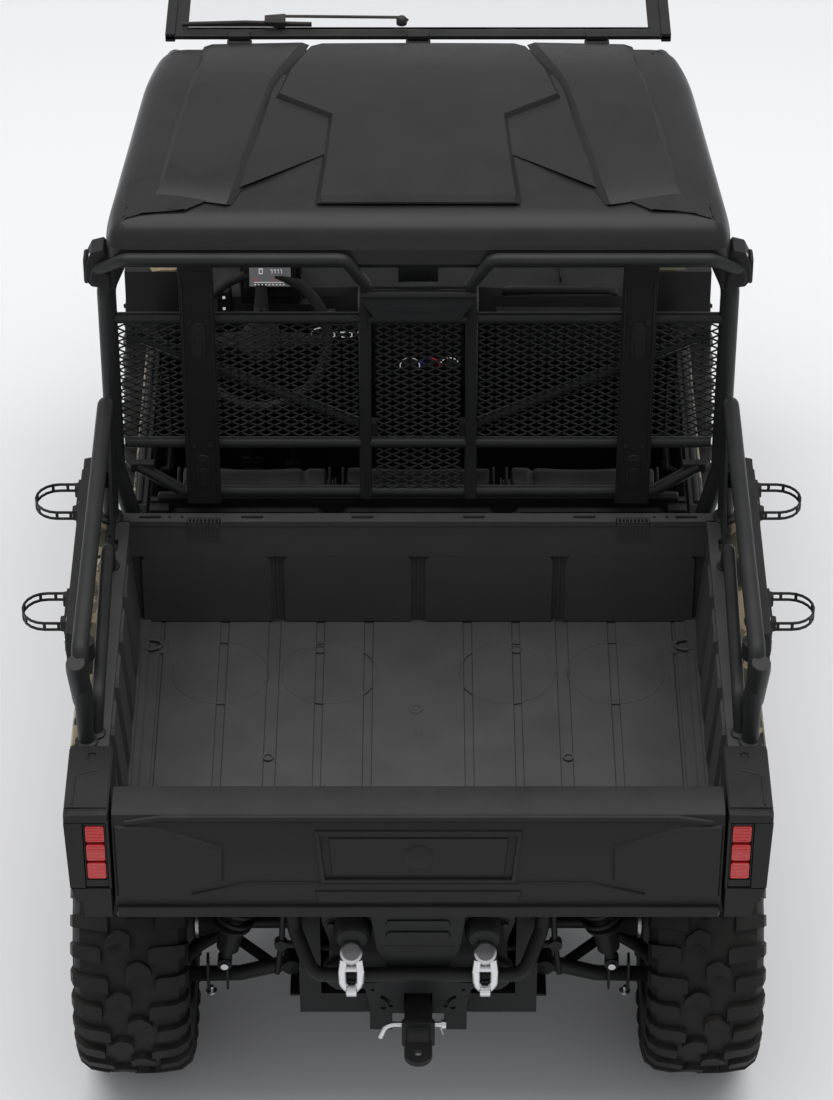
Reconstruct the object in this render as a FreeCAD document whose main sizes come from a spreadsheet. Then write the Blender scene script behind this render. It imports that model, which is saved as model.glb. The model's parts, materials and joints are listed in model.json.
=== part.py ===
import FreeCAD, Part
import math
import os
import Sketcher

# Utility side by side: +Z up, nose towards -Y, tail towards +Y, +X on the driver's side.
# The origin lies on the ground, midway between the bumper and the tip of the drawbar.

DIMENSIONS = {
    # Clearances
    "fit_gap": 0.3,
    "pin_gap": 0.5,
    "moving_gap": 6,
    # Wheels and axles
    "wheelbase": 2110,
    "tyre_diameter": 711,
    "front_tyre_width": 229,
    "rear_tyre_width": 265,
    "tyre_shoulder": 34,
    "tyre_bead_inset": 24,
    "lug_count": 16,
    "lug_height": 13,
    "lug_width": 42,
    "lug_reach": 66,
    "lug_drop": 26,
    "lug_root": 8,
    "rim_radius": 178,
    "rim_wall": 9,
    "rim_face_depth": 46,
    "rim_face_thick": 14,
    "rim_windows": 9,
    "window_low": 98,
    "window_high": 146,
    "window_low_half": 20,
    "window_high_half": 34,
    "front_track_half": 680.5,
    "rear_track_half": 662.5,
    "hub_radius": 46,
    "hub_depth": 44,
    "spindle_radius": 20,
    "kingpin_place": 575,
    # Ladder frame
    "rail_place": 250,
    "rail_width": 50,
    "rail_height": 60,
    "frame_bottom": 290,
    "frame_nose": -1380,
    "frame_tail": 1290,
    "skid_thick": 6,
    "skid_half": 300,
    "tower_depth": 60,
    "front_tower_top": 800,
    "front_tower_half": 360,
    "tower_cap": 40,
    "bed_rail_bottom": 690,
    "bed_rail_height": 50,
    "bed_rail_front": 448,
    "bed_tower_ahead": 150,
    "tower_span": 420,
    "shock_bridge_behind": 65,
    "arm_rail_bottom": 490,
    "arm_rail_ahead": 125,
    "front_cross_ahead": 30,
    "front_cross_behind": 82,
    "cab_cross_front": -420,
    "cab_cross_middle": 0,
    # Drive
    "case_radius": 72,
    "case_half": 120,
    "case_nose_radius": 46,
    "rear_case_ahead": 130,
    "rear_case_behind": 40,
    "front_case_ahead": 40,
    "front_case_behind": 190,
    "engine_half": 185,
    "engine_top": 668,
    "engine_gap": 20,
    "shaft_radius": 15,
    "boot_radius": 42,
    "boot_length": 60,
    "cup_radius": 36,
    "cup_length": 62,
    "cup_gap": 30,
    # Knuckles and steering
    "upright_half": 96,
    "upright_depth": 42,
    "upright_thick": 40,
    "rear_upright_inset": 118,
    "kingpin_inset": 34,
    "steering_arm": 112,
    "steering_arm_in": 16,
    "steering_arm_out": 6,
    "steering_arm_drop": 40,
    "steering_arm_thick": 18,
    "rod_end_radius": 17,
    "rod_end_inset": 5,
    "tie_rod_radius": 10,
    "tie_rod_rise": 4,
    "rack_half": 190,
    "rack_depth": 22,
    "rack_rise": 26,
    # Suspension
    "arm_barrel": 22,
    "arm_barrel_half": 26,
    "arm_bend": 90,
    "arm_elbow": 70,
    "arm_end_spread": 18,
    "low_pivot_z": 322,
    "high_pivot_z": 520,
    "low_arm_radius": 17,
    "high_arm_radius": 14,
    "rear_low_spread": 95,
    "rear_high_spread": 75,
    "front_low_spread": 120,
    "front_high_spread": 90,
    "rear_shock_foot_x": 455,
    "rear_shock_foot_z": 332,
    "rear_shock_head_x": 385,
    "front_shock_foot_x": 430,
    "front_shock_foot_z": 470,
    "front_shock_head_x": 345,
    "damper_radius": 15,
    "damper_body_radius": 30,
    "spring_seat_radius": 50,
    "spring_seat_thick": 8,
    "spring_radius": 40,
    "spring_wire": 6,
    "spring_turns": 6,
    # Bed hinge
    "bed_hinge_y": 1315,
    "bed_hinge_z": 715,
    "hinge_pin_radius": 12,
    "hinge_plate": 16,
    "hinge_plate_radius": 24,
    # Cab
    "floor_thick": 12,
    "cab_half": 640,
    "cab_front": -612,
    "cab_rear": 405,
    "cab_wall": 16,
    "back_wall_front": 345,
    "toe_board_top": 900,
    "rear_panel_top": 1080,
    "sill_width": 58,
    "sill_bottom": 300,
    "sill_top": 395,
    "sill_slope": 60,
    "sill_nose": 40,
    "sill_tail": 50,
    # Doors
    "door_thick": 42,
    "door_front": -590,
    "door_rear": 310,
    "door_top": 985,
    "door_low_slope": 90,
    "door_corner": 60,
    "door_front_slope": 120,
    "door_hinge_radius": 11,
    "door_pin_radius": 5,
    "door_pin_overrun": 10,
    "hinge_barrel": 50,
    "hinge_ear": 14,
    "hinge_ear_reach": 4,
    "low_hinge_rise": 60,
    "high_hinge_drop": 190,
    "hinge_leaf_half": 8,
    "pillar_width": 15,
    "pillar_depth": 13,
    "pillar_drop": 80,
    # Cage
    "cage_radius": 22,
    "cage_bend": 60,
    "pillar_foot_y": -800,
    "pillar_foot_x": 600,
    "roof_rail_front_y": -395,
    "roof_rail_rise": 54,
    "roof_rail_front_x": 585,
    "roof_rail_rear_x": 640,
    "roof_rail_end": 70,
    "front_tube_inset": 20,
    "front_tube_drop": 4,
    "cross_tube_step": 2,
    "hoop_y": 375,
    "hoop_x": 716,
    "hoop_inset": 16,
    "hoop_bend_drop": 75,
    "hoop_waist_drop": 80,
    "hoop_knee_drop": 60,
    "hoop_foot_x": 677,
    "hoop_drop": 23,
    # Rear screen
    "screen_tube_radius": 14,
    "screen_bend": 26,
    "screen_post_x": 124,
    "screen_post_drop": 95,
    "screen_neck_drop": 43,
    "screen_neck_back": 27,
    "screen_top_y": 450,
    "screen_top_rise": 49,
    "screen_top_in": 168,
    "screen_top_out": 660,
    "screen_end_x": 722,
    "screen_end_drop": 7,
    "screen_tip_y": 392,
    "screen_low": 1118,
    "screen_mid": 1267,
    "screen_high": 1623,
    "cap_half": 132,
    "cap_low_half": 98,
    "cap_height": 78,
    "cap_drop": 77,
    "cap_face": 401,
    "cap_thick": 8,
    "cap_radius": 11,
    "brace_radius": 12,
    "brace_ahead": 16,
    "brace_top": 1590,
    "brace_bottom": 1302,
    "clamp_inner": 706,
    "clamp_outer": 762,
    "clamp_front": 358,
    "clamp_rear": 404,
    "clamp_low": 1716,
    "clamp_high": 1828,
    "clamp_chamfer": 18,
    "mesh_thick": 4,
    "mesh_strand": 7,
    "mesh_pitch_x": 84,
    "mesh_pitch_z": 42,
    "strap_place": 508,
    "strap_width": 80,
    "strap_thick": 6,
    "strap_bend_drop": 43,
    "strap_bottom": 1000,
    # Roof
    "roof_front": -400,
    "roof_rear": 432,
    "roof_front_half": 640,
    "roof_rear_half": 712,
    "roof_edge": 1808,
    "roof_height": 138,
    "roof_relief": 12,
    "roof_shell": 22,
    "roof_bevel": 48,
    "roof_crown_y": -80,
    "roof_flat_half": 160,
    "roof_tail_lean": 14,
    "roof_tail_fall": 78,
    "roof_rear_fall": 16,
    "roof_nose_fall": 26,
    "roof_brow_fall": 52,
    "roof_brow_lean": 6,
    "roof_side_fall": 74,
    "roof_side_lean": 6,
    "roof_shoulder_fall": 18,
    "roof_corner": 50,
    "roof_front_corner": 90,
    "roof_rear_corner": 30,
    # Tilting windscreen
    "screen_hinge_y": -418,
    "screen_hinge_rise": 85,
    "screen_reach": 830,
    "screen_rise": -12,
    "screen_frame_half": 612,
    "screen_frame_width": 48,
    "screen_frame_thick": 24,
    "screen_barrel_length": 60,
    "glass_thick": 6,
    "wiper_near": 255,
    "wiper_far": 575,
    "wiper_ahead": 40,
    "wiper_blade": 12,
    "wiper_arm_near": 20,
    "wiper_arm_far": 420,
    "wiper_arm_ahead": 60,
    "wiper_motor_near": 300,
    "wiper_motor_far": 400,
    "wiper_rise": 8,
    # Seats
    "seat_box_front": -240,
    "seat_box_lip": -262,
    "seat_box_top": 590,
    "seat_box_dip": 570,
    "seat_box_rear": 330,
    "seat_box_step": 262,
    "seat_box_high": 640,
    "seat_half": 585,
    "seat_split": 195,
    "seat_gap": 5,
    "cushion_nose": -285,
    "cushion_high": 700,
    "cushion_low_edge": 660,
    "cushion_rear": 178,
    "cushion_rear_high": 674,
    "cushion_round": 28,
    "back_foot": 195,
    "back_front": 180,
    "back_foot_z": 700,
    "back_lean": 82,
    "back_top": 1150,
    "back_round": 38,
    "back_knee": 900,
    # Dashboard and steering wheel
    "dash_half": 560,
    "dash_low": 840,
    "dash_knee": 930,
    "dash_edge": -405,
    "dash_edge_z": 1040,
    "dash_slope": 35,
    "dash_brow": 1130,
    "dash_front": -790,
    "dash_shoulder": -560,
    "dash_thick": 28,
    "dash_rise": 103,
    "hand_wheel_x": 395,
    "hand_wheel_y": -300,
    "hand_wheel_z": 1085,
    "hand_wheel_radius": 168,
    "hand_wheel_grip": 14,
    "hand_wheel_hub": 42,
    "hub_height": 46,
    "hub_low": 40,
    "spoke_start": 20,
    "spoke_length": 150,
    "spoke_width": 30,
    "spoke_thick": 12,
    "column_radius": 24,
    "column_length": 99.5,
    # Cargo bed
    "bed_front": 440,
    "bed_wall": 28,
    "bed_half": 735,
    "bed_floor": 795,
    "bed_floor_thick": 20,
    "bed_top": 1100,
    "bed_inner_half_low": 668,
    "bed_inner_half_top": 691,
    "bed_side_end": 1290,
    "groove_depth": 4,
    "groove_start": 474,
    "groove_width": 24,
    "groove_pitch": 117,
    "groove_first": 118,
    "panel_depth": 5,
    "panel_top": 996,
    "panel_gap_half": 14,
    "panel_pitch": 337,
    "pad_first": 150,
    "pad_pitch": 165,
    "pad_length": 105,
    "pad_depth": 12,
    "pad_rise": 30,
    "pad_fall": 26,
    "tail_face": 1520,
    "post_inner": 673,
    "post_top": 1108,
    "post_step": 6,
    "post_outer_top": 774,
    "post_outer_low": 758,
    "post_shoulder": 8,
    "fender_low": 852,
    "panel_front_low": 575,
    "panel_foot": 150,
    "panel_knee": 240,
    "panel_knee_z": 700,
    "panel_hip": 330,
    "panel_hip_z": 800,
    "panel_arch_end": 450,
    # Tailgate
    "tailgate_inner": 1412,
    "tailgate_half": 667,
    "tailgate_bottom": 806,
    "tailgate_relief": 8,
    "tailgate_lip": 28,
    "tailgate_round": 18,
    "tailgate_brow": 24,
    "tailgate_hinge_y": 1428,
    "tailgate_hinge_z": 822,
    "tailgate_pin_radius": 9,
    "tailgate_pin_length": 12,
    "tailgate_socket": 20,
    "handle_low_half": 208,
    "handle_high_half": 222,
    "handle_low": 912,
    "handle_high": 1050,
    "handle_depth": 6,
    "wedge_low": 862,
    "wedge_high": 1072,
    "wedge_shoulder": 565,
    "wedge_tip": 422,
    "wedge_tip_low": 908,
    "wedge_tip_high": 1006,
    "tie_ring_place": 628,
    "tie_ring_radius": 21,
    "tie_ring_wire": 5,
    "tie_ring_front": 122,
    "tie_ring_rear": 110,
    # Bed rails and tool racks
    "rail_tube_radius": 19,
    "rail_tube_bend": 26,
    "rail_front_x": 726,
    "rail_rear_x": 736,
    "rail_front_inset": 10,
    "rail_rear_inset": 22,
    "rail_rear_knee": 28,
    "rail_front_top": 346,
    "rail_rear_top": 252,
    "rail_sink": 14,
    "grab_radius": 15,
    "grab_bend": 40,
    "grab_x": 714,
    "grab_front": 200,
    "grab_rise": 105,
    "grab_rear": 800,
    "grab_slope": 60,
    "grab_rear_rise": 88,
    "rail_plate_in": 716,
    "rail_plate_thick": 8,
    "rail_plate_foot": 130,
    "rail_plate_head": 70,
    "rail_plate_edge": 6,
    "rack_in": 760,
    "rack_thick": 22,
    "rack_front": 4,
    "rack_low": 90,
    "rack_high": 196,
    "rack_shoulder": 160,
    "rack_rear": 710,
    "rack_rear_rise": 130,
    "rack_slope": 26,
    "rack_brace": 40,
    "rack_brace_low": 115,
    "rack_brace_high": 162,
    "rack_brace_in": 736,
    "loop_first": 84,
    "loop_pitch": 410,
    "loop_half": 58,
    "loop_wall": 8,
    "loop_straight": 56,
    "loop_low": 90,
    "loop_high": 114,
    # Lamps
    "lamp_inner": 679,
    "lamp_outer": 729,
    "lamp_low": 897,
    "lamp_high": 1080,
    "lamp_depth": 16,
    "lamp_inset": 2,
    # Nose
    "nose_y": -1490,
    "cowl_rise": 90,
    "hood_half": 440,
    "hood_rear": -812,
    "hood_rise": 90,
    "hood_mid": 260,
    "hood_mid_fall": 35,
    "hood_front_z": 930,
    "hood_brow": 170,
    "hood_brow_rise": 105,
    "hood_lip": 14,
    "hood_skin": 26,
    "hood_barrel": 11.5,
    "hood_barrel_length": 80,
    "hood_barrel_inset": 40,
    "hood_pin_y": -802,
    "hood_pin_drop": 13,
    "fascia_thick": 34,
    "fascia_knee": 860,
    "fascia_low": 600,
    "fascia_lean": 20,
    "fascia_foot": 28,
    "grille_half": 260,
    "grille_low": 640,
    "grille_pitch": 50,
    "grille_slot": 34,
    "grille_slots": 4,
    "fender_inner": 452,
    "fender_outer": 772,
    "fender_bottom": 770,
    "fender_crown": 985,
    "fender_skin": 30,
    "fender_skirt": 120,
    "fender_nose_z": 900,
    "fender_nose_run": 60,
    "fender_brow": 25,
    "fender_arch": 230,
    "fender_tail": 120,
    "fender_tail_gap": 4,
    "fender_under": 20,
    "head_lamp_inner": 492,
    "head_lamp_outer": 712,
    "head_lamp_low": 790,
    "head_lamp_high": 880,
    "head_lamp_depth": 24,
    "bumper_front": -1545,
    "bumper_tube_radius": 20,
    "bumper_bend": 50,
    "bumper_foot": 330,
    "bumper_knee": 420,
    "bumper_top": 740,
    "bumper_flare": 60,
    "bumper_step": 26,
    "bumper_bar_low": 470,
    "bumper_bar_high": 560,
    "bumper_bar_thick": 32,
    # Tail
    "hitch_plate_y": 1372,
    "hitch_plate_half": 118,
    "hitch_plate_low_half": 92,
    "hitch_plate_thick": 24,
    "hitch_plate_top": 465,
    "hitch_plate_drop": 12,
    "cover_low": 545,
    "cover_low_half": 62,
    "cover_high": 672,
    "cover_half": 108,
    "tail_case_half": 205,
    "tail_case_rise": 60,
    "tail_spine_half": 60,
    "tail_spine_top": 560,
    "rear_bumper_radius": 15,
    "rear_bumper_bend": 40,
    "rear_bumper_z": 506,
    "rear_bumper_half": 240,
    "rear_bumper_out": 290,
    "rear_bumper_back": 18,
    "rear_bumper_knee_z": 578,
    "rear_bumper_knee_x": 282,
    "rear_bumper_top": 660,
    "rear_bumper_ahead": 30,
    "bumper_foot_depth": 40,
    "bumper_foot_low": 630,
    "bumper_foot_high": 668,
    "shackle_place": 152,
    "shackle_width": 32,
    "shackle_eye": 28,
    "shackle_thick": 24,
    "shackle_hole": 13,
    "shackle_rise": 44,
    "shackle_collar": 28,
    # Drawbar
    "drawbar_tip": 1545,
    "drawbar_z": 372,
    "drawbar_thick": 13,
    "drawbar_half": 32,
    "drawbar_shank": 26,
    "shank_rise": 22,
    "shank_start": 10,
    "tongue_start": 90,
    "tongue_room": 60,
    "hitch_hole_radius": 9.75,
    "hitch_hole_inset": 34,
    "receiver_half": 32,
    "receiver_length": 72,
    "receiver_low": 34,
    "receiver_high": 30,
    "hitch_pin_radius": 7,
    "hitch_pin_half": 58,
    "hitch_pin_back": 40,
    "hitch_pin_drop": 2,
    "hitch_pin_head": 11,
    "hitch_pin_head_length": 12,
}

doc = FreeCAD.newDocument("utility_side_by_side")
sheet = doc.addObject("Spreadsheet::Sheet", "dims")
for row, (alias, number) in enumerate(DIMENSIONS.items(), start=1):
    sheet.set("A%d" % row, alias)
    sheet.set("B%d" % row, str(number))
    sheet.setAlias("B%d" % row, alias)
doc.recompute()


class Size:
    """A length with the sheet expression that it comes from."""

    def __init__(self, text, value):
        self.text = text
        self.value = value

    def __add__(self, other):
        other = as_size(other)
        return Size("(%s + %s)" % (self.text, other.text), self.value + other.value)

    def __radd__(self, other):
        return as_size(other) + self

    def __sub__(self, other):
        other = as_size(other)
        return Size("(%s - %s)" % (self.text, other.text), self.value - other.value)

    def __rsub__(self, other):
        return as_size(other) - self

    def __mul__(self, factor):
        factor = as_size(factor)
        return Size("%s * %s" % (self.text, factor.text), self.value * factor.value)

    def __rmul__(self, factor):
        return self * factor

    def __truediv__(self, factor):
        factor = as_size(factor)
        return Size("%s / %s" % (self.text, factor.text), self.value / factor.value)

    def __neg__(self):
        return Size("(0 - %s)" % self.text, -self.value)


def as_size(number):
    """Wrap a plain number, and leave a Size as it is."""
    if isinstance(number, Size):
        return number
    return Size("(%r)" % number, number)


class Lengths:
    """The sheet's cells as Size attributes."""

    def __getattr__(self, alias):
        return Size("dims.%s" % alias, float(sheet.get(alias)))


L = Lengths()
NODES = []


def vector(point):
    """A FreeCAD vector from three sizes or numbers."""
    return FreeCAD.Vector(*[as_size(value).value for value in point])


def node(label, solid):
    """Name a finished piece and list it for export."""
    solid.Label = label
    NODES.append(solid)
    return solid


def bind_place(thing, point):
    """Tie an object's place to three sizes."""
    for letter, value in zip("xyz", point):
        thing.setExpression("Placement.Base.%s" % letter, as_size(value).text)


def box(x_span, y_span, z_span):
    """A block between two places on each axis."""
    block = doc.addObject("Part::Box", "block")
    spans = [(as_size(low), as_size(high)) for low, high in (x_span, y_span, z_span)]
    for name, (low, high) in zip(("Length", "Width", "Height"), spans):
        block.setExpression(name, (high - low).text)
    bind_place(block, [low for low, high in spans])
    return block


TURNS = {
    "x": FreeCAD.Rotation(FreeCAD.Vector(0, 1, 0), 90),
    "y": FreeCAD.Rotation(FreeCAD.Vector(1, 0, 0), -90),
    "z": FreeCAD.Rotation(),
}


def cylinder(axis, start, radius, length):
    """A round bar that runs from start along one axis."""
    bar = doc.addObject("Part::Cylinder", "bar")
    bar.Placement = FreeCAD.Placement(vector(start), TURNS[axis])
    bar.setExpression("Radius", as_size(radius).text)
    bar.setExpression("Height", as_size(length).text)
    bind_place(bar, start)
    return bar


def outline(body, role, points, offset):
    """A closed sketch on one of the body's planes, each corner tied to its sizes."""
    sketch = body.newObject("Sketcher::SketchObject", "outline")
    plane = next(item for item in body.Origin.OriginFeatures if item.Role == role)
    sketch.AttachmentSupport = (plane, [""])
    sketch.MapMode = "FlatFace"
    corners = [(as_size(across), as_size(up)) for across, up in points]
    count = len(corners)
    for index, (across, up) in enumerate(corners):
        next_across, next_up = corners[(index + 1) % count]
        start = FreeCAD.Vector(across.value, up.value, 0)
        end = FreeCAD.Vector(next_across.value, next_up.value, 0)
        sketch.addGeometry(Part.LineSegment(start, end), False)
    for index in range(count):
        sketch.addConstraint(Sketcher.Constraint("Coincident", index, 2, (index + 1) % count, 1))
    for index, corner in enumerate(corners):
        for kind, size in zip(("DistanceX", "DistanceY"), corner):
            tie = sketch.addConstraint(Sketcher.Constraint(kind, -1, 1, index, 1, size.value))
            sketch.setExpression("Constraints[%d]" % tie, size.text)
    sketch.setExpression("AttachmentOffset.Base.z", as_size(offset).text)
    return sketch


def prism(plane, points, low, high):
    """Pad an outline, drawn in the named plane, between two places across it."""
    low = as_size(low)
    high = as_size(high)
    body = doc.addObject("PartDesign::Body", "panel")
    offset = -high if plane == "XZ" else low
    sketch = outline(body, plane + "_Plane", points, offset)
    pad = body.newObject("PartDesign::Pad", "pad")
    pad.Profile = sketch
    pad.setExpression("Length", (high - low).text)
    return body


def turned(points, place):
    """Turn a half profile (width, radius) about the X axis, centred on a place."""
    body = doc.addObject("PartDesign::Body", "turned")
    sketch = outline(body, "XZ_Plane", points, 0)
    spin = body.newObject("PartDesign::Revolution", "spin")
    spin.Profile = sketch
    spin.ReferenceAxis = (sketch, ["H_Axis"])
    spin.Angle = 360
    bind_place(body, place)
    return body


def bent_tube(points, radius, bend):
    """A round tube through the points, with tangent arcs at the corners."""
    corners = [vector(point) for point in points]
    bend = as_size(bend).value
    edges = []
    start = corners[0]
    for before, corner, after in zip(corners, corners[1:], corners[2:]):
        back = (before - corner).normalize()
        ahead = (after - corner).normalize()
        half = back.getAngle(ahead) / 2
        reach = bend / math.tan(half)
        first = corner + back * reach
        last = corner + ahead * reach
        inward = (back + ahead).normalize()
        middle = corner + inward * (bend / math.sin(half) - bend)
        edges.append(Part.LineSegment(start, first).toShape())
        edges.append(Part.Arc(first, middle, last).toShape())
        start = last
    edges.append(Part.LineSegment(start, corners[-1]).toShape())
    path = Part.Wire(edges)
    ring = Part.Circle(corners[0], corners[1] - corners[0], as_size(radius).value)
    tube = doc.addObject("Part::Feature", "tube")
    tube.Shape = path.makePipeShell([Part.Wire([ring.toShape()])], True, False)
    tube.Placement = FreeCAD.Placement()
    return tube


def fuse(*pieces):
    """Join pieces into one object."""
    joined = doc.addObject("Part::MultiFuse", "joined")
    joined.Shapes = list(pieces)
    return joined


def cut(base, *tools):
    """Take the tools away from the base."""
    result = doc.addObject("Part::Cut", "trimmed")
    result.Base = base
    result.Tool = tools[0] if len(tools) == 1 else fuse(*tools)
    return result


def common(first, second):
    """The space that two pieces share."""
    result = doc.addObject("Part::Common", "shared")
    result.Base = first
    result.Tool = second
    return result


def mirrored(piece):
    """The same piece on the other side of the vehicle."""
    other = doc.addObject("Part::Mirroring", "mirrored")
    other.Source = piece
    other.Normal = FreeCAD.Vector(1, 0, 0)
    return other


def pair(piece):
    """A piece and its mirror image as one object."""
    return fuse(piece, mirrored(piece))


AXLE_Z = L.tyre_diameter / 2
FRONT_AXLE = -(L.wheelbase / 2)
REAR_AXLE = L.wheelbase / 2
FRAME_TOP = L.frame_bottom + L.rail_height
RAIL_IN = L.rail_place - L.rail_width / 2
RAIL_OUT = L.rail_place + L.rail_width / 2
BED_RAIL_TOP = L.bed_rail_bottom + L.bed_rail_height
BED_BOTTOM = L.bed_floor - L.bed_floor_thick
CAB_FLOOR = FRAME_TOP + L.floor_thick
COWL = L.fender_crown + L.cowl_rise
HOOD_TOP = COWL + L.hood_rise
ROOF_PEAK = L.roof_edge + L.roof_height
HOOP_TOP = L.roof_edge - L.hoop_drop
OVERRUN = 10


def facet_ring(across, radius):
    """A polygon square to the axle, with one flat for each shoulder lug."""
    ring = doc.addObject("Part::RegularPolygon", "ring")
    sides = L.lug_count * 2
    ring.setExpression("Polygon", sides.text)
    ring.setExpression("Circumradius", as_size(radius).text)
    ring.setExpression("Placement.Rotation", (
        "create(<<rotation>>; create(<<vector>>; 0; 1; 0); 90) * "
        "create(<<rotation>>; create(<<vector>>; 0; 0; 1); 180 / (%s))") % sides.text)
    ring.setExpression("Placement.Base.x", as_size(across).text)
    return ring


def facet_loft(stations):
    """A solid through polygons, each given by its place across and its radius."""
    skin = doc.addObject("Part::Loft", "skin")
    skin.Sections = [facet_ring(across, radius) for across, radius in stations]
    skin.Solid = True
    skin.Ruled = True
    return skin


def repeat_about_axle(body, feature, count):
    """Repeat a body's last feature all the way round the X axis."""
    pattern = body.newObject("PartDesign::PolarPattern", "copies")
    pattern.Originals = [feature]
    axis = next(item for item in body.Origin.OriginFeatures if item.Role == "X_Axis")
    pattern.Axis = (axis, [""])
    pattern.Angle = 360
    pattern.setExpression("Occurrences", count.text)
    body.Tip = pattern


def add_lugs(tyre, points, turn):
    """Add a ring of tread lugs, drawn as across and radius, turned by a share of a pitch."""
    sketch = outline(tyre, "XZ_Plane", points, 0)
    sketch.setExpression("AttachmentOffset.Rotation.Axis.x", "1")
    sketch.setExpression("AttachmentOffset.Rotation.Axis.z", "0")
    sketch.setExpression("AttachmentOffset.Rotation.Angle",
                         "360 deg / %s * %s" % (L.lug_count.text, turn))
    lug = tyre.newObject("PartDesign::Pad", "lug")
    lug.Profile = sketch
    lug.SideType = "Symmetric"
    lug.setExpression("Length", L.lug_width.text)
    repeat_about_axle(tyre, lug, L.lug_count)


def carcass(width):
    """A tyre without its lugs, centred on the origin, with a flat below each lug."""
    tread = L.tyre_diameter / 2 - L.lug_height
    half = width / 2
    round_off = L.tyre_shoulder / 2
    flat_share = Size("cos(90 deg / %s)" % L.lug_count.text,
                      math.cos(math.pi / 2 / L.lug_count.value))
    seat = (L.rim_radius + L.fit_gap) / flat_share
    wide = L.rim_radius + L.tyre_shoulder
    inset = half - L.tyre_bead_inset
    skin = facet_loft([
        (-half, tread - L.tyre_shoulder),
        (-half + round_off, tread),
        (half - round_off, tread),
        (half, tread - L.tyre_shoulder),
    ])
    core = facet_loft([(-half, wide), (-inset, seat), (inset, seat), (half, wide)])
    return cut(skin, core)


def tyre(place, width):
    """An off-road tyre: a carcass with a staggered ring of lugs on each shoulder."""
    top = L.tyre_diameter / 2
    root = top - L.lug_height - L.lug_root
    half = width / 2
    body = doc.addObject("PartDesign::Body", "tyre")
    body.BaseFeature = carcass(width)
    for side, turn in ((1, 0), (-1, 0.5)):
        add_lugs(body, [
            (side * (half - L.lug_reach), root),
            (side * (half - L.lug_reach), top),
            (side * (half - L.tyre_shoulder / 2), top),
            (side * half, top - L.lug_drop),
            (side * half, root - L.tyre_shoulder),
            (side * (half - L.tyre_shoulder), root - L.tyre_shoulder),
        ], turn)
    bind_place(body, place)
    return body


def rim(place, side, bead):
    """A dished rim with a ring of windows in its face."""
    face = L.rim_face_depth
    back = face - L.rim_face_thick
    inner = L.rim_radius - L.rim_wall
    bore = L.spindle_radius + L.pin_gap
    body = turned([(side * across, radius) for across, radius in (
        (-bead, L.rim_radius),
        (-bead, inner),
        (back, inner),
        (back, L.hub_radius),
        (back - L.hub_depth, L.hub_radius),
        (back - L.hub_depth, bore),
        (face, bore),
        (face, inner - L.rim_wall),
        (bead, inner),
        (bead, L.rim_radius),
    )], place)
    window = body.newObject("PartDesign::Pocket", "window")
    window.Profile = outline(body, "YZ_Plane", [
        (-L.window_low_half, L.window_low),
        (L.window_low_half, L.window_low),
        (L.window_high_half, L.window_high),
        (-L.window_high_half, L.window_high),
    ], 0)
    window.SideType = "Symmetric"
    window.setExpression("Length", (bead * 2).text)
    repeat_about_axle(body, window, L.rim_windows)
    return body


SIDES = (("left", 1), ("right", -1))

for axle_name, axle, track, width in (
        ("front", FRONT_AXLE, L.front_track_half, L.front_tyre_width),
        ("rear", REAR_AXLE, L.rear_track_half, L.rear_tyre_width)):
    for side_name, side in SIDES:
        hub = (track * side, axle, AXLE_Z)
        node("tyre_%s_%s" % (axle_name, side_name), tyre(hub, width))
        node("rim_%s_%s" % (axle_name, side_name), rim(hub, side, width / 2 - L.tyre_bead_inset))


def span(side, inner, outer):
    """Two places across the vehicle, in order, on one of its sides."""
    return (inner, outer) if side > 0 else (-outer, -inner)


def run(start, length):
    """A stretch from a place, with its length."""
    return (start, start + length)


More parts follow.
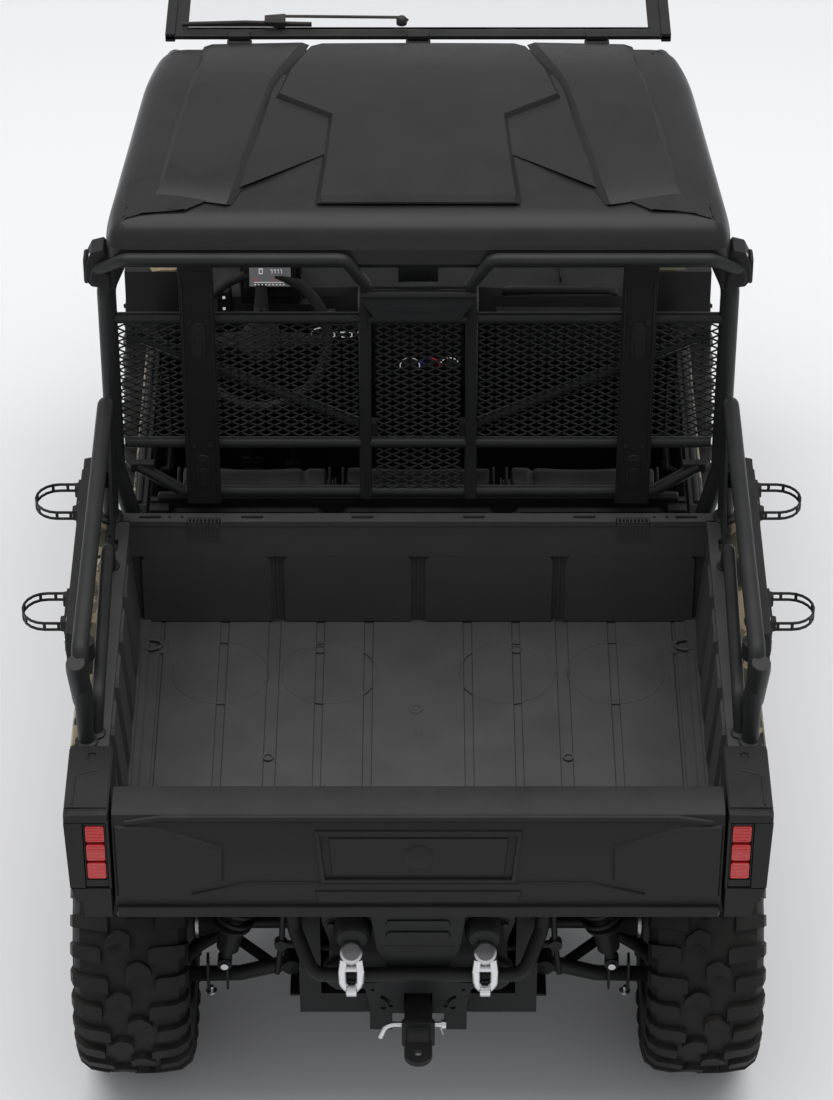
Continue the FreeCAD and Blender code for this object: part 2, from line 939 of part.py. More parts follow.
def chassis_frame():
    """Ladder frame with shock towers, bed rails and the bed's hinge pin."""
    pieces = []
    rail_z = (L.frame_bottom, FRAME_TOP)
    depth = L.tower_depth
    bed_tower = REAR_AXLE - L.bed_tower_ahead
    front = FRONT_AXLE - depth / 2
    last = L.frame_tail - depth
    for sign in (1, -1):
        rail = span(sign, RAIL_IN, RAIL_OUT)
        pieces.append(box(rail, (L.frame_nose, L.frame_tail), rail_z))
        pieces.append(box(rail, (L.bed_rail_front, L.bed_hinge_y + L.hinge_plate_radius),
                          (L.bed_rail_bottom, BED_RAIL_TOP)))
        for place in (L.bed_rail_front, last):
            pieces.append(box(rail, run(place, depth), (FRAME_TOP, L.bed_rail_bottom)))
        pieces.append(box(rail, run(front, depth), (FRAME_TOP, L.front_tower_top)))
        pieces.append(box(rail, (FRONT_AXLE - L.arm_rail_ahead, FRONT_AXLE + L.arm_rail_ahead),
                          run(L.arm_rail_bottom, depth)))
        pieces.append(box(rail, (bed_tower, L.frame_tail), run(L.arm_rail_bottom, depth)))
        pieces.append(box(rail, run(bed_tower, depth), (FRAME_TOP, L.bed_rail_bottom)))
        pieces.append(box(rail, run(L.frame_nose, depth), (FRAME_TOP, L.fender_bottom)))
    rack_y = FRONT_AXLE - L.steering_arm
    for place in (L.frame_nose, rack_y - L.front_cross_ahead, FRONT_AXLE + L.front_cross_behind,
                  L.cab_cross_front, L.cab_cross_middle, L.bed_rail_front, bed_tower, last):
        pieces.append(box((-RAIL_IN, RAIL_IN), run(place, depth), rail_z))
    pieces.append(box((-L.front_tower_half, L.front_tower_half), run(front, depth),
                      (L.front_tower_top - L.tower_cap, L.front_tower_top)))
    pieces.append(box((-L.tower_span, L.tower_span), run(REAR_AXLE + L.shock_bridge_behind, depth),
                      (L.bed_rail_bottom, BED_RAIL_TOP)))
    pin_half = RAIL_OUT + L.moving_gap * 2 + L.hinge_plate
    pieces.append(cylinder("x", (-pin_half, L.bed_hinge_y, L.bed_hinge_z), L.hinge_pin_radius,
                           pin_half * 2))
    pieces.append(box((-L.rack_half, L.rack_half), (rack_y - L.rack_depth, rack_y + L.rack_depth),
                      (FRAME_TOP, AXLE_Z + L.rack_rise)))
    reach = RAIL_OUT + OVERRUN
    bore = cylinder("x", (-reach, rack_y, AXLE_Z + L.tie_rod_rise),
                    L.tie_rod_radius + L.pin_gap, reach * 2)
    tunnels = [cylinder("x", (-reach, axle, AXLE_Z), L.shaft_radius + L.moving_gap, reach * 2)
               for axle in (FRONT_AXLE, REAR_AXLE)]
    return cut(fuse(*pieces), bore, *tunnels)


frame = node("chassis_frame", chassis_frame())
node("skid_plate", box((-L.skid_half, L.skid_half), (L.frame_nose, L.frame_tail - L.tower_depth),
                       (L.frame_bottom - L.skid_thick, L.frame_bottom)))


def drive_case(axle, ahead, behind):
    """An axle drive housing: a drum across the vehicle and a nose along it."""
    drum = cylinder("x", (-L.case_half, axle, AXLE_Z), L.case_radius, L.case_half * 2)
    nose = cylinder("y", (0, axle - ahead, AXLE_Z), L.case_nose_radius, ahead + behind)
    return fuse(drum, nose)


below_frame = box((-RAIL_OUT, RAIL_OUT), (L.frame_nose, L.frame_tail),
                  (L.frame_bottom - L.case_radius, L.frame_bottom))
node("drive_cases", cut(fuse(drive_case(REAR_AXLE, L.rear_case_ahead, L.rear_case_behind),
                             drive_case(FRONT_AXLE, L.front_case_ahead, L.front_case_behind)),
                        frame, below_frame))
node("engine_block", box((-L.engine_half, L.engine_half),
                         (L.bed_rail_front + L.engine_gap, REAR_AXLE - L.rear_case_ahead),
                         (FRAME_TOP, L.engine_top)))


def half_shaft(axle, reach):
    """A drive shaft with its two rubber boots, from the drive case outwards."""
    bar = cylinder("x", (L.case_half, axle, AXLE_Z), L.shaft_radius, reach - L.case_half)
    inner = cylinder("x", (L.case_half, axle, AXLE_Z), L.boot_radius, L.boot_length)
    outer = cylinder("x", (reach - L.cup_length, axle, AXLE_Z), L.cup_radius, L.cup_length)
    return fuse(bar, inner, outer)


REAR_KNUCKLE_IN = L.rear_track_half - L.rear_upright_inset
FRONT_KNUCKLE_IN = L.kingpin_place - L.kingpin_inset
node("half_shafts", pair(fuse(half_shaft(REAR_AXLE, REAR_KNUCKLE_IN),
                              half_shaft(FRONT_AXLE, FRONT_KNUCKLE_IN - L.cup_gap))))


def knuckle(axle, inner, track):
    """The upright that carries a wheel's spindle."""
    outer = inner + L.upright_thick
    block = box((inner, outer), (axle - L.upright_depth, axle + L.upright_depth),
                (AXLE_Z - L.upright_half, AXLE_Z + L.upright_half))
    reach = track + L.rim_face_depth - L.pin_gap
    return fuse(block, cylinder("x", (outer, axle, AXLE_Z), L.spindle_radius, reach - outer))


node("rear_knuckles", pair(knuckle(REAR_AXLE, REAR_KNUCKLE_IN, L.rear_track_half)))


def front_knuckle():
    """A steered upright with its steering arm."""
    upright = knuckle(FRONT_AXLE, FRONT_KNUCKLE_IN, L.front_track_half)
    end = FRONT_AXLE - L.steering_arm
    low = AXLE_Z - L.steering_arm_drop
    arm = box((L.kingpin_place - L.steering_arm_in, L.kingpin_place + L.steering_arm_out),
              (end, FRONT_AXLE - L.upright_depth), run(low, L.steering_arm_thick))
    boss = cylinder("z", (L.kingpin_place - L.rod_end_inset, end, low), L.rod_end_radius,
                    L.steering_arm_thick)
    return fuse(upright, arm, boss)


left_knuckle = node("knuckle_left", front_knuckle())
node("knuckle_right", mirrored(left_knuckle))
ROD_END = L.kingpin_place - L.rod_end_inset
node("tie_rods", cylinder("x", (-ROD_END, FRONT_AXLE - L.steering_arm, AXLE_Z + L.tie_rod_rise),
                          L.tie_rod_radius, ROD_END * 2))

# Share of an arm's spread that is left at its elbow.
ELBOW_SHARE = 0.36


def arm_pair(axle, outer_x, inner_z, outer_z, spread, radius):
    """An A-arm from two frame pivots to the knuckle."""
    inner_x = RAIL_OUT + L.arm_barrel
    legs = []
    for direction in (1, -1):
        pivot = axle + direction * spread
        start = (inner_x, pivot, inner_z)
        elbow = (outer_x - L.arm_elbow, axle + direction * (spread * ELBOW_SHARE), outer_z)
        end = (outer_x, axle + direction * L.arm_end_spread, outer_z)
        legs.append(bent_tube([start, elbow, end], radius, L.arm_bend))
        legs.append(cylinder("y", (inner_x, pivot - L.arm_barrel_half, inner_z), L.arm_barrel,
                             L.arm_barrel_half * 2))
    return fuse(*legs)


LOW_JOINT = AXLE_Z - L.upright_half - L.low_arm_radius - L.pin_gap
HIGH_JOINT = AXLE_Z + L.upright_half + L.high_arm_radius + L.pin_gap
REAR_ARM_END = REAR_KNUCKLE_IN + L.upright_thick / 2
lower_arms = node("lower_arms", pair(fuse(
    arm_pair(REAR_AXLE, REAR_ARM_END, L.low_pivot_z, LOW_JOINT, L.rear_low_spread,
             L.low_arm_radius),
    arm_pair(FRONT_AXLE, L.kingpin_place, L.low_pivot_z, LOW_JOINT, L.front_low_spread,
             L.low_arm_radius))))
upper_arms = node("upper_arms", pair(fuse(
    arm_pair(REAR_AXLE, REAR_ARM_END, L.high_pivot_z, HIGH_JOINT, L.rear_high_spread,
             L.high_arm_radius),
    arm_pair(FRONT_AXLE, L.kingpin_place, L.high_pivot_z, HIGH_JOINT, L.front_high_spread,
             L.high_arm_radius))))

# Where a shock's lower body, spring seat and spring start, as shares of its length.
BODY_SHARE = 0.06
SEAT_SHARE = 0.33
SPRING_SHARE = 0.52


def coil_over(foot, head):
    """A shock absorber with its spring as rings round a sleeve, turned from one profile."""
    low = vector(foot)
    way = vector(head) - low
    length = way.Length
    damper = L.damper_radius.value
    body = L.damper_body_radius.value
    wire = L.spring_wire.value
    valley = L.spring_radius.value - wire
    crest = L.spring_radius.value + wire
    seat = length * SEAT_SHARE
    spring = seat + L.spring_seat_thick.value
    pitch = length * SPRING_SHARE / L.spring_turns.value
    profile = [
        (0, 0),
        (damper, 0),
        (damper, length * BODY_SHARE),
        (body, length * BODY_SHARE),
        (body, seat),
        (L.spring_seat_radius.value, seat),
        (L.spring_seat_radius.value, spring),
    ]
    for turn in range(int(L.spring_turns.value)):
        start = spring + pitch * turn
        profile.append((valley, start))
        profile.append((crest, start + wire))
        profile.append((crest, start + wire * 2))
        profile.append((valley, start + wire * 3))
    top = spring + length * SPRING_SHARE
    profile += [(valley, top), (damper, top), (damper, length), (0, length), (0, 0)]
    face = Part.Face(Part.makePolygon([FreeCAD.Vector(out, 0, up) for out, up in profile]))
    shock = doc.addObject("Part::Feature", "shock")
    shock.Shape = face.revolve(FreeCAD.Vector(0, 0, 0), FreeCAD.Vector(0, 0, 1), 360)
    shock.Placement = FreeCAD.Placement(low, FreeCAD.Rotation(FreeCAD.Vector(0, 0, 1), way))
    return shock


rear_shock_y = REAR_AXLE + L.rear_low_spread
rear_shock = coil_over((L.rear_shock_foot_x, rear_shock_y, L.rear_shock_foot_z),
                       (L.rear_shock_head_x, rear_shock_y, L.bed_rail_bottom - L.pin_gap))
front_shock = coil_over((L.front_shock_foot_x, FRONT_AXLE, L.front_shock_foot_z),
                        (L.front_shock_head_x, FRONT_AXLE,
                         L.front_tower_top - L.tower_cap - L.pin_gap))
node("shocks", cut(pair(fuse(rear_shock, front_shock)), frame, lower_arms, upper_arms))


def mirror_profile(points):
    """A profile and its mirror image about X = 0 as one closed outline."""
    return points + [(-across, up) for across, up in reversed(points)]


def cab_floor():
    """Floor pan with its toe board and the wall behind the seats."""
    wide = (-L.cab_half, L.cab_half)
    pan = box(wide, (L.cab_front, L.cab_rear), (FRAME_TOP, CAB_FLOOR))
    toe = box(wide, run(L.cab_front, L.cab_wall), (CAB_FLOOR, L.toe_board_top))
    back = box(wide, run(L.back_wall_front, L.cab_wall), (CAB_FLOOR, L.rear_panel_top))
    return fuse(pan, toe, back)


node("cab_floor", cab_floor())
SILL_OUT = L.cab_half + L.sill_width
sill = prism("YZ", [
    (L.cab_front, L.sill_bottom + L.sill_slope),
    (L.cab_front + L.sill_nose, L.sill_bottom),
    (L.cab_rear - L.sill_tail, L.sill_bottom),
    (L.cab_rear, L.sill_bottom + L.sill_slope),
    (L.cab_rear, L.sill_top),
    (L.cab_front, L.sill_top),
], L.cab_half, SILL_OUT)
DOOR_PIN_X = SILL_OUT - L.door_hinge_radius
DOOR_PIN_Y = L.door_front - L.door_hinge_radius
DOOR_HINGES = (L.sill_top + L.low_hinge_rise, L.door_top - L.high_hinge_drop)


def door_pillar():
    """The hinge pillar in front of a door, with its ears and pins."""
    ear = L.hinge_ear
    reach = L.hinge_ear_reach
    pieces = [box(run(L.cab_half, L.pillar_width), run(L.cab_front, L.pillar_depth),
                  (L.sill_top, L.door_top - L.pillar_drop))]
    for height in DOOR_HINGES:
        for low in (height - ear - L.pin_gap, height + L.hinge_barrel + L.pin_gap):
            pieces.append(box((L.cab_half, DOOR_PIN_X + reach),
                              (L.cab_front, DOOR_PIN_Y + reach), run(low, ear)))
        pieces.append(cylinder("z", (DOOR_PIN_X, DOOR_PIN_Y, height - L.door_pin_overrun),
                               L.door_pin_radius, L.hinge_barrel + L.door_pin_overrun * 2))
    return fuse(*pieces)


node("side_sills", pair(fuse(sill, door_pillar())))


def cage():
    """Roll cage: a loop each side from the cowl over the roof to the sill, with cross tubes."""
    rail_z = L.roof_edge + L.roof_rail_rise
    side = bent_tube([
        (L.pillar_foot_x, L.pillar_foot_y, COWL),
        (L.roof_rail_front_x, L.roof_rail_front_y, rail_z),
        (L.roof_rail_rear_x, L.hoop_y - L.roof_rail_end, rail_z),
        (L.hoop_x, L.hoop_y, HOOP_TOP - L.hoop_bend_drop),
        (L.hoop_x, L.hoop_y, L.screen_mid - L.hoop_waist_drop),
        (L.hoop_foot_x, L.hoop_y, L.rear_panel_top - L.hoop_knee_drop),
        (L.hoop_foot_x, L.hoop_y, L.sill_top + L.fit_gap),
    ], L.cage_radius, L.cage_bend)
    rear_radius = L.cage_radius - L.cross_tube_step
    rear_half = L.hoop_x - L.hoop_inset
    front = cylinder("x", (-L.roof_rail_front_x, L.roof_rail_front_y + L.front_tube_inset,
                           rail_z - L.front_tube_drop), rear_radius, L.roof_rail_front_x * 2)
    rear = cylinder("x", (-rear_half, L.hoop_y, HOOP_TOP), rear_radius, rear_half * 2)
    return fuse(side, mirrored(side), front, rear)


cage_tubes = node("roll_cage", cage())
SCREEN_TOP = HOOP_TOP + L.screen_top_rise
CAP_TOP = HOOP_TOP - L.cap_drop


def screen_post():
    """A centre post whose top leans back, runs outwards and comes down to the hoop's clamp."""
    post_top = HOOP_TOP - L.screen_post_drop
    return bent_tube([
        (L.screen_end_x, L.screen_tip_y, HOOP_TOP - L.screen_end_drop - L.screen_tube_radius),
        (L.screen_end_x, L.screen_top_y, HOOP_TOP - L.screen_end_drop),
        (L.screen_top_out, L.screen_top_y, SCREEN_TOP),
        (L.screen_top_in, L.screen_top_y, SCREEN_TOP),
        (L.screen_post_x, L.hoop_y + L.screen_neck_back, HOOP_TOP - L.screen_neck_drop),
        (L.screen_post_x, L.hoop_y, post_top),
        (L.screen_post_x, L.hoop_y, L.screen_low),
    ], L.screen_tube_radius, L.screen_bend)


def hoop_clamp():
    """The cast clamp at the hoop's upper corner."""
    return prism("XZ", [
        (L.clamp_inner, L.clamp_low),
        (L.clamp_outer - L.clamp_chamfer, L.clamp_low),
        (L.clamp_outer, L.clamp_low + L.clamp_chamfer),
        (L.clamp_outer, L.clamp_high - L.clamp_chamfer),
        (L.clamp_outer - L.clamp_chamfer, L.clamp_high),
        (L.roof_rear_half + L.moving_gap, L.clamp_high),
        (L.roof_rear_half + L.moving_gap, L.roof_edge - L.moving_gap),
        (L.clamp_inner, L.roof_edge - L.moving_gap),
    ], L.clamp_front, L.clamp_rear)


def rear_screen():
    """Tube frame behind the seats: posts, cross tubes, braces, cap plate and clamps."""
    pieces = [pair(screen_post()), pair(hoop_clamp())]
    for height in (L.screen_low, L.screen_mid, L.screen_high):
        pieces.append(cylinder("x", (-L.hoop_x, L.hoop_y, height), L.screen_tube_radius,
                               L.hoop_x * 2))
    cap_low = CAP_TOP - L.cap_height
    pieces.append(prism("XZ", mirror_profile([(L.cap_low_half, cap_low), (L.cap_half, CAP_TOP)]),
                        L.cap_face, L.cap_face + L.cap_thick))
    pieces.append(cylinder("x", (-L.cap_half, L.cap_face + L.cap_thick / 2, CAP_TOP),
                           L.cap_radius, L.cap_half * 2))
    brace_y = L.hoop_y - L.brace_ahead
    brace = bent_tube([
        (L.hoop_x, brace_y, L.brace_top),
        (L.screen_post_x, brace_y, L.brace_bottom),
    ], L.brace_radius, 0)
    pieces.append(pair(brace))
    return cut(fuse(*pieces), cage_tubes)


screen_tubes = node("rear_screen_frame", rear_screen())


def lattice(x_low, x_high, z_low, z_high):
    """An expanded-metal sheet: a plate with staggered diamond openings."""
    pitch_x = L.mesh_pitch_x.value
    pitch_z = L.mesh_pitch_z.value
    strand = L.mesh_strand.value
    thick = L.mesh_thick.value
    back = L.hoop_y.value - thick / 2
    wires = [Part.makePolygon([FreeCAD.Vector(x, back, z) for x, z in (
        (x_low, z_low), (x_high, z_low), (x_high, z_high), (x_low, z_high), (x_low, z_low))])]
    half_x = pitch_x / 2 - strand
    half_z = pitch_z / 2 - strand / 2
    rows = int((z_high - z_low - strand) / (pitch_z / 2)) + 1
    columns = int((x_high - x_low) / pitch_x) + 2
    for row in range(1, rows):
        z = z_low + row * pitch_z / 2
        for column in range(columns):
            x = x_low + (column + 0.5 * (row % 2)) * pitch_x
            inside = x_low + strand < x - half_x and x + half_x < x_high - strand
            if inside and z_low + strand < z - half_z and z + half_z < z_high - strand:
                corners = ((x - half_x, z), (x, z + half_z), (x + half_x, z), (x, z - half_z),
                           (x - half_x, z))
                wires.append(Part.makePolygon([FreeCAD.Vector(a, back, b) for a, b in corners]))
    return Part.Face(wires).extrude(FreeCAD.Vector(0, thick, 0))


def screen_mesh():
    """The lattice panels that fill the rear screen."""
    seat = (L.screen_tube_radius + L.fit_gap).value
    mid_low = L.screen_mid.value - seat
    mid_high = L.screen_mid.value + seat
    top = L.screen_high.value - seat
    post = L.screen_post_x.value
    outer = (L.hoop_x - L.cage_radius - L.fit_gap).value
    panels = [
        lattice(post + seat, outer, mid_high, top),
        lattice(-outer, -post - seat, mid_high, top),
        lattice(seat - post, post - seat, mid_high, top),
        lattice(seat - post, post - seat, L.screen_low.value + seat, mid_low),
    ]
    mesh = doc.addObject("Part::Feature", "mesh")
    mesh.Shape = Part.makeCompound(panels)
    mesh.Placement = FreeCAD.Placement()
    return mesh


node("rear_screen_mesh", screen_mesh())


def screen_strap():
    """A flat strap up the back of the screen, bent back at its top to the upper tube."""
    face = L.hoop_y + L.cage_radius - L.cross_tube_step + L.fit_gap
    back = face + L.strap_thick
    bend_z = HOOP_TOP - L.strap_bend_drop
    return cut(prism("YZ", [
        (face, L.strap_bottom),
        (face, bend_z),
        (L.screen_top_y, SCREEN_TOP),
        (L.screen_top_y + L.strap_thick, SCREEN_TOP),
        (back, bend_z),
        (back, L.strap_bottom),
    ], L.strap_place - L.strap_width / 2, L.strap_place + L.strap_width / 2), screen_tubes)


node("rear_screen_straps", pair(screen_strap()))


def roof_solid(inset, top, low):
    """The roof's block, drawn in by an inset on all sides."""
    front = L.roof_front + inset
    rear = L.roof_rear - inset
    side = prism("YZ", [
        (rear, low),
        (rear - L.roof_tail_lean, top - L.roof_tail_fall),
        (rear - L.roof_bevel, top - L.roof_rear_fall),
        (L.roof_crown_y, top),
        (front + L.roof_bevel, top - L.roof_nose_fall),
        (front, top - L.roof_brow_fall),
        (front + L.roof_brow_lean, low),
    ], -L.roof_rear_half, L.roof_rear_half)
    edge = L.roof_rear_half - inset
    across = prism("XZ", mirror_profile([
        (edge, low),
        (edge - L.roof_side_lean, top - L.roof_side_fall),
        (edge - L.roof_bevel, top - L.roof_shoulder_fall),
        (L.roof_flat_half, top),
    ]), L.roof_front - OVERRUN, L.roof_rear + OVERRUN)
    narrow = L.roof_front_half - inset
    plan = prism("XY", mirror_profile([
        (narrow - L.roof_corner, L.roof_front - OVERRUN),
        (narrow, L.roof_front + L.roof_front_corner),
        (edge, L.roof_rear - L.roof_rear_corner),
        (edge, L.roof_rear + OVERRUN),
    ]), low - OVERRUN, ROOF_PEAK + OVERRUN)
    return common(common(side, across), plan)


# Roof relief in shares of the roof: back from its front edge, then out from its middle.
RIB_INNER = ((0.03, 0.37), (0.24, 0.45), (0.32, 0.48), (0.56, 0.52), (0.90, 0.61))
RIB_OUTER = ((0.85, 0.85), (0.56, 0.81), (0.24, 0.76), (0.03, 0.72))
MIDDLE_EDGE = ((0.04, 0.33), (0.24, 0.43), (0.38, 0.46), (0.49, 0.29), (0.90, 0.32))


def on_roof(share):
    """A place in the roof's plan from its shares."""
    back, out = share
    return (L.roof_rear_half * out, L.roof_front + (L.roof_rear - L.roof_front) * back)


def roof_shell():
    """The hard roof: a hollow shell with two raised ribs and a raised middle."""
    skin = ROOF_PEAK - L.roof_relief
    low = L.roof_edge + L.roof_shell
    rib = prism("XY", [on_roof(share) for share in RIB_INNER + RIB_OUTER], low, ROOF_PEAK)
    middle = prism("XY", mirror_profile([on_roof(share) for share in MIDDLE_EDGE]), low,
                   ROOF_PEAK)
    relief = common(roof_solid(as_size(0), ROOF_PEAK, L.roof_edge),
                    fuse(rib, mirrored(rib), middle))
    hollow = roof_solid(L.roof_shell, skin - L.roof_shell, L.roof_edge - OVERRUN)
    shell = fuse(roof_solid(as_size(0), skin, L.roof_edge), relief)
    return cut(shell, hollow, cage_tubes, screen_tubes)


node("roof", roof_shell())
SCREEN_HINGE_Z = L.roof_edge + L.screen_hinge_rise


def windscreen():
    """The windscreen's frame and glass, tilted up and forwards over the hood."""
    run_out = L.screen_reach.value
    rise = L.screen_rise.value
    half = L.screen_frame_half.value
    wide = L.screen_frame_width.value
    thick = L.screen_frame_thick.value
    pane_thick = L.glass_thick.value
    length = math.hypot(run_out, rise)
    outer = Part.makeBox(half * 2, length, thick, FreeCAD.Vector(-half, -length, -thick / 2))
    window = Part.makeBox((half - wide) * 2, length - wide * 2, thick * 2,
                          FreeCAD.Vector(wide - half, wide - length, -thick))
    rebate = wide + L.fit_gap.value
    pane = Part.makeBox((half - rebate) * 2, length - rebate * 2, pane_thick,
                        FreeCAD.Vector(rebate - half, rebate - length, -pane_thick / 2))
    place = FreeCAD.Placement(vector((0, L.screen_hinge_y, SCREEN_HINGE_Z)),
                              FreeCAD.Rotation(FreeCAD.Vector(1, 0, 0),
                                               -math.degrees(math.atan2(rise, run_out))))
    radius = (L.roof_front - L.screen_hinge_y).value / 2
    barrel = L.screen_barrel_length.value
    lap = L.pin_gap.value
    barrels = [Part.makeCylinder(radius + lap, barrel,
                                 FreeCAD.Vector(x - barrel / 2, radius - lap, -radius - lap),
                                 FreeCAD.Vector(1, 0, 0))
               for x in (-half + barrel * 3, 0, half - barrel * 3)]
    frame_piece = doc.addObject("Part::Feature", "screen_frame")
    frame_piece.Shape = outer.cut(window).multiFuse(barrels)
    frame_piece.Placement = place
    glass_piece = doc.addObject("Part::Feature", "screen_glass")
    glass_piece.Shape = pane
    glass_piece.Placement = place
    return frame_piece, glass_piece


screen_frame, screen_glass = windscreen()


def windscreen_wiper():
    """The wiper that lies along the screen's lower edge, with its arm and motor."""
    low = SCREEN_HINGE_Z + L.screen_frame_thick / 2 + L.wiper_rise
    blade_y = L.screen_hinge_y - L.wiper_ahead
    arm_y = L.screen_hinge_y - L.wiper_arm_ahead
    blade = L.wiper_blade
    return cut(fuse(
        box((L.wiper_near, L.wiper_far), run(blade_y, blade), run(low, blade)),
        box((L.wiper_arm_near, L.wiper_arm_far), run(arm_y, blade), run(low, blade / 2)),
        box((L.wiper_motor_near, L.wiper_motor_far), (arm_y - blade / 4, blade_y + blade),
            (low - blade / 4, low + blade)),
        box(run(L.wiper_arm_near, blade * 3), (arm_y, blade_y + blade),
            (low - L.wiper_rise * 2, low + blade / 2)),
    ), screen_frame, screen_glass)


node("windscreen_wiper", windscreen_wiper())
node("windscreen_frame", screen_frame)
node("windscreen_glass", screen_glass)


def bench():
    """Seat box, three cushions and three backrests."""
    dip = L.seat_box_dip
    seat_box = prism("YZ", [
        (L.seat_box_front, CAB_FLOOR + L.fit_gap),
        (L.seat_box_lip, L.seat_box_top),
        (L.cushion_rear + L.fit_gap, dip),
        (L.seat_box_step, L.seat_box_high),
        (L.seat_box_rear, L.seat_box_high),
        (L.seat_box_rear, CAB_FLOOR + L.fit_gap),
    ], -L.seat_half - L.seat_gap, L.seat_half + L.seat_gap)
    cushions = []
    backs = []
    inner = L.seat_split + L.seat_gap
    middle = L.seat_split - L.seat_gap
    for low, high in ((-L.seat_half, -inner), (-middle, middle), (inner, L.seat_half)):
        cushions.append(prism("YZ", [
            (L.seat_box_lip, L.seat_box_top + L.fit_gap),
            (L.cushion_nose, L.cushion_low_edge),
            (L.cushion_nose + L.cushion_round, L.cushion_high),
            (L.cushion_rear - L.cushion_round, L.cushion_rear_high),
            (L.cushion_rear, L.cushion_rear_high - L.cushion_round),
            (L.cushion_rear, dip + L.fit_gap),
        ], low, high))
        wall = L.back_wall_front - L.fit_gap
        backs.append(prism("YZ", [
            (L.back_foot, L.seat_box_high + L.fit_gap),
            (L.back_front, L.back_foot_z),
            (L.back_front + L.back_lean, L.back_top - L.back_round),
            (L.back_front + L.back_lean + L.back_round, L.back_top),
            (wall, L.back_top - L.back_round / 2),
            (wall, L.back_knee),
            (L.seat_box_rear, L.seat_box_high + L.fit_gap),
        ], low, high))
    node("seat_box", seat_box)
    node("seat_cushions", fuse(*cushions))
    node("seat_backs", fuse(*backs))


bench()
TOE_FACE = L.cab_front + L.cab_wall + L.fit_gap
DASH_BACK = L.dash_edge - L.dash_slope
dashboard = node("dashboard", prism("YZ", [
    (TOE_FACE, L.dash_low),
    (DASH_BACK - L.dash_slope, L.dash_low - L.dash_slope / 2),
    (DASH_BACK, L.dash_knee),
    (L.dash_edge, L.dash_edge_z),
    (DASH_BACK, L.dash_brow),
    (L.dash_shoulder, HOOD_TOP),
    (L.dash_front, COWL + L.dash_rise),
    (L.dash_front, COWL + L.dash_rise - L.dash_thick),
    (TOE_FACE, COWL + L.dash_slope),
], -L.dash_half, L.dash_half))
WHEEL_HUB = vector((L.hand_wheel_x, L.hand_wheel_y, L.hand_wheel_z))
COLUMN_TILT = 35
column_way = FreeCAD.Vector(0, math.cos(math.radians(COLUMN_TILT)),
                            math.sin(math.radians(COLUMN_TILT)))


def steering_column():
    """The column from the dashboard up to the steering wheel's hub."""
    length = L.column_length.value
    start = WHEEL_HUB - column_way * (L.column_length + L.hub_low + L.pin_gap).value
    column = doc.addObject("Part::Feature", "column")
    column.Shape = Part.makeCylinder(L.column_radius.value, length, start, column_way)
    column.Placement = FreeCAD.Placement()
    return cut(column, dashboard)


node("steering_column", steering_column())


def steering_wheel():
    """Rim, three spokes and hub, square to the column."""
    grip = L.hand_wheel_grip.value
    spoke_width = L.spoke_width.value
    ring = Part.makeTorus(L.hand_wheel_radius.value, grip)
    hub = Part.makeCylinder(L.hand_wheel_hub.value, L.hub_height.value,
                            FreeCAD.Vector(0, 0, -L.hub_low.value))
    spokes = []
    for turn in (0, 180, 270):
        spoke = Part.makeBox(L.spoke_length.value, spoke_width, L.spoke_thick.value,
                             FreeCAD.Vector(L.spoke_start.value, -spoke_width / 2, -grip))
        spoke.rotate(FreeCAD.Vector(0, 0, 0), FreeCAD.Vector(0, 0, 1), turn)
        spokes.append(spoke)
    wheel_piece = doc.addObject("Part::Feature", "hand_wheel")
    wheel_piece.Shape = ring.multiFuse([hub] + spokes)
    wheel_piece.Placement = FreeCAD.Placement(
        WHEEL_HUB, FreeCAD.Rotation(FreeCAD.Vector(0, 0, 1), column_way))
    return wheel_piece


node("steering_wheel", steering_wheel())


def half_door():
    """A half door: a shell as thick as the sill, with its hinge barrels at the front."""
    low = L.sill_top + L.moving_gap
    corner = L.door_corner
    panel = prism("YZ", [
        (L.door_front, low),
        (L.door_rear - corner, low),
        (L.door_rear, low + L.door_low_slope),
        (L.door_rear, L.door_top - corner),
        (L.door_rear - corner, L.door_top),
        (L.door_front + L.door_front_slope, L.door_top),
        (L.door_front, L.door_top - L.door_low_slope),
    ], SILL_OUT - L.door_thick, SILL_OUT)
    pieces = [panel]
    bores = []
    leaf = L.hinge_leaf_half
    for height in DOOR_HINGES:
        pieces.append(cylinder("z", (DOOR_PIN_X, DOOR_PIN_Y, height), L.door_hinge_radius,
                               L.hinge_barrel))
        pieces.append(box((DOOR_PIN_X - leaf, DOOR_PIN_X + leaf),
                          (DOOR_PIN_Y, L.door_front + leaf), run(height, L.hinge_barrel)))
        bores.append(cylinder("z", (DOOR_PIN_X, DOOR_PIN_Y, height - OVERRUN),
                              L.door_pin_radius + L.pin_gap, L.hinge_barrel + OVERRUN * 2))
    return cut(fuse(*pieces), *bores)


door = half_door()
node("door_left", door)
node("door_right", mirrored(door))


def hood():
    """Hinged hood skin over the nose."""
    top = [
        (L.hood_rear, HOOD_TOP),
        (L.hood_rear - L.hood_mid, HOOD_TOP - L.hood_mid_fall),
        (L.nose_y + L.hood_brow, L.hood_front_z + L.hood_brow_rise),
        (L.nose_y + L.hood_lip, L.hood_front_z),
    ]
    under = [(along, up - L.hood_skin) for along, up in reversed(top)]
    panel = prism("YZ", top + under, -L.hood_half, L.hood_half)
    length = L.hood_barrel_length
    barrels = [cylinder("x", (place, L.hood_pin_y, HOOD_TOP - L.hood_pin_drop), L.hood_barrel,
                        length)
               for place in (-L.hood_half + L.hood_barrel_inset,
                             L.hood_half - L.hood_barrel_inset - length)]
    return fuse(panel, *barrels)


node("hood", hood())


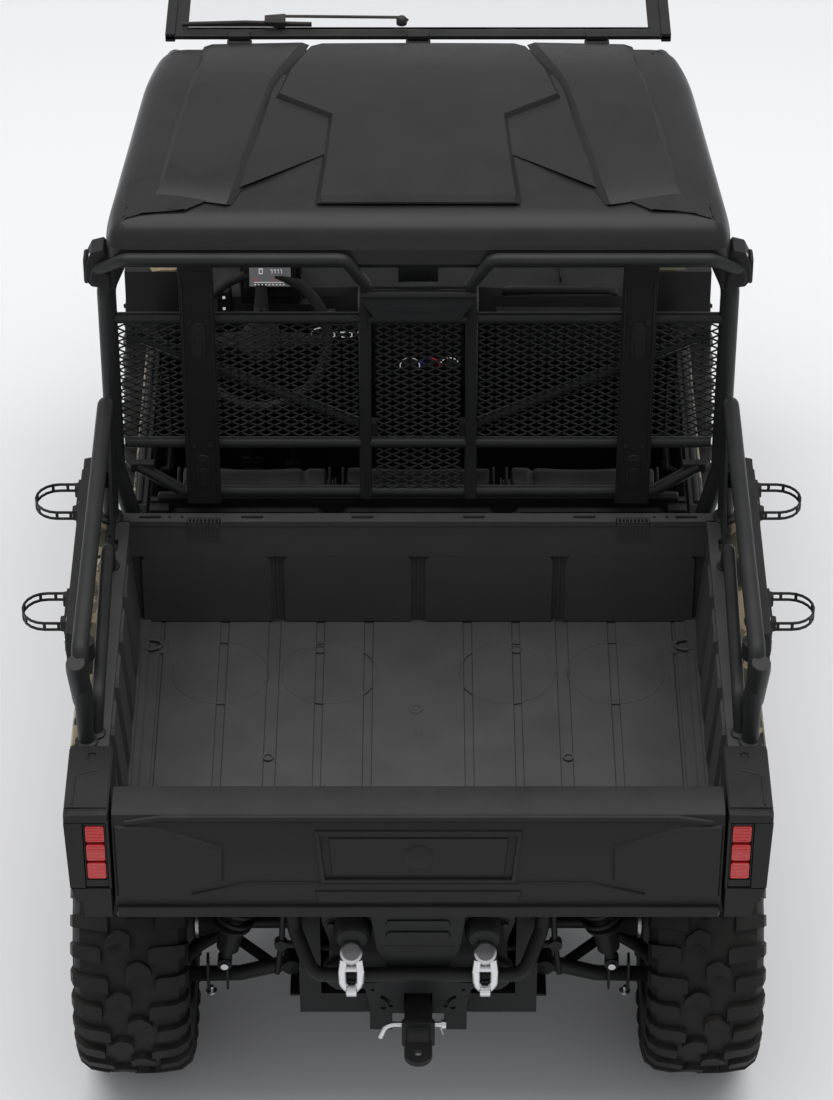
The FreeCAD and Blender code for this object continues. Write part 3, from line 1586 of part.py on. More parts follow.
def front_fascia():
    """The fascia below the hood, with its grille opening."""
    top = L.hood_front_z - L.hood_skin - L.moving_gap
    thick = L.fascia_thick
    half = L.fender_inner - L.fit_gap
    foot = L.nose_y + L.fascia_lean + L.fascia_foot
    shell = prism("YZ", [
        (L.nose_y + L.fascia_lean / 2, top),
        (L.nose_y, L.fascia_knee),
        (L.nose_y + L.fascia_lean, L.fascia_low),
        (foot, L.fascia_low),
        (L.nose_y + thick, L.fascia_knee),
        (L.nose_y + thick, top),
    ], -half, half)
    slots = [box((-L.grille_half, L.grille_half), (L.nose_y - OVERRUN, foot + OVERRUN),
                 run(L.grille_low + L.grille_pitch * index, L.grille_slot))
             for index in range(int(L.grille_slots.value))]
    return cut(shell, *slots)


node("front_fascia", front_fascia())


def front_fender():
    """A fender over a front wheel, open below, with its inner flank to the hood."""
    skin = L.fender_skin
    under = L.fender_under
    crown = L.fender_crown
    foot = L.fender_bottom - L.fender_skirt
    rear = L.cab_front - L.fender_tail_gap
    outer = prism("YZ", [
        (L.nose_y, foot),
        (L.nose_y, L.fender_nose_z),
        (L.nose_y + L.fender_nose_run, crown - L.fender_brow),
        (FRONT_AXLE - L.fender_arch, crown + L.fender_brow),
        (L.cab_front - L.fender_tail, COWL),
        (rear, COWL),
        (rear, L.fender_bottom - under),
        (rear - skin, L.fender_bottom - under),
        (rear - skin * 2, L.fender_bottom + skin * 2),
        (L.cab_front - L.fender_tail - skin * 2, crown - skin - under * 2),
        (FRONT_AXLE - L.fender_arch + skin, crown - skin - under),
        (L.nose_y + L.fender_nose_run + skin, L.fender_nose_z),
        (L.nose_y + skin, L.fender_nose_z - under),
        (L.nose_y + skin, foot),
    ], L.fender_inner, L.fender_outer)
    lamp = box((L.head_lamp_inner, L.head_lamp_outer),
               (L.nose_y - OVERRUN, L.nose_y + L.head_lamp_depth),
               (L.head_lamp_low, L.head_lamp_high))
    return cut(outer, lamp, cage_tubes)


node("front_fenders", pair(front_fender()))
node("headlamps", pair(box(
    (L.head_lamp_inner + L.fit_gap, L.head_lamp_outer - L.fit_gap),
    (L.nose_y - L.lamp_inset, L.nose_y + L.head_lamp_depth - L.fit_gap),
    (L.head_lamp_low + L.fit_gap, L.head_lamp_high - L.fit_gap))))


def front_bumper():
    """A tube loop ahead of the nose, with its foot plate and skid bar."""
    tube_y = L.bumper_front + L.bumper_tube_radius
    foot_y = L.frame_nose - L.bumper_step
    flare = RAIL_OUT + L.bumper_flare
    loop = bent_tube([
        (L.rail_place, foot_y, L.bumper_foot),
        (L.rail_place, tube_y, L.bumper_knee),
        (flare, tube_y, L.bumper_top),
        (-flare, tube_y, L.bumper_top),
        (-L.rail_place, tube_y, L.bumper_knee),
        (-L.rail_place, foot_y, L.bumper_foot),
    ], L.bumper_tube_radius, L.bumper_bend)
    wide = (-RAIL_OUT, RAIL_OUT)
    foot = box(wide, run(foot_y, L.bumper_step), (L.frame_bottom, FRAME_TOP))
    bar = box(wide, run(tube_y - L.bumper_bar_thick / 2, L.bumper_bar_thick),
              (L.bumper_bar_low, L.bumper_bar_high))
    return fuse(loop, foot, bar)


node("front_bumper", front_bumper())
BUMPER_Y = L.hitch_plate_y + L.rear_bumper_back


def rear_bumper():
    """The tube behind the tail, bent up to its feet on the frame."""
    head_y = L.frame_tail - L.rear_bumper_ahead
    knee_y = L.frame_tail + L.rear_bumper_back
    tube = bent_tube([
        (L.rear_bumper_out, head_y, L.rear_bumper_top),
        (L.rear_bumper_knee_x, knee_y, L.rear_bumper_knee_z),
        (L.rear_bumper_half, BUMPER_Y, L.rear_bumper_z),
        (-L.rear_bumper_half, BUMPER_Y, L.rear_bumper_z),
        (-L.rear_bumper_knee_x, knee_y, L.rear_bumper_knee_z),
        (-L.rear_bumper_out, head_y, L.rear_bumper_top),
    ], L.rear_bumper_radius, L.rear_bumper_bend)
    foot = box((RAIL_OUT, L.rear_bumper_out),
               run(L.frame_tail - L.bumper_foot_depth - OVERRUN, L.bumper_foot_depth),
               (L.bumper_foot_low, L.bumper_foot_high))
    return cut(fuse(tube, pair(foot)), frame)


node("rear_bumper", rear_bumper())
PIN_Y = L.hitch_plate_y + L.hitch_pin_back
PIN_Z = L.drawbar_z - L.hitch_pin_drop
RECEIVER_END = L.hitch_plate_y + L.receiver_length
pin_bore = cylinder("x", (-L.hitch_pin_half, PIN_Y, PIN_Z), L.hitch_pin_radius + L.pin_gap,
                    L.hitch_pin_half * 2)


def tail_bracket():
    """The bracket behind the frame that carries the receiver."""
    plate_y = (L.hitch_plate_y - L.hitch_plate_thick, L.hitch_plate_y)
    cover = prism("XZ", mirror_profile([
        (L.cover_low_half, L.cover_low),
        (L.cover_half, L.cover_high),
    ]), *plate_y)
    plate = prism("XZ", mirror_profile([
        (L.hitch_plate_low_half, L.drawbar_z - L.hitch_plate_drop),
        (L.hitch_plate_half, L.hitch_plate_top),
    ]), *plate_y)
    case = box((-L.tail_case_half, L.tail_case_half), (L.frame_tail, plate_y[0]),
               (FRAME_TOP + L.tail_case_rise, L.cover_high))
    spine = box((-L.tail_spine_half, L.tail_spine_half), (L.frame_tail, L.hitch_plate_y),
                (L.frame_bottom, L.tail_spine_top))
    receiver = box((-L.receiver_half, L.receiver_half), (L.hitch_plate_y, RECEIVER_END),
                   (L.drawbar_z - L.receiver_low, L.drawbar_z + L.receiver_high))
    socket = box((-L.drawbar_shank, L.drawbar_shank),
                 (L.frame_tail + L.moving_gap, RECEIVER_END + OVERRUN),
                 (L.drawbar_z - L.drawbar_shank, L.drawbar_z + L.shank_rise))
    return cut(fuse(cover, plate, case, spine, receiver), socket, pin_bore)


node("tail_bracket", tail_bracket())


def drawbar():
    """The ball mount: a shank in the receiver and a flat tongue with its ball hole."""
    gap = L.pin_gap
    half = L.drawbar_shank - gap
    tip = L.drawbar_tip
    low = L.drawbar_z - L.drawbar_thick / 2
    high = low + L.drawbar_thick
    tongue_y = L.hitch_plate_y + L.tongue_start
    shank = box((-half, half), (L.frame_tail + L.shank_start, tongue_y + L.drawbar_thick),
                (L.drawbar_z - half, L.drawbar_z + L.shank_rise - gap))
    tongue = box((-L.drawbar_half, L.drawbar_half), (tongue_y, tip - L.drawbar_half), (low, high))
    nose = cylinder("z", (0, tip - L.drawbar_half, low), L.drawbar_half, L.drawbar_thick)
    hole = cylinder("z", (0, tip - L.hitch_hole_inset, low - L.tongue_room), L.hitch_hole_radius,
                    L.tongue_room * 2)
    wide = (-L.drawbar_half - OVERRUN, L.drawbar_half + OVERRUN)
    room_y = (RECEIVER_END + OVERRUN, tip)
    above = box(wide, room_y, run(high, L.tongue_room))
    below = box(wide, room_y, (low - L.tongue_room, low))
    return cut(fuse(shank, tongue, nose), hole, above, below, pin_bore)


hitch_pin = fuse(
    cylinder("x", (-L.hitch_pin_half, PIN_Y, PIN_Z), L.hitch_pin_radius, L.hitch_pin_half * 2),
    cylinder("x", (-L.hitch_pin_half - L.hitch_pin_head_length, PIN_Y, PIN_Z),
             L.hitch_pin_head, L.hitch_pin_head_length),
)
node("drawbar", fuse(drawbar(), hitch_pin))


def tow_shackle():
    """A shackle on the rear bumper tube, with its eye above the tube."""
    start = L.shackle_place - L.shackle_width / 2
    eye_y = BUMPER_Y - L.shackle_thick / 2
    eye_z = L.rear_bumper_z + L.shackle_rise
    collar = cylinder("x", (start, BUMPER_Y, L.rear_bumper_z), L.shackle_collar, L.shackle_width)
    eye = cylinder("y", (L.shackle_place, eye_y, eye_z), L.shackle_eye, L.shackle_thick)
    hole = cylinder("y", (L.shackle_place, eye_y - OVERRUN, eye_z), L.shackle_hole,
                    L.shackle_thick + OVERRUN * 2)
    bore = cylinder("x", (start - L.shackle_eye, BUMPER_Y, L.rear_bumper_z),
                    L.rear_bumper_radius + L.pin_gap, L.shackle_width + L.shackle_eye * 2)
    return cut(fuse(collar, eye), hole, bore)


node("tow_shackles", pair(tow_shackle()))

BED_REAR_FLOOR = L.tailgate_inner - L.moving_gap
BED_WALL_FACE = L.bed_front + L.bed_wall


def bed_hinge_ear():
    """The plate below the bed that turns on the frame's hinge pin."""
    inner = RAIL_OUT + L.moving_gap
    radius = L.hinge_plate_radius
    ear = fuse(
        box(run(inner, L.hinge_plate), (L.bed_hinge_y - radius, L.bed_hinge_y + radius),
            (L.bed_hinge_z, BED_BOTTOM)),
        cylinder("x", (inner, L.bed_hinge_y, L.bed_hinge_z), radius, L.hinge_plate),
    )
    return cut(ear, cylinder("x", (inner - OVERRUN, L.bed_hinge_y, L.bed_hinge_z),
                             L.hinge_pin_radius + L.pin_gap, L.hinge_plate + OVERRUN * 2))


def tie_ring(place):
    """A tie-down ring sunk slightly into the bed's floor."""
    ring = doc.addObject("Part::Torus", "ring")
    ring.setExpression("Radius1", L.tie_ring_radius.text)
    ring.setExpression("Radius2", L.tie_ring_wire.text)
    bind_place(ring, (L.tie_ring_place, place, L.bed_floor + L.tie_ring_wire - L.pin_gap * 2))
    return ring


def cargo_tub():
    """Cargo bed: grooved floor, panelled front wall and two side walls with pads."""
    floor = box((-L.bed_half, L.bed_half), (L.bed_front, BED_REAR_FLOOR), (BED_BOTTOM, L.bed_floor))
    front = box((-L.bed_half, L.bed_half), (L.bed_front, BED_WALL_FACE - L.panel_depth),
                (L.bed_floor, L.bed_top))
    wall = prism("XZ", [
        (L.bed_inner_half_low, L.bed_floor),
        (L.bed_half, L.bed_floor),
        (L.bed_half, L.bed_top),
        (L.bed_inner_half_top, L.bed_top),
    ], BED_WALL_FACE - L.panel_depth, L.bed_side_end)
    pads = []
    for index in range(4):
        low = L.bed_front + L.pad_first + L.pad_pitch * index
        pads.append(prism("XZ", [
            (L.bed_inner_half_low - L.pad_depth, L.bed_floor + L.pad_rise),
            (L.bed_inner_half_low + L.pad_depth, L.bed_floor + L.pad_rise),
            (L.bed_inner_half_top + L.pad_depth, L.bed_top - L.pad_fall),
            (L.bed_inner_half_top - L.pad_depth, L.bed_top - L.pad_fall),
        ], low, low + L.pad_length))
    panels = [box((low + L.panel_gap_half, low + L.panel_pitch - L.panel_gap_half),
                  (BED_WALL_FACE - L.panel_depth, BED_WALL_FACE), (L.bed_floor, L.panel_top))
              for low in (as_size(0), L.panel_pitch)]
    grooves = []
    for index in range(4):
        middle = L.groove_first + L.groove_pitch * index
        grooves.append(box((middle - L.groove_width / 2, middle + L.groove_width / 2),
                           (L.groove_start, BED_REAR_FLOOR + OVERRUN),
                           (L.bed_floor - L.groove_depth, L.bed_floor + OVERRUN)))
    rings = [tie_ring(L.bed_front + L.tie_ring_front), tie_ring(BED_REAR_FLOOR - L.tie_ring_rear)]
    side = fuse(wall, bed_hinge_ear(), *(pads + panels + rings))
    return fuse(cut(floor, pair(fuse(*grooves))), front, pair(side))


node("cargo_tub", cargo_tub())


def corner_post():
    """The bed's rear corner with its lamp pocket and the tailgate's hinge pin."""
    post = prism("XZ", [
        (L.post_inner, L.tailgate_bottom),
        (L.bed_half, L.tailgate_bottom),
        (L.bed_half + L.post_step, L.fender_low),
        (L.post_outer_low, L.fender_low),
        (L.post_outer_top, L.bed_top),
        (L.post_outer_top - L.post_shoulder, L.post_top),
        (L.post_inner, L.post_top),
    ], L.bed_side_end + L.fit_gap, L.tail_face)
    pocket = box((L.lamp_inner, L.lamp_outer), (L.tail_face - L.lamp_depth, L.tail_face + OVERRUN),
                 (L.lamp_low, L.lamp_high))
    length = L.tailgate_pin_length
    pin = cylinder("x", (L.post_inner - length, L.tailgate_hinge_y, L.tailgate_hinge_z),
                   L.tailgate_pin_radius, length)
    return fuse(cut(post, pocket), pin)


node("bed_corner_posts", pair(corner_post()))
node("tail_lamps", pair(box(
    (L.lamp_inner + L.fit_gap, L.lamp_outer - L.fit_gap),
    (L.tail_face - L.lamp_depth + L.fit_gap, L.tail_face - L.lamp_inset),
    (L.lamp_low + L.fit_gap, L.lamp_high - L.fit_gap))))


def side_panel():
    """The outer side of the bed, arched over the rear wheel."""
    arch = prism("YZ", [
        (L.bed_front, L.panel_front_low),
        (L.bed_front + L.panel_foot, L.panel_front_low),
        (L.bed_front + L.panel_knee, L.panel_knee_z),
        (L.bed_front + L.panel_hip, L.panel_hip_z),
        (L.bed_front + L.panel_arch_end, L.fender_low),
        (L.bed_side_end, L.fender_low),
        (L.bed_side_end, L.bed_top),
        (L.bed_front, L.bed_top),
    ], L.bed_half + L.fit_gap, L.post_outer_top)
    far = L.post_outer_top + OVERRUN
    slope = prism("XZ", [
        (L.post_outer_top, L.bed_top),
        (L.post_outer_low, L.fender_low),
        (L.post_outer_low, L.panel_front_low - OVERRUN),
        (far, L.panel_front_low - OVERRUN),
        (far, L.bed_top + OVERRUN),
    ], L.bed_front - OVERRUN, L.bed_side_end + OVERRUN)
    return cut(arch, slope)


node("bed_side_panels", pair(side_panel()))


def bed_rail():
    """The tube rail over the side of the bed, with its inner grab tube and front plate."""
    front = L.bed_front + L.rail_front_inset
    foot = L.bed_top - L.rail_sink
    rail = bent_tube([
        (L.rail_front_x, front, foot),
        (L.rail_front_x, front, L.bed_top + L.rail_front_top),
        (L.rail_rear_x, L.bed_side_end - L.rail_rear_knee, L.bed_top + L.rail_rear_top),
        (L.rail_rear_x, L.bed_side_end - L.rail_rear_inset, foot),
    ], L.rail_tube_radius, L.rail_tube_bend)
    grab_foot = L.bed_front + L.grab_front
    grab_end = L.bed_front + L.grab_rear
    grab = bent_tube([
        (L.grab_x, grab_foot, foot),
        (L.grab_x, grab_foot + L.grab_slope, L.bed_top + L.grab_rise),
        (L.grab_x, grab_end - L.grab_slope / 2, L.bed_top + L.grab_rear_rise),
        (L.grab_x, grab_end, foot),
    ], L.grab_radius, L.grab_bend)
    edge = L.bed_front + L.rail_plate_edge
    top = L.bed_top + L.rail_front_top - OVERRUN
    plate = prism("YZ", [
        (edge, L.bed_top),
        (L.bed_front + L.rail_plate_foot, L.bed_top),
        (L.bed_front + L.rail_plate_head, top),
        (edge, top),
    ], L.rail_plate_in, L.rail_plate_in + L.rail_plate_thick)
    below = box((L.post_inner, L.rack_in), (L.bed_front - OVERRUN, L.tail_face),
                (L.bed_top - L.rail_sink * 2, L.bed_top))
    return cut(fuse(rail, grab, plate), below)


side_rails = node("bed_side_rails", pair(bed_rail()))


def strap_loop(place):
    """A loop that stands out from the rack's channel."""
    inner_half = L.loop_half - L.loop_wall
    low = L.bed_top + L.loop_low
    high = L.bed_top + L.loop_high
    arms = run(L.rack_in + L.rack_thick, L.loop_straight)
    outer = fuse(box(arms, (place - L.loop_half, place + L.loop_half), (low, high)),
                 cylinder("z", (arms[1], place, low), L.loop_half, high - low))
    inner = fuse(box(arms, (place - inner_half, place + inner_half),
                     (low - OVERRUN, high + OVERRUN)),
                 cylinder("z", (arms[1], place, low - OVERRUN), inner_half,
                          high - low + OVERRUN * 2))
    return cut(outer, inner)


def tool_rack():
    """The channel outside a side rail with its two strap loops."""
    front = L.bed_front + L.rack_front
    rear = L.bed_front + L.rack_rear
    channel = prism("YZ", [
        (front, L.bed_top + L.rack_low),
        (rear - L.rack_slope, L.bed_top + L.rack_low),
        (rear, L.bed_top + L.rack_rear_rise),
        (rear - L.rack_slope, L.bed_top + L.rack_high),
        (front + L.rack_slope, L.bed_top + L.rack_high),
        (front, L.bed_top + L.rack_shoulder),
    ], L.rack_in, L.rack_in + L.rack_thick)
    braces = [box((L.rack_brace_in, L.rack_in), run(place, L.rack_brace),
                  (L.bed_top + L.rack_brace_low, L.bed_top + L.rack_brace_high))
              for place in (L.bed_front + L.rail_front_inset, rear - L.rack_brace * 2)]
    first = L.bed_front + L.loop_first
    return fuse(channel, strap_loop(first), strap_loop(first + L.loop_pitch), *braces)


node("tool_racks", cut(pair(tool_rack()), side_rails))


def tailgate():
    """The tailgate with its raised wedges and lip, handle recess and hinge sockets."""
    face = L.tail_face - L.tailgate_relief
    half = L.tailgate_half
    slab = prism("YZ", [
        (L.tailgate_inner, L.tailgate_bottom),
        (face, L.tailgate_bottom),
        (face, L.bed_top - L.tailgate_brow),
        (L.tail_face - L.tailgate_round, L.bed_top),
        (L.tailgate_inner, L.bed_top),
    ], -half, half)
    lip = box((-half, half), (face, L.tail_face), run(L.tailgate_bottom, L.tailgate_lip))
    wedge = prism("XZ", [
        (half, L.wedge_low),
        (half, L.wedge_high),
        (L.wedge_shoulder, L.wedge_high),
        (L.wedge_tip, L.wedge_tip_high),
        (L.wedge_tip, L.wedge_tip_low),
        (L.wedge_shoulder, L.wedge_low),
    ], face, L.tail_face)
    handle = prism("XZ", mirror_profile([
        (L.handle_low_half, L.handle_low),
        (L.handle_high_half, L.handle_high),
    ]), face - L.handle_depth, L.tail_face)
    start = half - L.tailgate_pin_length - L.moving_gap
    sockets = [cylinder("x", (place, L.tailgate_hinge_y, L.tailgate_hinge_z),
                        L.tailgate_pin_radius + L.pin_gap, L.tailgate_socket)
               for place in (-start - L.tailgate_socket, start)]
    return cut(fuse(slab, lip, pair(wedge)), handle, *sockets)


node("tailgate", tailgate())


def finish():
    """Check every object, then write each piece to its own file."""
    doc.recompute()
    for thing in doc.Objects:
        if "Invalid" in thing.State or "Error" in thing.State:
            raise RuntimeError("%s (%s) did not build" % (thing.Name, thing.Label))
    os.makedirs("parts", exist_ok=True)
    for piece in NODES:
        if piece.Shape.isNull() or not piece.Shape.isValid():
            raise RuntimeError("%s has no valid shape" % piece.Label)
        piece.Shape.exportStep("parts/%s.step" % piece.Label)
        print(piece.Label, len(piece.Shape.Solids), round(piece.Shape.Volume / 1e6, 2), "litres")
    print(len(NODES), "pieces")


finish()
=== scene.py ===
import json
import logging
import math
from dataclasses import dataclass
from enum import Enum
from typing import Iterable, Sequence

import bmesh
import bpy
from mathutils import Matrix, Vector


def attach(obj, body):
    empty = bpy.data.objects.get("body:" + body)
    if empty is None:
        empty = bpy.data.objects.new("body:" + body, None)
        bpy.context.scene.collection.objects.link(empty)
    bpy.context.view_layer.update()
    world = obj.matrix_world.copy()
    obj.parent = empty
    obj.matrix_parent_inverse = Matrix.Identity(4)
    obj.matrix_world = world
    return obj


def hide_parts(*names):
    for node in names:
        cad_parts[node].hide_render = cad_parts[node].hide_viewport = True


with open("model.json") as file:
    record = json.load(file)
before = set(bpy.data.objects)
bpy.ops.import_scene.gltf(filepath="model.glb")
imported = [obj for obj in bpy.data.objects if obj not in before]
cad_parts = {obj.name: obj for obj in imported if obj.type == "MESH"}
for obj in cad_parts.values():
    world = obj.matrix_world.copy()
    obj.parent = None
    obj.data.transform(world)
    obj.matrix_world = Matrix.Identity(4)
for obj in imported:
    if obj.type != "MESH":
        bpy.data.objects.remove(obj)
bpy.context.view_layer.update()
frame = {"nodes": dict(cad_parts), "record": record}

LOG = logging.getLogger("utility_vehicle")

Point = Sequence[float]


class Side(Enum):
    """The two sides of the vehicle, as seen by the driver."""

    LEFT = 1
    RIGHT = -1


class Graph:
    """A node tree with short calls for adding and joining nodes."""

    def __init__(self, tree: bpy.types.NodeTree) -> None:
        """Keep the tree.

        Args:
            tree: The node tree to build in.
        """
        self.tree = tree

    def add(self, kind: str, **inputs: object) -> bpy.types.Node:
        """Add a node and set or link its inputs.

        Args:
            kind: The node's type name without its prefix rules, such as ShaderNodeMath.
            **inputs: Input names, with spaces as underscores, and a value or a socket for each;
                a name that the node has as a property is set on the node.

        Returns:
            The new node.
        """
        node = self.tree.nodes.new(kind)
        for key, value in inputs.items():
            if key in node.bl_rna.properties:
                setattr(node, key, value)
        for key, value in inputs.items():
            if key not in node.bl_rna.properties:
                self.feed(node.inputs[key.replace("_", " ")], value)
        return node

    def feed(self, socket: bpy.types.NodeSocket, value: object) -> None:
        """Link a socket to an input, or set its value.

        Args:
            socket: The input socket.
            value: An output socket or a plain value.
        """
        if isinstance(value, bpy.types.NodeSocket):
            self.tree.links.new(value, socket)
        else:
            socket.default_value = value

    def math(self, operation: str, first: object, second: object = 0.0) -> bpy.types.NodeSocket:
        """Join two values with a Math node.

        Args:
            operation: The Math node's operation.
            first: The first value or socket.
            second: The second value or socket.

        Returns:
            The result's socket.
        """
        node = self.tree.nodes.new("ShaderNodeMath")
        node.operation = operation
        self.feed(node.inputs[0], first)
        self.feed(node.inputs[1], second)
        return node.outputs[0]

    def remap(self, value: object, low: float, high: float,
              to_low: float = 0.0, to_high: float = 1.0) -> bpy.types.NodeSocket:
        """Stretch a value from one range to another and clamp it.

        Args:
            value: The value's socket.
            low: Where the source range starts.
            high: Where it ends.
            to_low: The result at the start.
            to_high: The result at the end.

        Returns:
            The result's socket.
        """
        node = self.tree.nodes.new("ShaderNodeMapRange")
        for index, given in enumerate((value, low, high, to_low, to_high)):
            self.feed(node.inputs[index], given)
        return node.outputs[0]

    def blend(self, factor: object, first: object, second: object) -> bpy.types.NodeSocket:
        """Mix two colours.

        Args:
            factor: How much of the second colour shows.
            first: The first colour.
            second: The second colour.

        Returns:
            The mixed colour's socket.
        """
        node = self.tree.nodes.new("ShaderNodeMix")
        node.data_type = "RGBA"
        self.feed(node.inputs[0], factor)
        self.feed(node.inputs[6], first)
        self.feed(node.inputs[7], second)
        return node.outputs[2]


# Shader groups: effects that several finishes share.


def new_group(name: str, inputs: dict[str, float], outputs: Sequence[str]) -> tuple[
        bpy.types.NodeTree, Graph, bpy.types.Node, bpy.types.Node]:
    """Start a shader group that reads a place vector and named values.

    Args:
        name: The group's name.
        inputs: Names and standard values of its float inputs.
        outputs: Names of its float outputs.

    Returns:
        The tree, its graph, and its input and output nodes.
    """
    tree = bpy.data.node_groups.new(name, "ShaderNodeTree")
    tree.interface.new_socket("Place", in_out="INPUT", socket_type="NodeSocketVector")
    for key, value in inputs.items():
        socket = tree.interface.new_socket(key, in_out="INPUT", socket_type="NodeSocketFloat")
        socket.default_value = value
    for key in outputs:
        tree.interface.new_socket(key, in_out="OUTPUT", socket_type="NodeSocketFloat")
    graph = Graph(tree)
    return tree, graph, graph.add("NodeGroupInput"), graph.add("NodeGroupOutput")


def grain_group() -> bpy.types.NodeTree:
    """Build the moulded grain: a fine pebbled height and a slow change of gloss.

    Returns:
        The shader group.
    """
    tree, graph, given, result = new_group("moulded_grain", {"Scale": 900.0}, ("Height", "Gloss"))
    cells = graph.add("ShaderNodeTexVoronoi", Vector=given.outputs["Place"],
                      Scale=given.outputs["Scale"], feature="SMOOTH_F1")
    slow = graph.add("ShaderNodeTexNoise", Vector=given.outputs["Place"], Scale=6.0, Detail=4.0)
    graph.feed(result.inputs["Height"], cells.outputs["Distance"])
    graph.feed(result.inputs["Gloss"], slow.outputs["Fac"])
    return tree


def wear_group() -> bpy.types.NodeTree:
    """Build the wear mask: scattered scuffs and short scratches.

    Returns:
        The shader group.
    """
    tree, graph, given, result = new_group("scuff_wear", {"Amount": 0.3}, ("Mask",))
    place = given.outputs["Place"]
    patches = graph.add("ShaderNodeTexNoise", Vector=place, Scale=4.5, Detail=6.0, Roughness=0.65)
    stretched = graph.add("ShaderNodeMapping", Vector=place, Scale=(60.0, 9.0, 60.0),
                          Rotation=(0.3, 0.5, 0.7))
    scratches = graph.add("ShaderNodeTexNoise", Vector=stretched.outputs[0], Scale=3.0, Detail=3.0)
    broad = graph.remap(patches.outputs["Fac"], 0.52, 0.75)
    fine = graph.remap(scratches.outputs["Fac"], 0.62, 0.72)
    both = graph.math("MULTIPLY", broad, graph.math("ADD", fine, 0.25))
    graph.feed(result.inputs["Mask"], graph.math("MULTIPLY", both, given.outputs["Amount"]))
    return tree


def dust_group() -> bpy.types.NodeTree:
    """Build the dust mask: a thin film on faces that look up, broken by noise.

    Returns:
        The shader group.
    """
    tree, graph, given, result = new_group("road_dust", {"Amount": 0.2}, ("Mask",))
    facing = graph.add("ShaderNodeNewGeometry")
    split = graph.add("ShaderNodeSeparateXYZ", Vector=facing.outputs["Normal"])
    upward = graph.remap(split.outputs["Z"], 0.1, 1.0)
    cloud = graph.add("ShaderNodeTexNoise", Vector=given.outputs["Place"], Scale=11.0, Detail=8.0)
    broken = graph.remap(cloud.outputs["Fac"], 0.3, 0.8)
    mask = graph.math("MULTIPLY", upward, broken)
    graph.feed(result.inputs["Mask"], graph.math("MULTIPLY", mask, given.outputs["Amount"]))
    return tree


DUST_COLOUR = (0.22, 0.19, 0.16, 1.0)
GROUPS: dict[str, bpy.types.NodeTree] = {
    "grain": grain_group(), "wear": wear_group(), "dust": dust_group()}


@dataclass(frozen=True)
class Finish:
    """A surface finish: a base colour, its gloss, grain, wear and dust."""

    name: str
    slot: str
    colour: tuple[float, float, float]
    worn: tuple[float, float, float]
    roughness: float = 0.5
    metallic: float = 0.0
    grain_scale: float = 900.0
    grain_depth: float = 0.12
    wear: float = 0.3
    dust: float = 0.15
    coat: float = 0.0
    shine: float = 0.17

    def material(self) -> bpy.types.Material:
        """Return the finish's material, built on first use."""
        known = bpy.data.materials.get("look_" + self.name)
        return known if known else self.build()

    def start(self) -> tuple[bpy.types.Material, Graph, bpy.types.Node, bpy.types.NodeSocket]:
        """Start the finish's material.

        Returns:
            The material, its graph, its shader and its Object coordinates.
        """
        material = bpy.data.materials.new("look_" + self.name)
        material.use_nodes = True
        graph = Graph(material.node_tree)
        place = graph.add("ShaderNodeTexCoord").outputs["Object"]
        return material, graph, material.node_tree.nodes["Principled BSDF"], place

    def build(self) -> bpy.types.Material:
        """Build the node tree of the finish.

        Returns:
            The new material.
        """
        material, graph, shader, place = self.start()
        grain, wear, dust = (
            graph.add("ShaderNodeGroup", node_tree=GROUPS[effect], Place=place, **{key: value})
            for effect, key, value in (("grain", "Scale", self.grain_scale),
                                       ("wear", "Amount", self.wear),
                                       ("dust", "Amount", self.dust)))
        base = self.base_colour(graph, place, grain.outputs["Gloss"])
        scuffed = graph.blend(wear.outputs["Mask"], base, (*self.worn, 1.0))
        dusty = graph.blend(dust.outputs["Mask"], scuffed, DUST_COLOUR)
        graph.feed(shader.inputs["Base Color"], dusty)
        gloss = graph.remap(grain.outputs["Gloss"], 0.3, 0.7, self.roughness - 0.06,
                            self.roughness + 0.07)
        rough = graph.math("ADD", gloss, graph.math("MULTIPLY", dust.outputs["Mask"], 0.5))
        graph.feed(shader.inputs["Roughness"], rough)
        for key, value in (("Metallic", self.metallic), ("Coat Weight", self.coat),
                           ("Specular IOR Level", self.shine)):
            shader.inputs[key].default_value = value
        bump = graph.add("ShaderNodeBump", Height=grain.outputs["Height"],
                         Strength=self.grain_depth, Distance=0.0006)
        graph.feed(shader.inputs["Normal"], bump.outputs[0])
        return material

    def base_colour(self, graph: Graph, place: bpy.types.NodeSocket,
                    slow: bpy.types.NodeSocket) -> bpy.types.NodeSocket:
        """Vary the base colour a little over the surface.

        Args:
            graph: The material's graph.
            place: Object coordinates; not used here.
            slow: A slow noise value.

        Returns:
            The colour's socket.
        """
        light = tuple(min(1.0, channel * 1.25 + 0.002) for channel in self.colour)
        return graph.blend(slow, (*self.colour, 1.0), (*light, 1.0))


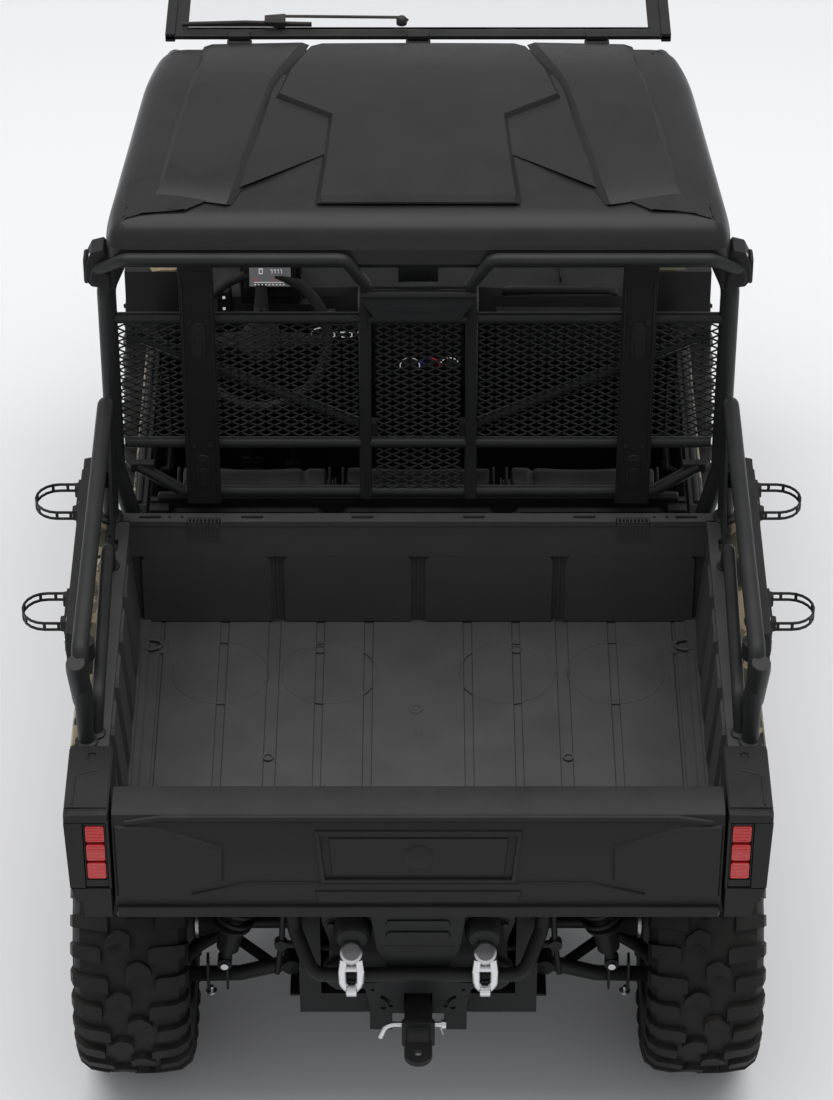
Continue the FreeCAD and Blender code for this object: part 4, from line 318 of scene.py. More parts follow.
@dataclass(frozen=True)
class Camouflage(Finish):
    """Moulded panels with a plain woodland pattern: blots of tan, brown and near black."""

    layers: tuple[tuple[tuple[float, float, float], float, float], ...] = (
        ((0.24, 0.19, 0.12), 7.0, 0.50), ((0.052, 0.05, 0.03), 10.0, 0.53),
        ((0.012, 0.011, 0.009), 15.0, 0.56), ((0.33, 0.29, 0.22), 24.0, 0.64))

    def base_colour(self, graph: Graph, place: bpy.types.NodeSocket,
                    slow: bpy.types.NodeSocket) -> bpy.types.NodeSocket:
        """Lay blots over each other; a layer is a shade, a scale and the noise where it starts.

        Args:
            graph: The material's graph.
            place: Object coordinates.
            slow: A slow noise value; not used here.

        Returns:
            The colour's socket.
        """
        colour: object = (*self.colour, 1.0)
        for index, (shade, scale, edge) in enumerate(self.layers):
            moved = graph.add("ShaderNodeMapping", Vector=place,
                              Location=(3.7 * index, 1.9 * index, 0.0), Scale=(1.0, 0.7, 1.3))
            blot = graph.add("ShaderNodeTexNoise", Vector=moved.outputs[0], Scale=scale,
                             Detail=3.0, Distortion=0.8)
            mask = graph.remap(blot.outputs["Fac"], edge, edge + 0.015)
            colour = graph.blend(mask, colour, (*shade, 1.0))
        return colour


@dataclass(frozen=True)
class ClearGlass(Finish):
    """Thin clear or tinted glass with a faint film of dust."""

    def build(self) -> bpy.types.Material:
        """Build the glass.

        Returns:
            The new material.
        """
        material, graph, shader, place = self.start()
        cloud = graph.add("ShaderNodeTexNoise", Vector=place, Scale=9.0, Detail=8.0)
        film = graph.remap(cloud.outputs["Fac"], 0.35, 0.8, self.roughness, self.roughness + 0.12)
        graph.feed(shader.inputs["Roughness"], film)
        shader.inputs["Base Color"].default_value = (*self.colour, 1.0)
        shader.inputs["Transmission Weight"].default_value = 1.0
        shader.inputs["IOR"].default_value = 1.2
        return material


STEEL = Finish("satin_black_steel", "frame_steel", (0.013, 0.0135, 0.014), (0.12, 0.11, 0.10),
               roughness=0.40, grain_scale=1400.0, grain_depth=0.08, wear=0.14, dust=0.04)
PLASTIC = Finish("grained_plastic", "dark_plastic", (0.011, 0.011, 0.0115), (0.04, 0.04, 0.04),
                 roughness=0.46, grain_scale=1000.0, grain_depth=0.22, wear=0.25, dust=0.04)
BED_PLASTIC = Finish("bed_plastic", "bed_plastic", (0.040, 0.040, 0.041), (0.09, 0.09, 0.09),
                     roughness=0.50, grain_scale=700.0, grain_depth=0.25, wear=0.35, dust=0.07)
ROOF_PLASTIC = Finish("roof_plastic", "roof_plastic", (0.013, 0.013, 0.0135), (0.04, 0.04, 0.04),
                      roughness=0.30, grain_scale=1100.0, grain_depth=0.10, wear=0.12, dust=0.02,
                      shine=0.20)
PANEL = Camouflage("woodland_panel", "body_panel", (0.10, 0.085, 0.055), (0.12, 0.11, 0.10),
                   roughness=0.38, grain_depth=0.04, wear=0.15, dust=0.08)
ALLOY = Finish("cast_alloy", "cast_alloy", (0.09, 0.09, 0.095), (0.25, 0.25, 0.25),
               roughness=0.5, metallic=0.8, grain_scale=500.0, grain_depth=0.3)
RUBBER = Finish("moulded_rubber", "rubber", (0.014, 0.014, 0.014), (0.05, 0.05, 0.05),
                roughness=0.62, grain_depth=0.1)
TYRE = Finish("tyre_rubber", "tyre", (0.009, 0.009, 0.009), (0.05, 0.046, 0.04),
              roughness=0.55, grain_scale=420.0, grain_depth=0.25, wear=0.35, dust=0.10)
RIM = Finish("rim_steel", "rim_steel", (0.018, 0.018, 0.019), (0.12, 0.12, 0.12),
             roughness=0.35, grain_depth=0.05, metallic=0.3)
VINYL = Finish("seat_vinyl", "seat_vinyl", (0.022, 0.022, 0.023), (0.06, 0.06, 0.06),
               roughness=0.48, grain_scale=380.0, grain_depth=0.35)
ZINC = Finish("zinc_plate", "zinc", (0.62, 0.62, 0.63), (0.35, 0.33, 0.30),
              roughness=0.28, metallic=1.0, grain_depth=0.05, wear=0.5)
RED_LENS = Finish("red_lens", "red_lens", (0.42, 0.010, 0.012), (0.3, 0.02, 0.02),
                  roughness=0.16, grain_depth=0.0, wear=0.05, dust=0.04, coat=0.8)
WHITE_LENS = ClearGlass("lamp_glass", "lamp_lens", (0.95, 0.96, 0.97), (1.0, 1.0, 1.0),
                        roughness=0.03)
SCREEN_GLASS = ClearGlass("screen_glass", "clear_glass", (0.93, 0.95, 0.95), (1.0, 1.0, 1.0),
                          roughness=0.01)
FINISHES = {finish.slot: finish for finish in (
    STEEL, PLASTIC, BED_PLASTIC, ROOF_PLASTIC, PANEL, ALLOY, RUBBER, TYRE, RIM, VINYL, ZINC,
    RED_LENS, WHITE_LENS, SCREEN_GLASS)}


def dress_frame() -> None:
    """Give every carried-over CAD node the finish of its slot."""
    slots = {row["node"]: row["material_slot"] for row in frame["record"]["subparts"]}
    for name, piece in frame["nodes"].items():
        piece.data.materials.clear()
        piece.data.materials.append(FINISHES[slots[name]].material())


MM = 0.001
TO_MM = Matrix.Scale(1 / MM, 4)
FRONT_AXLE, REAR_AXLE, WHEEL_Z = -1055.0, 1055.0, 355.5
AXES = {"XY": (0, 1, 2), "XZ": (0, 2, 1), "YZ": (1, 2, 0)}
ACROSS, ALONG, UP = (1, 0, 0), (0, 1, 0), (0, 0, 1)


def placed(name: str, data: bpy.types.ID | None) -> bpy.types.Object:
    """Make an object from its data and put it into the scene."""
    item = bpy.data.objects.new(name, data)
    bpy.context.scene.collection.objects.link(item)
    return item


def as_mesh(item: bpy.types.Object) -> bpy.types.Mesh:
    """Turn an object with its modifiers into a plain mesh."""
    graph = bpy.context.evaluated_depsgraph_get()
    return bpy.data.meshes.new_from_object(item.evaluated_get(graph), depsgraph=graph)


def rounded(route: Sequence[Point], bend: float, steps: int = 5) -> list[Vector]:
    """Round the inner corners of a rigid tube's route.

    Args:
        route: The route's corners.
        bend: The bend radius.
        steps: How many runs each bend has.

    Returns:
        The points of the rounded route.
    """
    corners = [Vector(point) for point in route]
    result = [corners[0]]
    for before, corner, after in zip(corners, corners[1:], corners[2:]):
        back, ahead = before - corner, after - corner
        turn = math.pi - back.angle(ahead)
        if turn < 0.02:
            result.append(corner)
            continue
        reach = bend * math.tan(turn / 2)
        reach = min(reach, back.length * 0.48, ahead.length * 0.48)
        radius = reach / math.tan(turn / 2)
        start = corner + back.normalized() * reach
        middle = corner + (back.normalized() + ahead.normalized()).normalized() * (
            radius / math.cos(turn / 2))
        axis = (-back).cross(ahead).normalized()
        for step in range(steps + 1):
            spin = Matrix.Rotation(turn * step / steps, 3, axis)
            result.append(middle + spin @ (start - middle))
    result.append(corners[-1])
    return result


def circle(radius: float, steps: int, flat: float = 1.0) -> list[tuple[float, float]]:
    """Points of a circle, or of an oval where flat isn't 1."""
    turns = [math.tau * k / steps for k in range(steps)]
    return [(radius * math.cos(turn), flat * radius * math.sin(turn)) for turn in turns]


def oblong(width: float, height: float, corner: float, steps: int = 4) -> list[tuple[float, float]]:
    """Draw a rectangle with round corners, centred on nought.

    Args:
        width: Its width.
        height: Its height.
        corner: The radius of its corners.
        steps: How many runs each corner has.

    Returns:
        Its points.
    """
    result = []
    for quarter, (sx, sy) in enumerate(((1, 1), (-1, 1), (-1, -1), (1, -1))):
        cx, cy = sx * (width / 2 - corner), sy * (height / 2 - corner)
        for step in range(steps + 1):
            angle = math.pi / 2 * (quarter + step / steps)
            result.append((cx + corner * math.cos(angle), cy + corner * math.sin(angle)))
    return result


def shifted(points: Iterable[Point], across: float, up: float) -> list[tuple[float, float]]:
    """Move the points of a flat outline."""
    return [(x + across, y + up) for x, y in points]


class Form:
    """Shapes in millimetres, gathered into one mesh."""

    def __init__(self) -> None:
        """Start with nothing in it."""
        self.mesh = bmesh.new()
        self.index = 0

    def add(self, points: Iterable[Point], faces: Iterable[Sequence[int]]) -> list:
        """Add points and faces.

        Args:
            points: Corner points.
            faces: Lists of point numbers.

        Returns:
            The new vertices.
        """
        made = [self.mesh.verts.new(point) for point in points]
        for face in faces:
            self.mesh.faces.new([made[k] for k in face]).material_index = self.index
        return made

    def loft(self, rings: Sequence[Sequence[Point]], caps: bool = True, closed: bool = True,
             loop: bool = False) -> list:
        """Join rings of points into a skin.

        Args:
            rings: Rings with the same number of points each.
            caps: Whether the first and last rings are filled.
            closed: Whether each ring closes on itself.
            loop: Whether the last ring joins the first.

        Returns:
            The new vertices.
        """
        count = len(rings[0])
        points = [point for ring in rings for point in ring]
        faces = []
        turns = len(rings) if loop else len(rings) - 1
        for k in range(turns):
            low, high = k * count, (k + 1) % len(rings) * count
            for j in range(count if closed else count - 1):
                n = (j + 1) % count
                faces.append((low + j, low + n, high + n, high + j))
        if caps and not loop:
            faces.append(tuple(range(count)))
            faces.append(tuple(reversed(range(len(points) - count, len(points)))))
        return self.add(points, faces)

    def box(self, near: Point, far: Point) -> list:
        """Add a box between two opposite corners."""
        (a, d), (b, e), (c, f) = (sorted(pair) for pair in zip(near, far))
        return self.loft([[(a, b, c), (d, b, c), (d, e, c), (a, e, c)],
                          [(a, b, f), (d, b, f), (d, e, f), (a, e, f)]])

    def prism(self, plane: str, outline: Sequence[Point], low: float, high: float,
              draft: float = 0.0) -> list:
        """Add an extruded outline.

        Args:
            plane: The outline's plane: XY, XZ or YZ.
            outline: The outline's points.
            low: Where it starts along the third axis.
            high: Where it ends.
            draft: How far the end is drawn in towards the outline's middle.

        Returns:
            The new vertices.
        """
        first, second, third = AXES[plane]
        mid = [sum(point[k] for point in outline) / len(outline) for k in (0, 1)]
        rings = []
        for place, inset in ((low, 0.0), (high, draft)):
            ring = []
            for point in outline:
                spot = [0.0, 0.0, 0.0]
                way = Vector((mid[0] - point[0], mid[1] - point[1]))
                shift = way.normalized() * inset if way.length > inset else way
                spot[first], spot[second], spot[third] = (
                    point[0] + shift.x, point[1] + shift.y, place)
                ring.append(tuple(spot))
            rings.append(ring)
        return self.loft(rings)

    def slab(self, plane: str, size: Point, middle: Point, low: float, high: float,
             draft: float = 0.0) -> list:
        """Add a block with round corners.

        Args:
            plane: The outline's plane: XY, XZ or YZ.
            size: The outline's width, height and corner radius.
            middle: The outline's middle.
            low: Where it starts along the third axis.
            high: Where it ends.
            draft: How far the end is drawn in.

        Returns:
            The new vertices.
        """
        return self.prism(plane, shifted(oblong(*size), *middle), low, high, draft)

    def rod(self, start: Point, end: Point, radius: float, steps: int = 14) -> list:
        """Add a straight round rod between two points."""
        return self.tube([start, end], radius, bend=0, steps=steps)

    def tube(self, route: Sequence[Point], radius: float, bend: float = 45.0, steps: int = 14,
             flat: float = 1.0, ends: Sequence[float] = ()) -> list:
        """Add a bent round tube.

        Args:
            route: The route's corners.
            radius: The tube's radius.
            bend: The bend radius at the corners.
            steps: Points around the tube.
            flat: How flat the section is.
            ends: Extra scales for closing rings at both ends, such as a dome's.

        Returns:
            The new vertices.
        """
        path = rounded(route, bend) if bend else [Vector(point) for point in route]
        section = circle(radius, steps, flat)
        rings = []
        side = None
        for k, spot in enumerate(path):
            way = (path[min(k + 1, len(path) - 1)] - path[max(k - 1, 0)]).normalized()
            if side is None:
                seed = Vector((0, 0, 1)) if abs(way.z) < 0.9 else Vector((0, 1, 0))
                side = way.cross(seed).normalized()
            side = (side - way * side.dot(way)).normalized()
            lift = side.cross(way)
            rings.append([spot + side * x + lift * y for x, y in section])
        for scale in ends:
            for at, ring, nxt in ((0, rings[0], path[1]), (len(rings), rings[-1], path[-2])):
                spot = path[0] if at == 0 else path[-1]
                out = (spot - nxt).normalized() * radius * (1 - scale) * 0.8
                fresh = [spot + (point - spot) * scale + out for point in ring]
                rings.insert(at if at == 0 else len(rings), fresh)
        return self.loft(rings)

    def lathe(self, centre: Point, way: Point, profile: Sequence[Point], steps: int = 32,
              loop: bool = False) -> list:
        """Turn a profile about an axis.

        Args:
            centre: A point on the axis.
            way: The axis's direction.
            profile: Pairs of place along the axis and radius.
            steps: Points around.
            loop: Whether the profile closes on itself.

        Returns:
            The new vertices.
        """
        axis = Vector(way).normalized()
        seed = Vector((0, 0, 1)) if abs(axis.z) < 0.9 else Vector((0, 1, 0))
        side = axis.cross(seed).normalized()
        lift = axis.cross(side)
        start = Vector(centre)
        rings = [[start + axis * along + (side * x + lift * y) * max(radius, 0.01)
                  for x, y in circle(1.0, steps)] for along, radius in profile]
        return self.loft(rings, caps=not loop, loop=loop)

    def bolt(self, place: Point, way: Point, size: float = 8.0, washer: float = 1.5) -> None:
        """Add a hexagon bolt head on a washer.

        Args:
            place: Where its seat is.
            way: Which way the head points.
            size: Its radius.
            washer: The washer's radius over the head's.
        """
        self.lathe(place, way, [(-1, size * washer), (2, size * washer)], 16)
        self.lathe(place, way, [(1, size), (size, size), (size * 1.15, size * 0.82)], 6)

    def mirror(self) -> None:
        """Add a copy of everything on the other side of the vehicle."""
        twin = bmesh.ops.duplicate(self.mesh, geom=self.mesh.verts[:] + self.mesh.faces[:])
        for item in twin["geom"]:
            if isinstance(item, bmesh.types.BMVert):
                item.co.x = -item.co.x

    def merge(self, mesh: bpy.types.Mesh, turn: Matrix = Matrix.Identity(4)) -> None:
        """Add a mesh in metres, turned and moved by a matrix in millimetres."""
        fresh = mesh.copy()
        fresh.transform(turn @ TO_MM)
        self.mesh.from_mesh(fresh)
        bpy.data.meshes.remove(fresh)

    def finish(self, name: str, outward: bool = True) -> bpy.types.Mesh:
        """Turn the shapes into a mesh in metres.

        Args:
            name: The mesh's name.
            outward: Whether all faces are turned outwards, for closed shapes.

        Returns:
            The mesh.
        """
        if outward:
            bmesh.ops.recalc_face_normals(self.mesh, faces=self.mesh.faces[:])
        bmesh.ops.scale(self.mesh, vec=(MM, MM, MM), verts=self.mesh.verts[:])
        mesh = bpy.data.meshes.new(name)
        self.mesh.to_mesh(mesh)
        self.mesh.free()
        return mesh

    def show(self, name: str, finishes: Sequence["Finish"], body: str = "root",
             stands_for: Sequence[str] = (), outward: bool = True,
             **look: float) -> bpy.types.Object:
        """Finish the shapes and make them a piece of the vehicle.

        Args:
            name: The piece's name.
            finishes: A finish for each material number.
            body: The body that it rides on.
            stands_for: CAD nodes that it replaces.
            outward: Whether all faces are turned outwards.
            **look: Its edge, sharp and smooth values, as in the function show.

        Returns:
            The new object.
        """
        return show(name, self.finish(name, outward), finishes, body, stands_for, **look)


def show(name: str, mesh: bpy.types.Mesh, finishes: Sequence["Finish"], body: str = "root",
         stands_for: Sequence[str] = (), edge: float = 0.0, sharp: float = 38.0,
         smooth: int = 0) -> bpy.types.Object:
    """Make a finished mesh a piece of the vehicle.

    Args:
        name: The piece's name.
        mesh: Its mesh, in metres.
        finishes: A finish for each of its material slots.
        body: The body that it rides on.
        stands_for: CAD nodes that it replaces.
        edge: The width of its rounded edges, in millimetres.
        sharp: Edges with a larger angle than this stay sharp, in degrees.
        smooth: Subdivision levels.

    Returns:
        The new object.
    """
    for finish in finishes[len(mesh.materials):]:
        mesh.materials.append(finish.material())
    mesh.shade_smooth()
    if not smooth:
        mesh.set_sharp_from_angle(angle=math.radians(sharp))
    item = placed(name, mesh)
    if edge:
        bevel = item.modifiers.new("round_edges", "BEVEL")
        bevel.width = edge * MM
        bevel.segments = 2
        bevel.limit_method = "ANGLE"
        bevel.angle_limit = math.radians(sharp)
        bevel.harden_normals = True
    if smooth:
        levels = item.modifiers.new("smooth", "SUBSURF")
        levels.levels = levels.render_levels = smooth
    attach(item, body)
    if stands_for:
        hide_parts(*stands_for)
    LOG.info("%s on %s: %d faces", name, body, len(mesh.polygons))
    return item


class MeshTree:
    """A Geometry Nodes tree whose result is kept as a plain mesh."""

    def __init__(self, name: str, inputs: dict[str, str]) -> None:
        """Start the tree with its named inputs.

        Args:
            name: The tree's name.
            inputs: The kind of socket of each input.
        """
        self.tree = bpy.data.node_groups.new(name, "GeometryNodeTree")
        sockets = self.tree.interface
        self.keys = {key: sockets.new_socket(key, in_out="INPUT",
                                             socket_type="NodeSocket" + kind).identifier
                     for key, kind in {**inputs, "Finish": "Material"}.items()}
        sockets.new_socket("Mesh", in_out="OUTPUT", socket_type="NodeSocketGeometry")
        self.graph = Graph(self.tree)
        self.given = self.graph.add("NodeGroupInput").outputs

    def close(self, geometry: bpy.types.NodeSocket) -> None:
        """End the tree: realise the instances, set the finish and put the mesh out."""
        real = self.graph.add("GeometryNodeRealizeInstances", Geometry=geometry)
        dressed = self.graph.add("GeometryNodeSetMaterial", Geometry=real.outputs[0],
                                 Material=self.given["Finish"])
        self.graph.add("NodeGroupOutput", Mesh=dressed.outputs[0])

    def run(self, start: bpy.types.Mesh, finish: "Finish", values: dict[str, object]
            ) -> bpy.types.Mesh:
        """Run the tree and keep its result.

        Args:
            start: The mesh that the tree starts from.
            finish: The finish of the result.
            values: A value for each input.

        Returns:
            The mesh.
        """
        holder = placed(start.name, start)
        modifier = holder.modifiers.new(self.tree.name, "NODES")
        modifier.node_group = self.tree
        for key, value in {**values, "Finish": finish.material()}.items():
            modifier[self.keys[key]] = value
        mesh = as_mesh(holder)
        bpy.data.objects.remove(holder)
        return mesh


class SetItems(MeshTree):
    """Geometry Nodes that set one item on each point, turned by the point's own angles."""

    def __init__(self) -> None:
        """Build the node tree."""
        super().__init__("set_items", {"Points": "Geometry", "Item": "Object", "Size": "Float"})
        info = self.graph.add("GeometryNodeObjectInfo", Object=self.given["Item"])
        turn = self.graph.add("GeometryNodeInputNamedAttribute", data_type="FLOAT_VECTOR",
                              Name="turn")
        spin = self.graph.add("FunctionNodeEulerToRotation", Euler=turn.outputs["Attribute"])
        set_on = self.graph.add("GeometryNodeInstanceOnPoints", Points=self.given["Points"],
                                Instance=info.outputs["Geometry"],
                                Rotation=spin.outputs["Rotation"], Scale=self.given["Size"])
        self.close(set_on.outputs["Instances"])

    def apply(self, name: str, item: bpy.types.Mesh, places: Sequence[tuple[Point, Point]],
              finish: "Finish", size: float = 1.0) -> bpy.types.Mesh:
        """Set the item on every place and turn the result into a plain mesh.

        Args:
            name: The mesh's name.
            item: The item's mesh, in metres.
            places: Pairs of a point in millimetres and turn angles in radians.
            finish: The finish of the result.
            size: The scale of every item.

        Returns:
            The mesh.
        """
        points = bpy.data.meshes.new(name)
        points.from_pydata([Vector(spot) * MM for spot, _ in places], [], [])
        turns = points.attributes.new("turn", "FLOAT_VECTOR", "POINT")
        turns.data.foreach_set("vector", [value for _, turn in places for value in turn])
        pattern = placed(name + "_item", item)
        mesh = self.run(points, finish, {"Item": pattern, "Size": size})
        bpy.data.objects.remove(pattern)
        return mesh


class Coil(MeshTree):
    """Geometry Nodes that wind a spring from a round wire."""

    def __init__(self) -> None:
        """Build the node tree."""
        super().__init__("coil_spring", dict.fromkeys(("Turns", "Radius", "Height", "Wire"),
                                                      "Float"))
        spiral = self.graph.add("GeometryNodeCurveSpiral", Resolution=22,
                                Rotations=self.given["Turns"], Start_Radius=self.given["Radius"],
                                End_Radius=self.given["Radius"], Height=self.given["Height"])
        ring = self.graph.add("GeometryNodeCurvePrimitiveCircle", Resolution=10,
                              Radius=self.given["Wire"])
        wire = self.graph.add("GeometryNodeCurveToMesh", Curve=spiral.outputs[0],
                              Profile_Curve=ring.outputs[0], Fill_Caps=True)
        self.close(wire.outputs[0])

    def wind(self, sizes: dict[str, float], finish: "Finish") -> bpy.types.Mesh:
        """Wind one spring that stands on the origin.

        Args:
            sizes: Turns, Radius, Height and Wire, lengths in metres.
            finish: The finish of the wire.

        Returns:
            The mesh.
        """
        return self.run(bpy.data.meshes.new("coil"), finish, sizes)


SET_ITEMS = SetItems()
COIL = Coil()


@dataclass
class Wheel:
    """A wheel: a tyre with cut lugs and a dished steel rim."""

    name: str
    place: tuple[float, float, float]
    side: Side
    width: float
    radius: float = 355.5
    rim_radius: float = 178.0
    lug_height: float = 15.0
    pitches: int = 15
    face_depth: float = 46.0
    nuts: int = 4
    nut_circle: float = 48.45
    windows: int = 9

    def section(self) -> list[tuple[float, float]]:
        """Draw the tyre's outer section.

        Returns:
            Its points from bead to bead, as across and radius.
        """
        half, top = self.width / 2, self.radius - self.lug_height
        rise = [(half - 24, self.rim_radius + 4), (half - 14, self.rim_radius + 22),
                (half - 6, self.rim_radius + 50), (half - 2, self.rim_radius + 84),
                (half - 3, top - 52), (half - 8, top - 30), (half - 20, top - 13),
                (half - 40, top - 4), (half * 0.4, top - 1)]
        return rise + [(-across, high) for across, high in reversed(rise)]

    def on_tread(self, run: float) -> tuple[Vector, Vector]:
        """Find a place on the section by its distance from the tread's middle.

        Args:
            run: The distance along the section, in millimetres.

        Returns:
            The point and the outward direction, both as across and radius.
        """
        half, top = self.width / 2, self.radius - self.lug_height
        line = [(0.0, top), (half * 0.4, top - 1), (half - 40, top - 4), (half - 20, top - 13),
                (half - 8, top - 30), (half - 3, top - 52), (half - 2, self.rim_radius + 84)]
        sign, left = (1 if run >= 0 else -1), abs(run)
        for start, end in zip(line, line[1:]):
            step = math.hypot(end[0] - start[0], end[1] - start[1])
            if left <= step or end is line[-1]:
                share = min(left / step, 1.0)
                spot = Vector(start).lerp(Vector(end), share)
                out = Vector((start[1] - end[1], end[0] - start[0])).normalized()
                return Vector((spot.x * sign, spot.y)), Vector((out.x * sign, out.y))
            left -= step
        return Vector((0.0, top)), Vector((0.0, 1.0))

    def lug(self, form: Form, rows: Sequence[tuple[float, float, float, float]]) -> None:
        """Add one lug.

        Args:
            form: Where it is added.
            rows: Runs across the tread, each with its low and high place along the tread and
                its height.
        """
        rings = []
        for run, low, high, height in rows:
            spot, out = self.on_tread(run)
            ring = []
            for along, lift, spread in ((low, -4, -3.0), (high, -4, 3.0), (high, height, 0.0),
                                        (low, height, 0.0)):
                point = spot + out * lift
                angle = (along + spread) / self.radius
                ring.append((point.x, point.y * math.sin(angle), point.y * math.cos(angle)))
            rings.append(ring)
        form.loft(rings)

    def pitch(self) -> bpy.types.Mesh:
        """Build the lugs of one pitch: two at each shoulder and two in the middle.

        Returns:
            The mesh, centred on the wheel.
        """
        form = Form()
        step = math.tau * self.radius / self.pitches
        edge = self.width / 2 + 34
        tall = self.lug_height
        for sign in (1, -1):
            shift = 0.0 if sign > 0 else step / 2
            for inner, place in ((46.0, shift + 0.0), (62.0, shift + step / 2)):
                rows = [(inner, -13, 19, tall), (inner + 10, -18, 19, tall),
                        (edge - 66, -17, 16, tall), (edge - 44, -16, 15, tall - 1),
                        (edge - 24, -15, 14, tall - 5), (edge, -13, 12, 4)]
                self.lug(form, [(sign * run, place + low - 0.08 * run, place + high - 0.08 * run,
                                 height) for run, low, high, height in rows])
            rows = [(-4, -14, 22, tall), (8, -22, 16, tall), (20, -26, 4, tall),
                    (30, -24, 6, tall), (46, -12, 14, tall), (52, -4, 12, tall)]
            self.lug(form, [(sign * run, shift + step / 4 + low, shift + step / 4 + high, height)
                            for run, low, high, height in rows])
        return form.finish("tread_pitch")

    def tyre(self) -> None:
        """Build the tyre and its lugs."""
        places = [((0, 0, 0), (math.tau * k / self.pitches, 0, 0)) for k in range(self.pitches)]
        lugs = SET_ITEMS.apply("lugs", self.pitch(), places, TYRE)
        form = Form()
        bead, level = self.width / 2 - 24, self.rim_radius + 1
        form.lathe((0, 0, 0), ACROSS, self.section() + [(-bead, level), (bead, level)], 96,
                   loop=True)
        for sign in (1, -1):
            for ring in (30, 96):
                across = sign * (self.width / 2 - (7 if ring == 30 else 3))
                radius = self.rim_radius + ring
                form.lathe((0, 0, 0), ACROSS, [(across - sign * 4, radius - 4),
                                               (across + sign * 3, radius - 1.5),
                                               (across + sign * 3, radius + 1.5),
                                               (across - sign * 4, radius + 4)], 96, loop=True)
        form.merge(lugs)
        bmesh.ops.translate(form.mesh, vec=self.place, verts=form.mesh.verts[:])
        form.show("tread_" + self.name, [TYRE], "wheel_" + self.name, ["tyre_" + self.name],
                  sharp=30)

    def rim(self) -> None:
        """Build the rim with its windows, hub, nuts and valve."""
        form = Form()
        out = self.side.value
        half = self.width / 2 - 24
        lip = self.rim_radius + 9
        profile = [(-half - 4, lip), (-half + 6, lip), (-half + 10, self.rim_radius),
                   (-half + 34, self.rim_radius - 14), (half - 34, self.rim_radius - 14),
                   (half - 10, self.rim_radius), (half - 6, lip), (half + 4, lip),
                   (half + 5, lip - 5), (half - 4, self.rim_radius - 9),
                   (half - 34, self.rim_radius - 23), (-half + 34, self.rim_radius - 23),
                   (-half + 4, self.rim_radius - 9), (-half - 5, lip - 5)]
        form.lathe((0, 0, 0), (out, 0, 0), profile, 64, loop=True)
        face = half - self.face_depth
        self.dish(form, out, face)
        form.lathe((out * face, 0, 0), (out, 0, 0), [(-30, 66), (4, 66), (12, 60), (14, 38),
                   (30, 34), (34, 28), (35, 6)], 40)
        valve = self.rim_radius - 42
        form.lathe((out * (face + 4), 0, valve), (out, 0, 0.35), [(0, 6), (18, 5), (20, 3.5),
                   (38, 3.5)], 10)
        form.index = 1
        for k in range(self.nuts):
            angle = math.tau * (k + 0.5) / self.nuts
            spot = (out * (face + 9), self.nut_circle * math.cos(angle),
                    self.nut_circle * math.sin(angle))
            form.lathe(spot, (out, 0, 0), [(0, 13), (4, 13), (5, 10), (20, 10), (25, 6)], 12)
        bmesh.ops.translate(form.mesh, vec=self.place, verts=form.mesh.verts[:])
        form.show("rim_disc_" + self.name, [RIM, ZINC], "wheel_" + self.name, ["rim_" + self.name],
                  edge=1.2)

    def dish(self, form: Form, out: int, face: float) -> None:
        """Add the rim's dished face, a ring of spokes round its windows.

        Args:
            form: Where it is added.
            out: The direction of the outer side.
            face: Where the face lies across the wheel.
        """
        reach = self.rim_radius - 18
        form.lathe((out * face, 0, 0), (out, 0, 0), [(-8, 62), (8, 62), (16, 84), (16, 96),
                   (4, 98), (-8, 84)], 64, loop=True)
        form.lathe((out * face, 0, 0), (out, 0, 0), [(8, reach - 16), (16, reach - 14),
                   (12, reach + 2), (-6, reach + 2), (-4, reach - 16)], 64, loop=True)
        for k in range(self.windows):
            angle = math.tau * k / self.windows
            turn = Matrix.Rotation(angle, 3, "X")
            form.loft([[turn @ Vector((out * (face + high), across, radius))
                        for across, high in ((-wide, lift - 14), (wide, lift - 14),
                                             (wide * 0.7, lift), (-wide * 0.7, lift))]
                       for radius, wide, lift in ((88, 17, 15), (112, 12, 18),
                                                  (reach - 12, 17, 15))])

    def build(self) -> None:
        """Build the whole wheel."""
        self.tyre()
        self.rim()


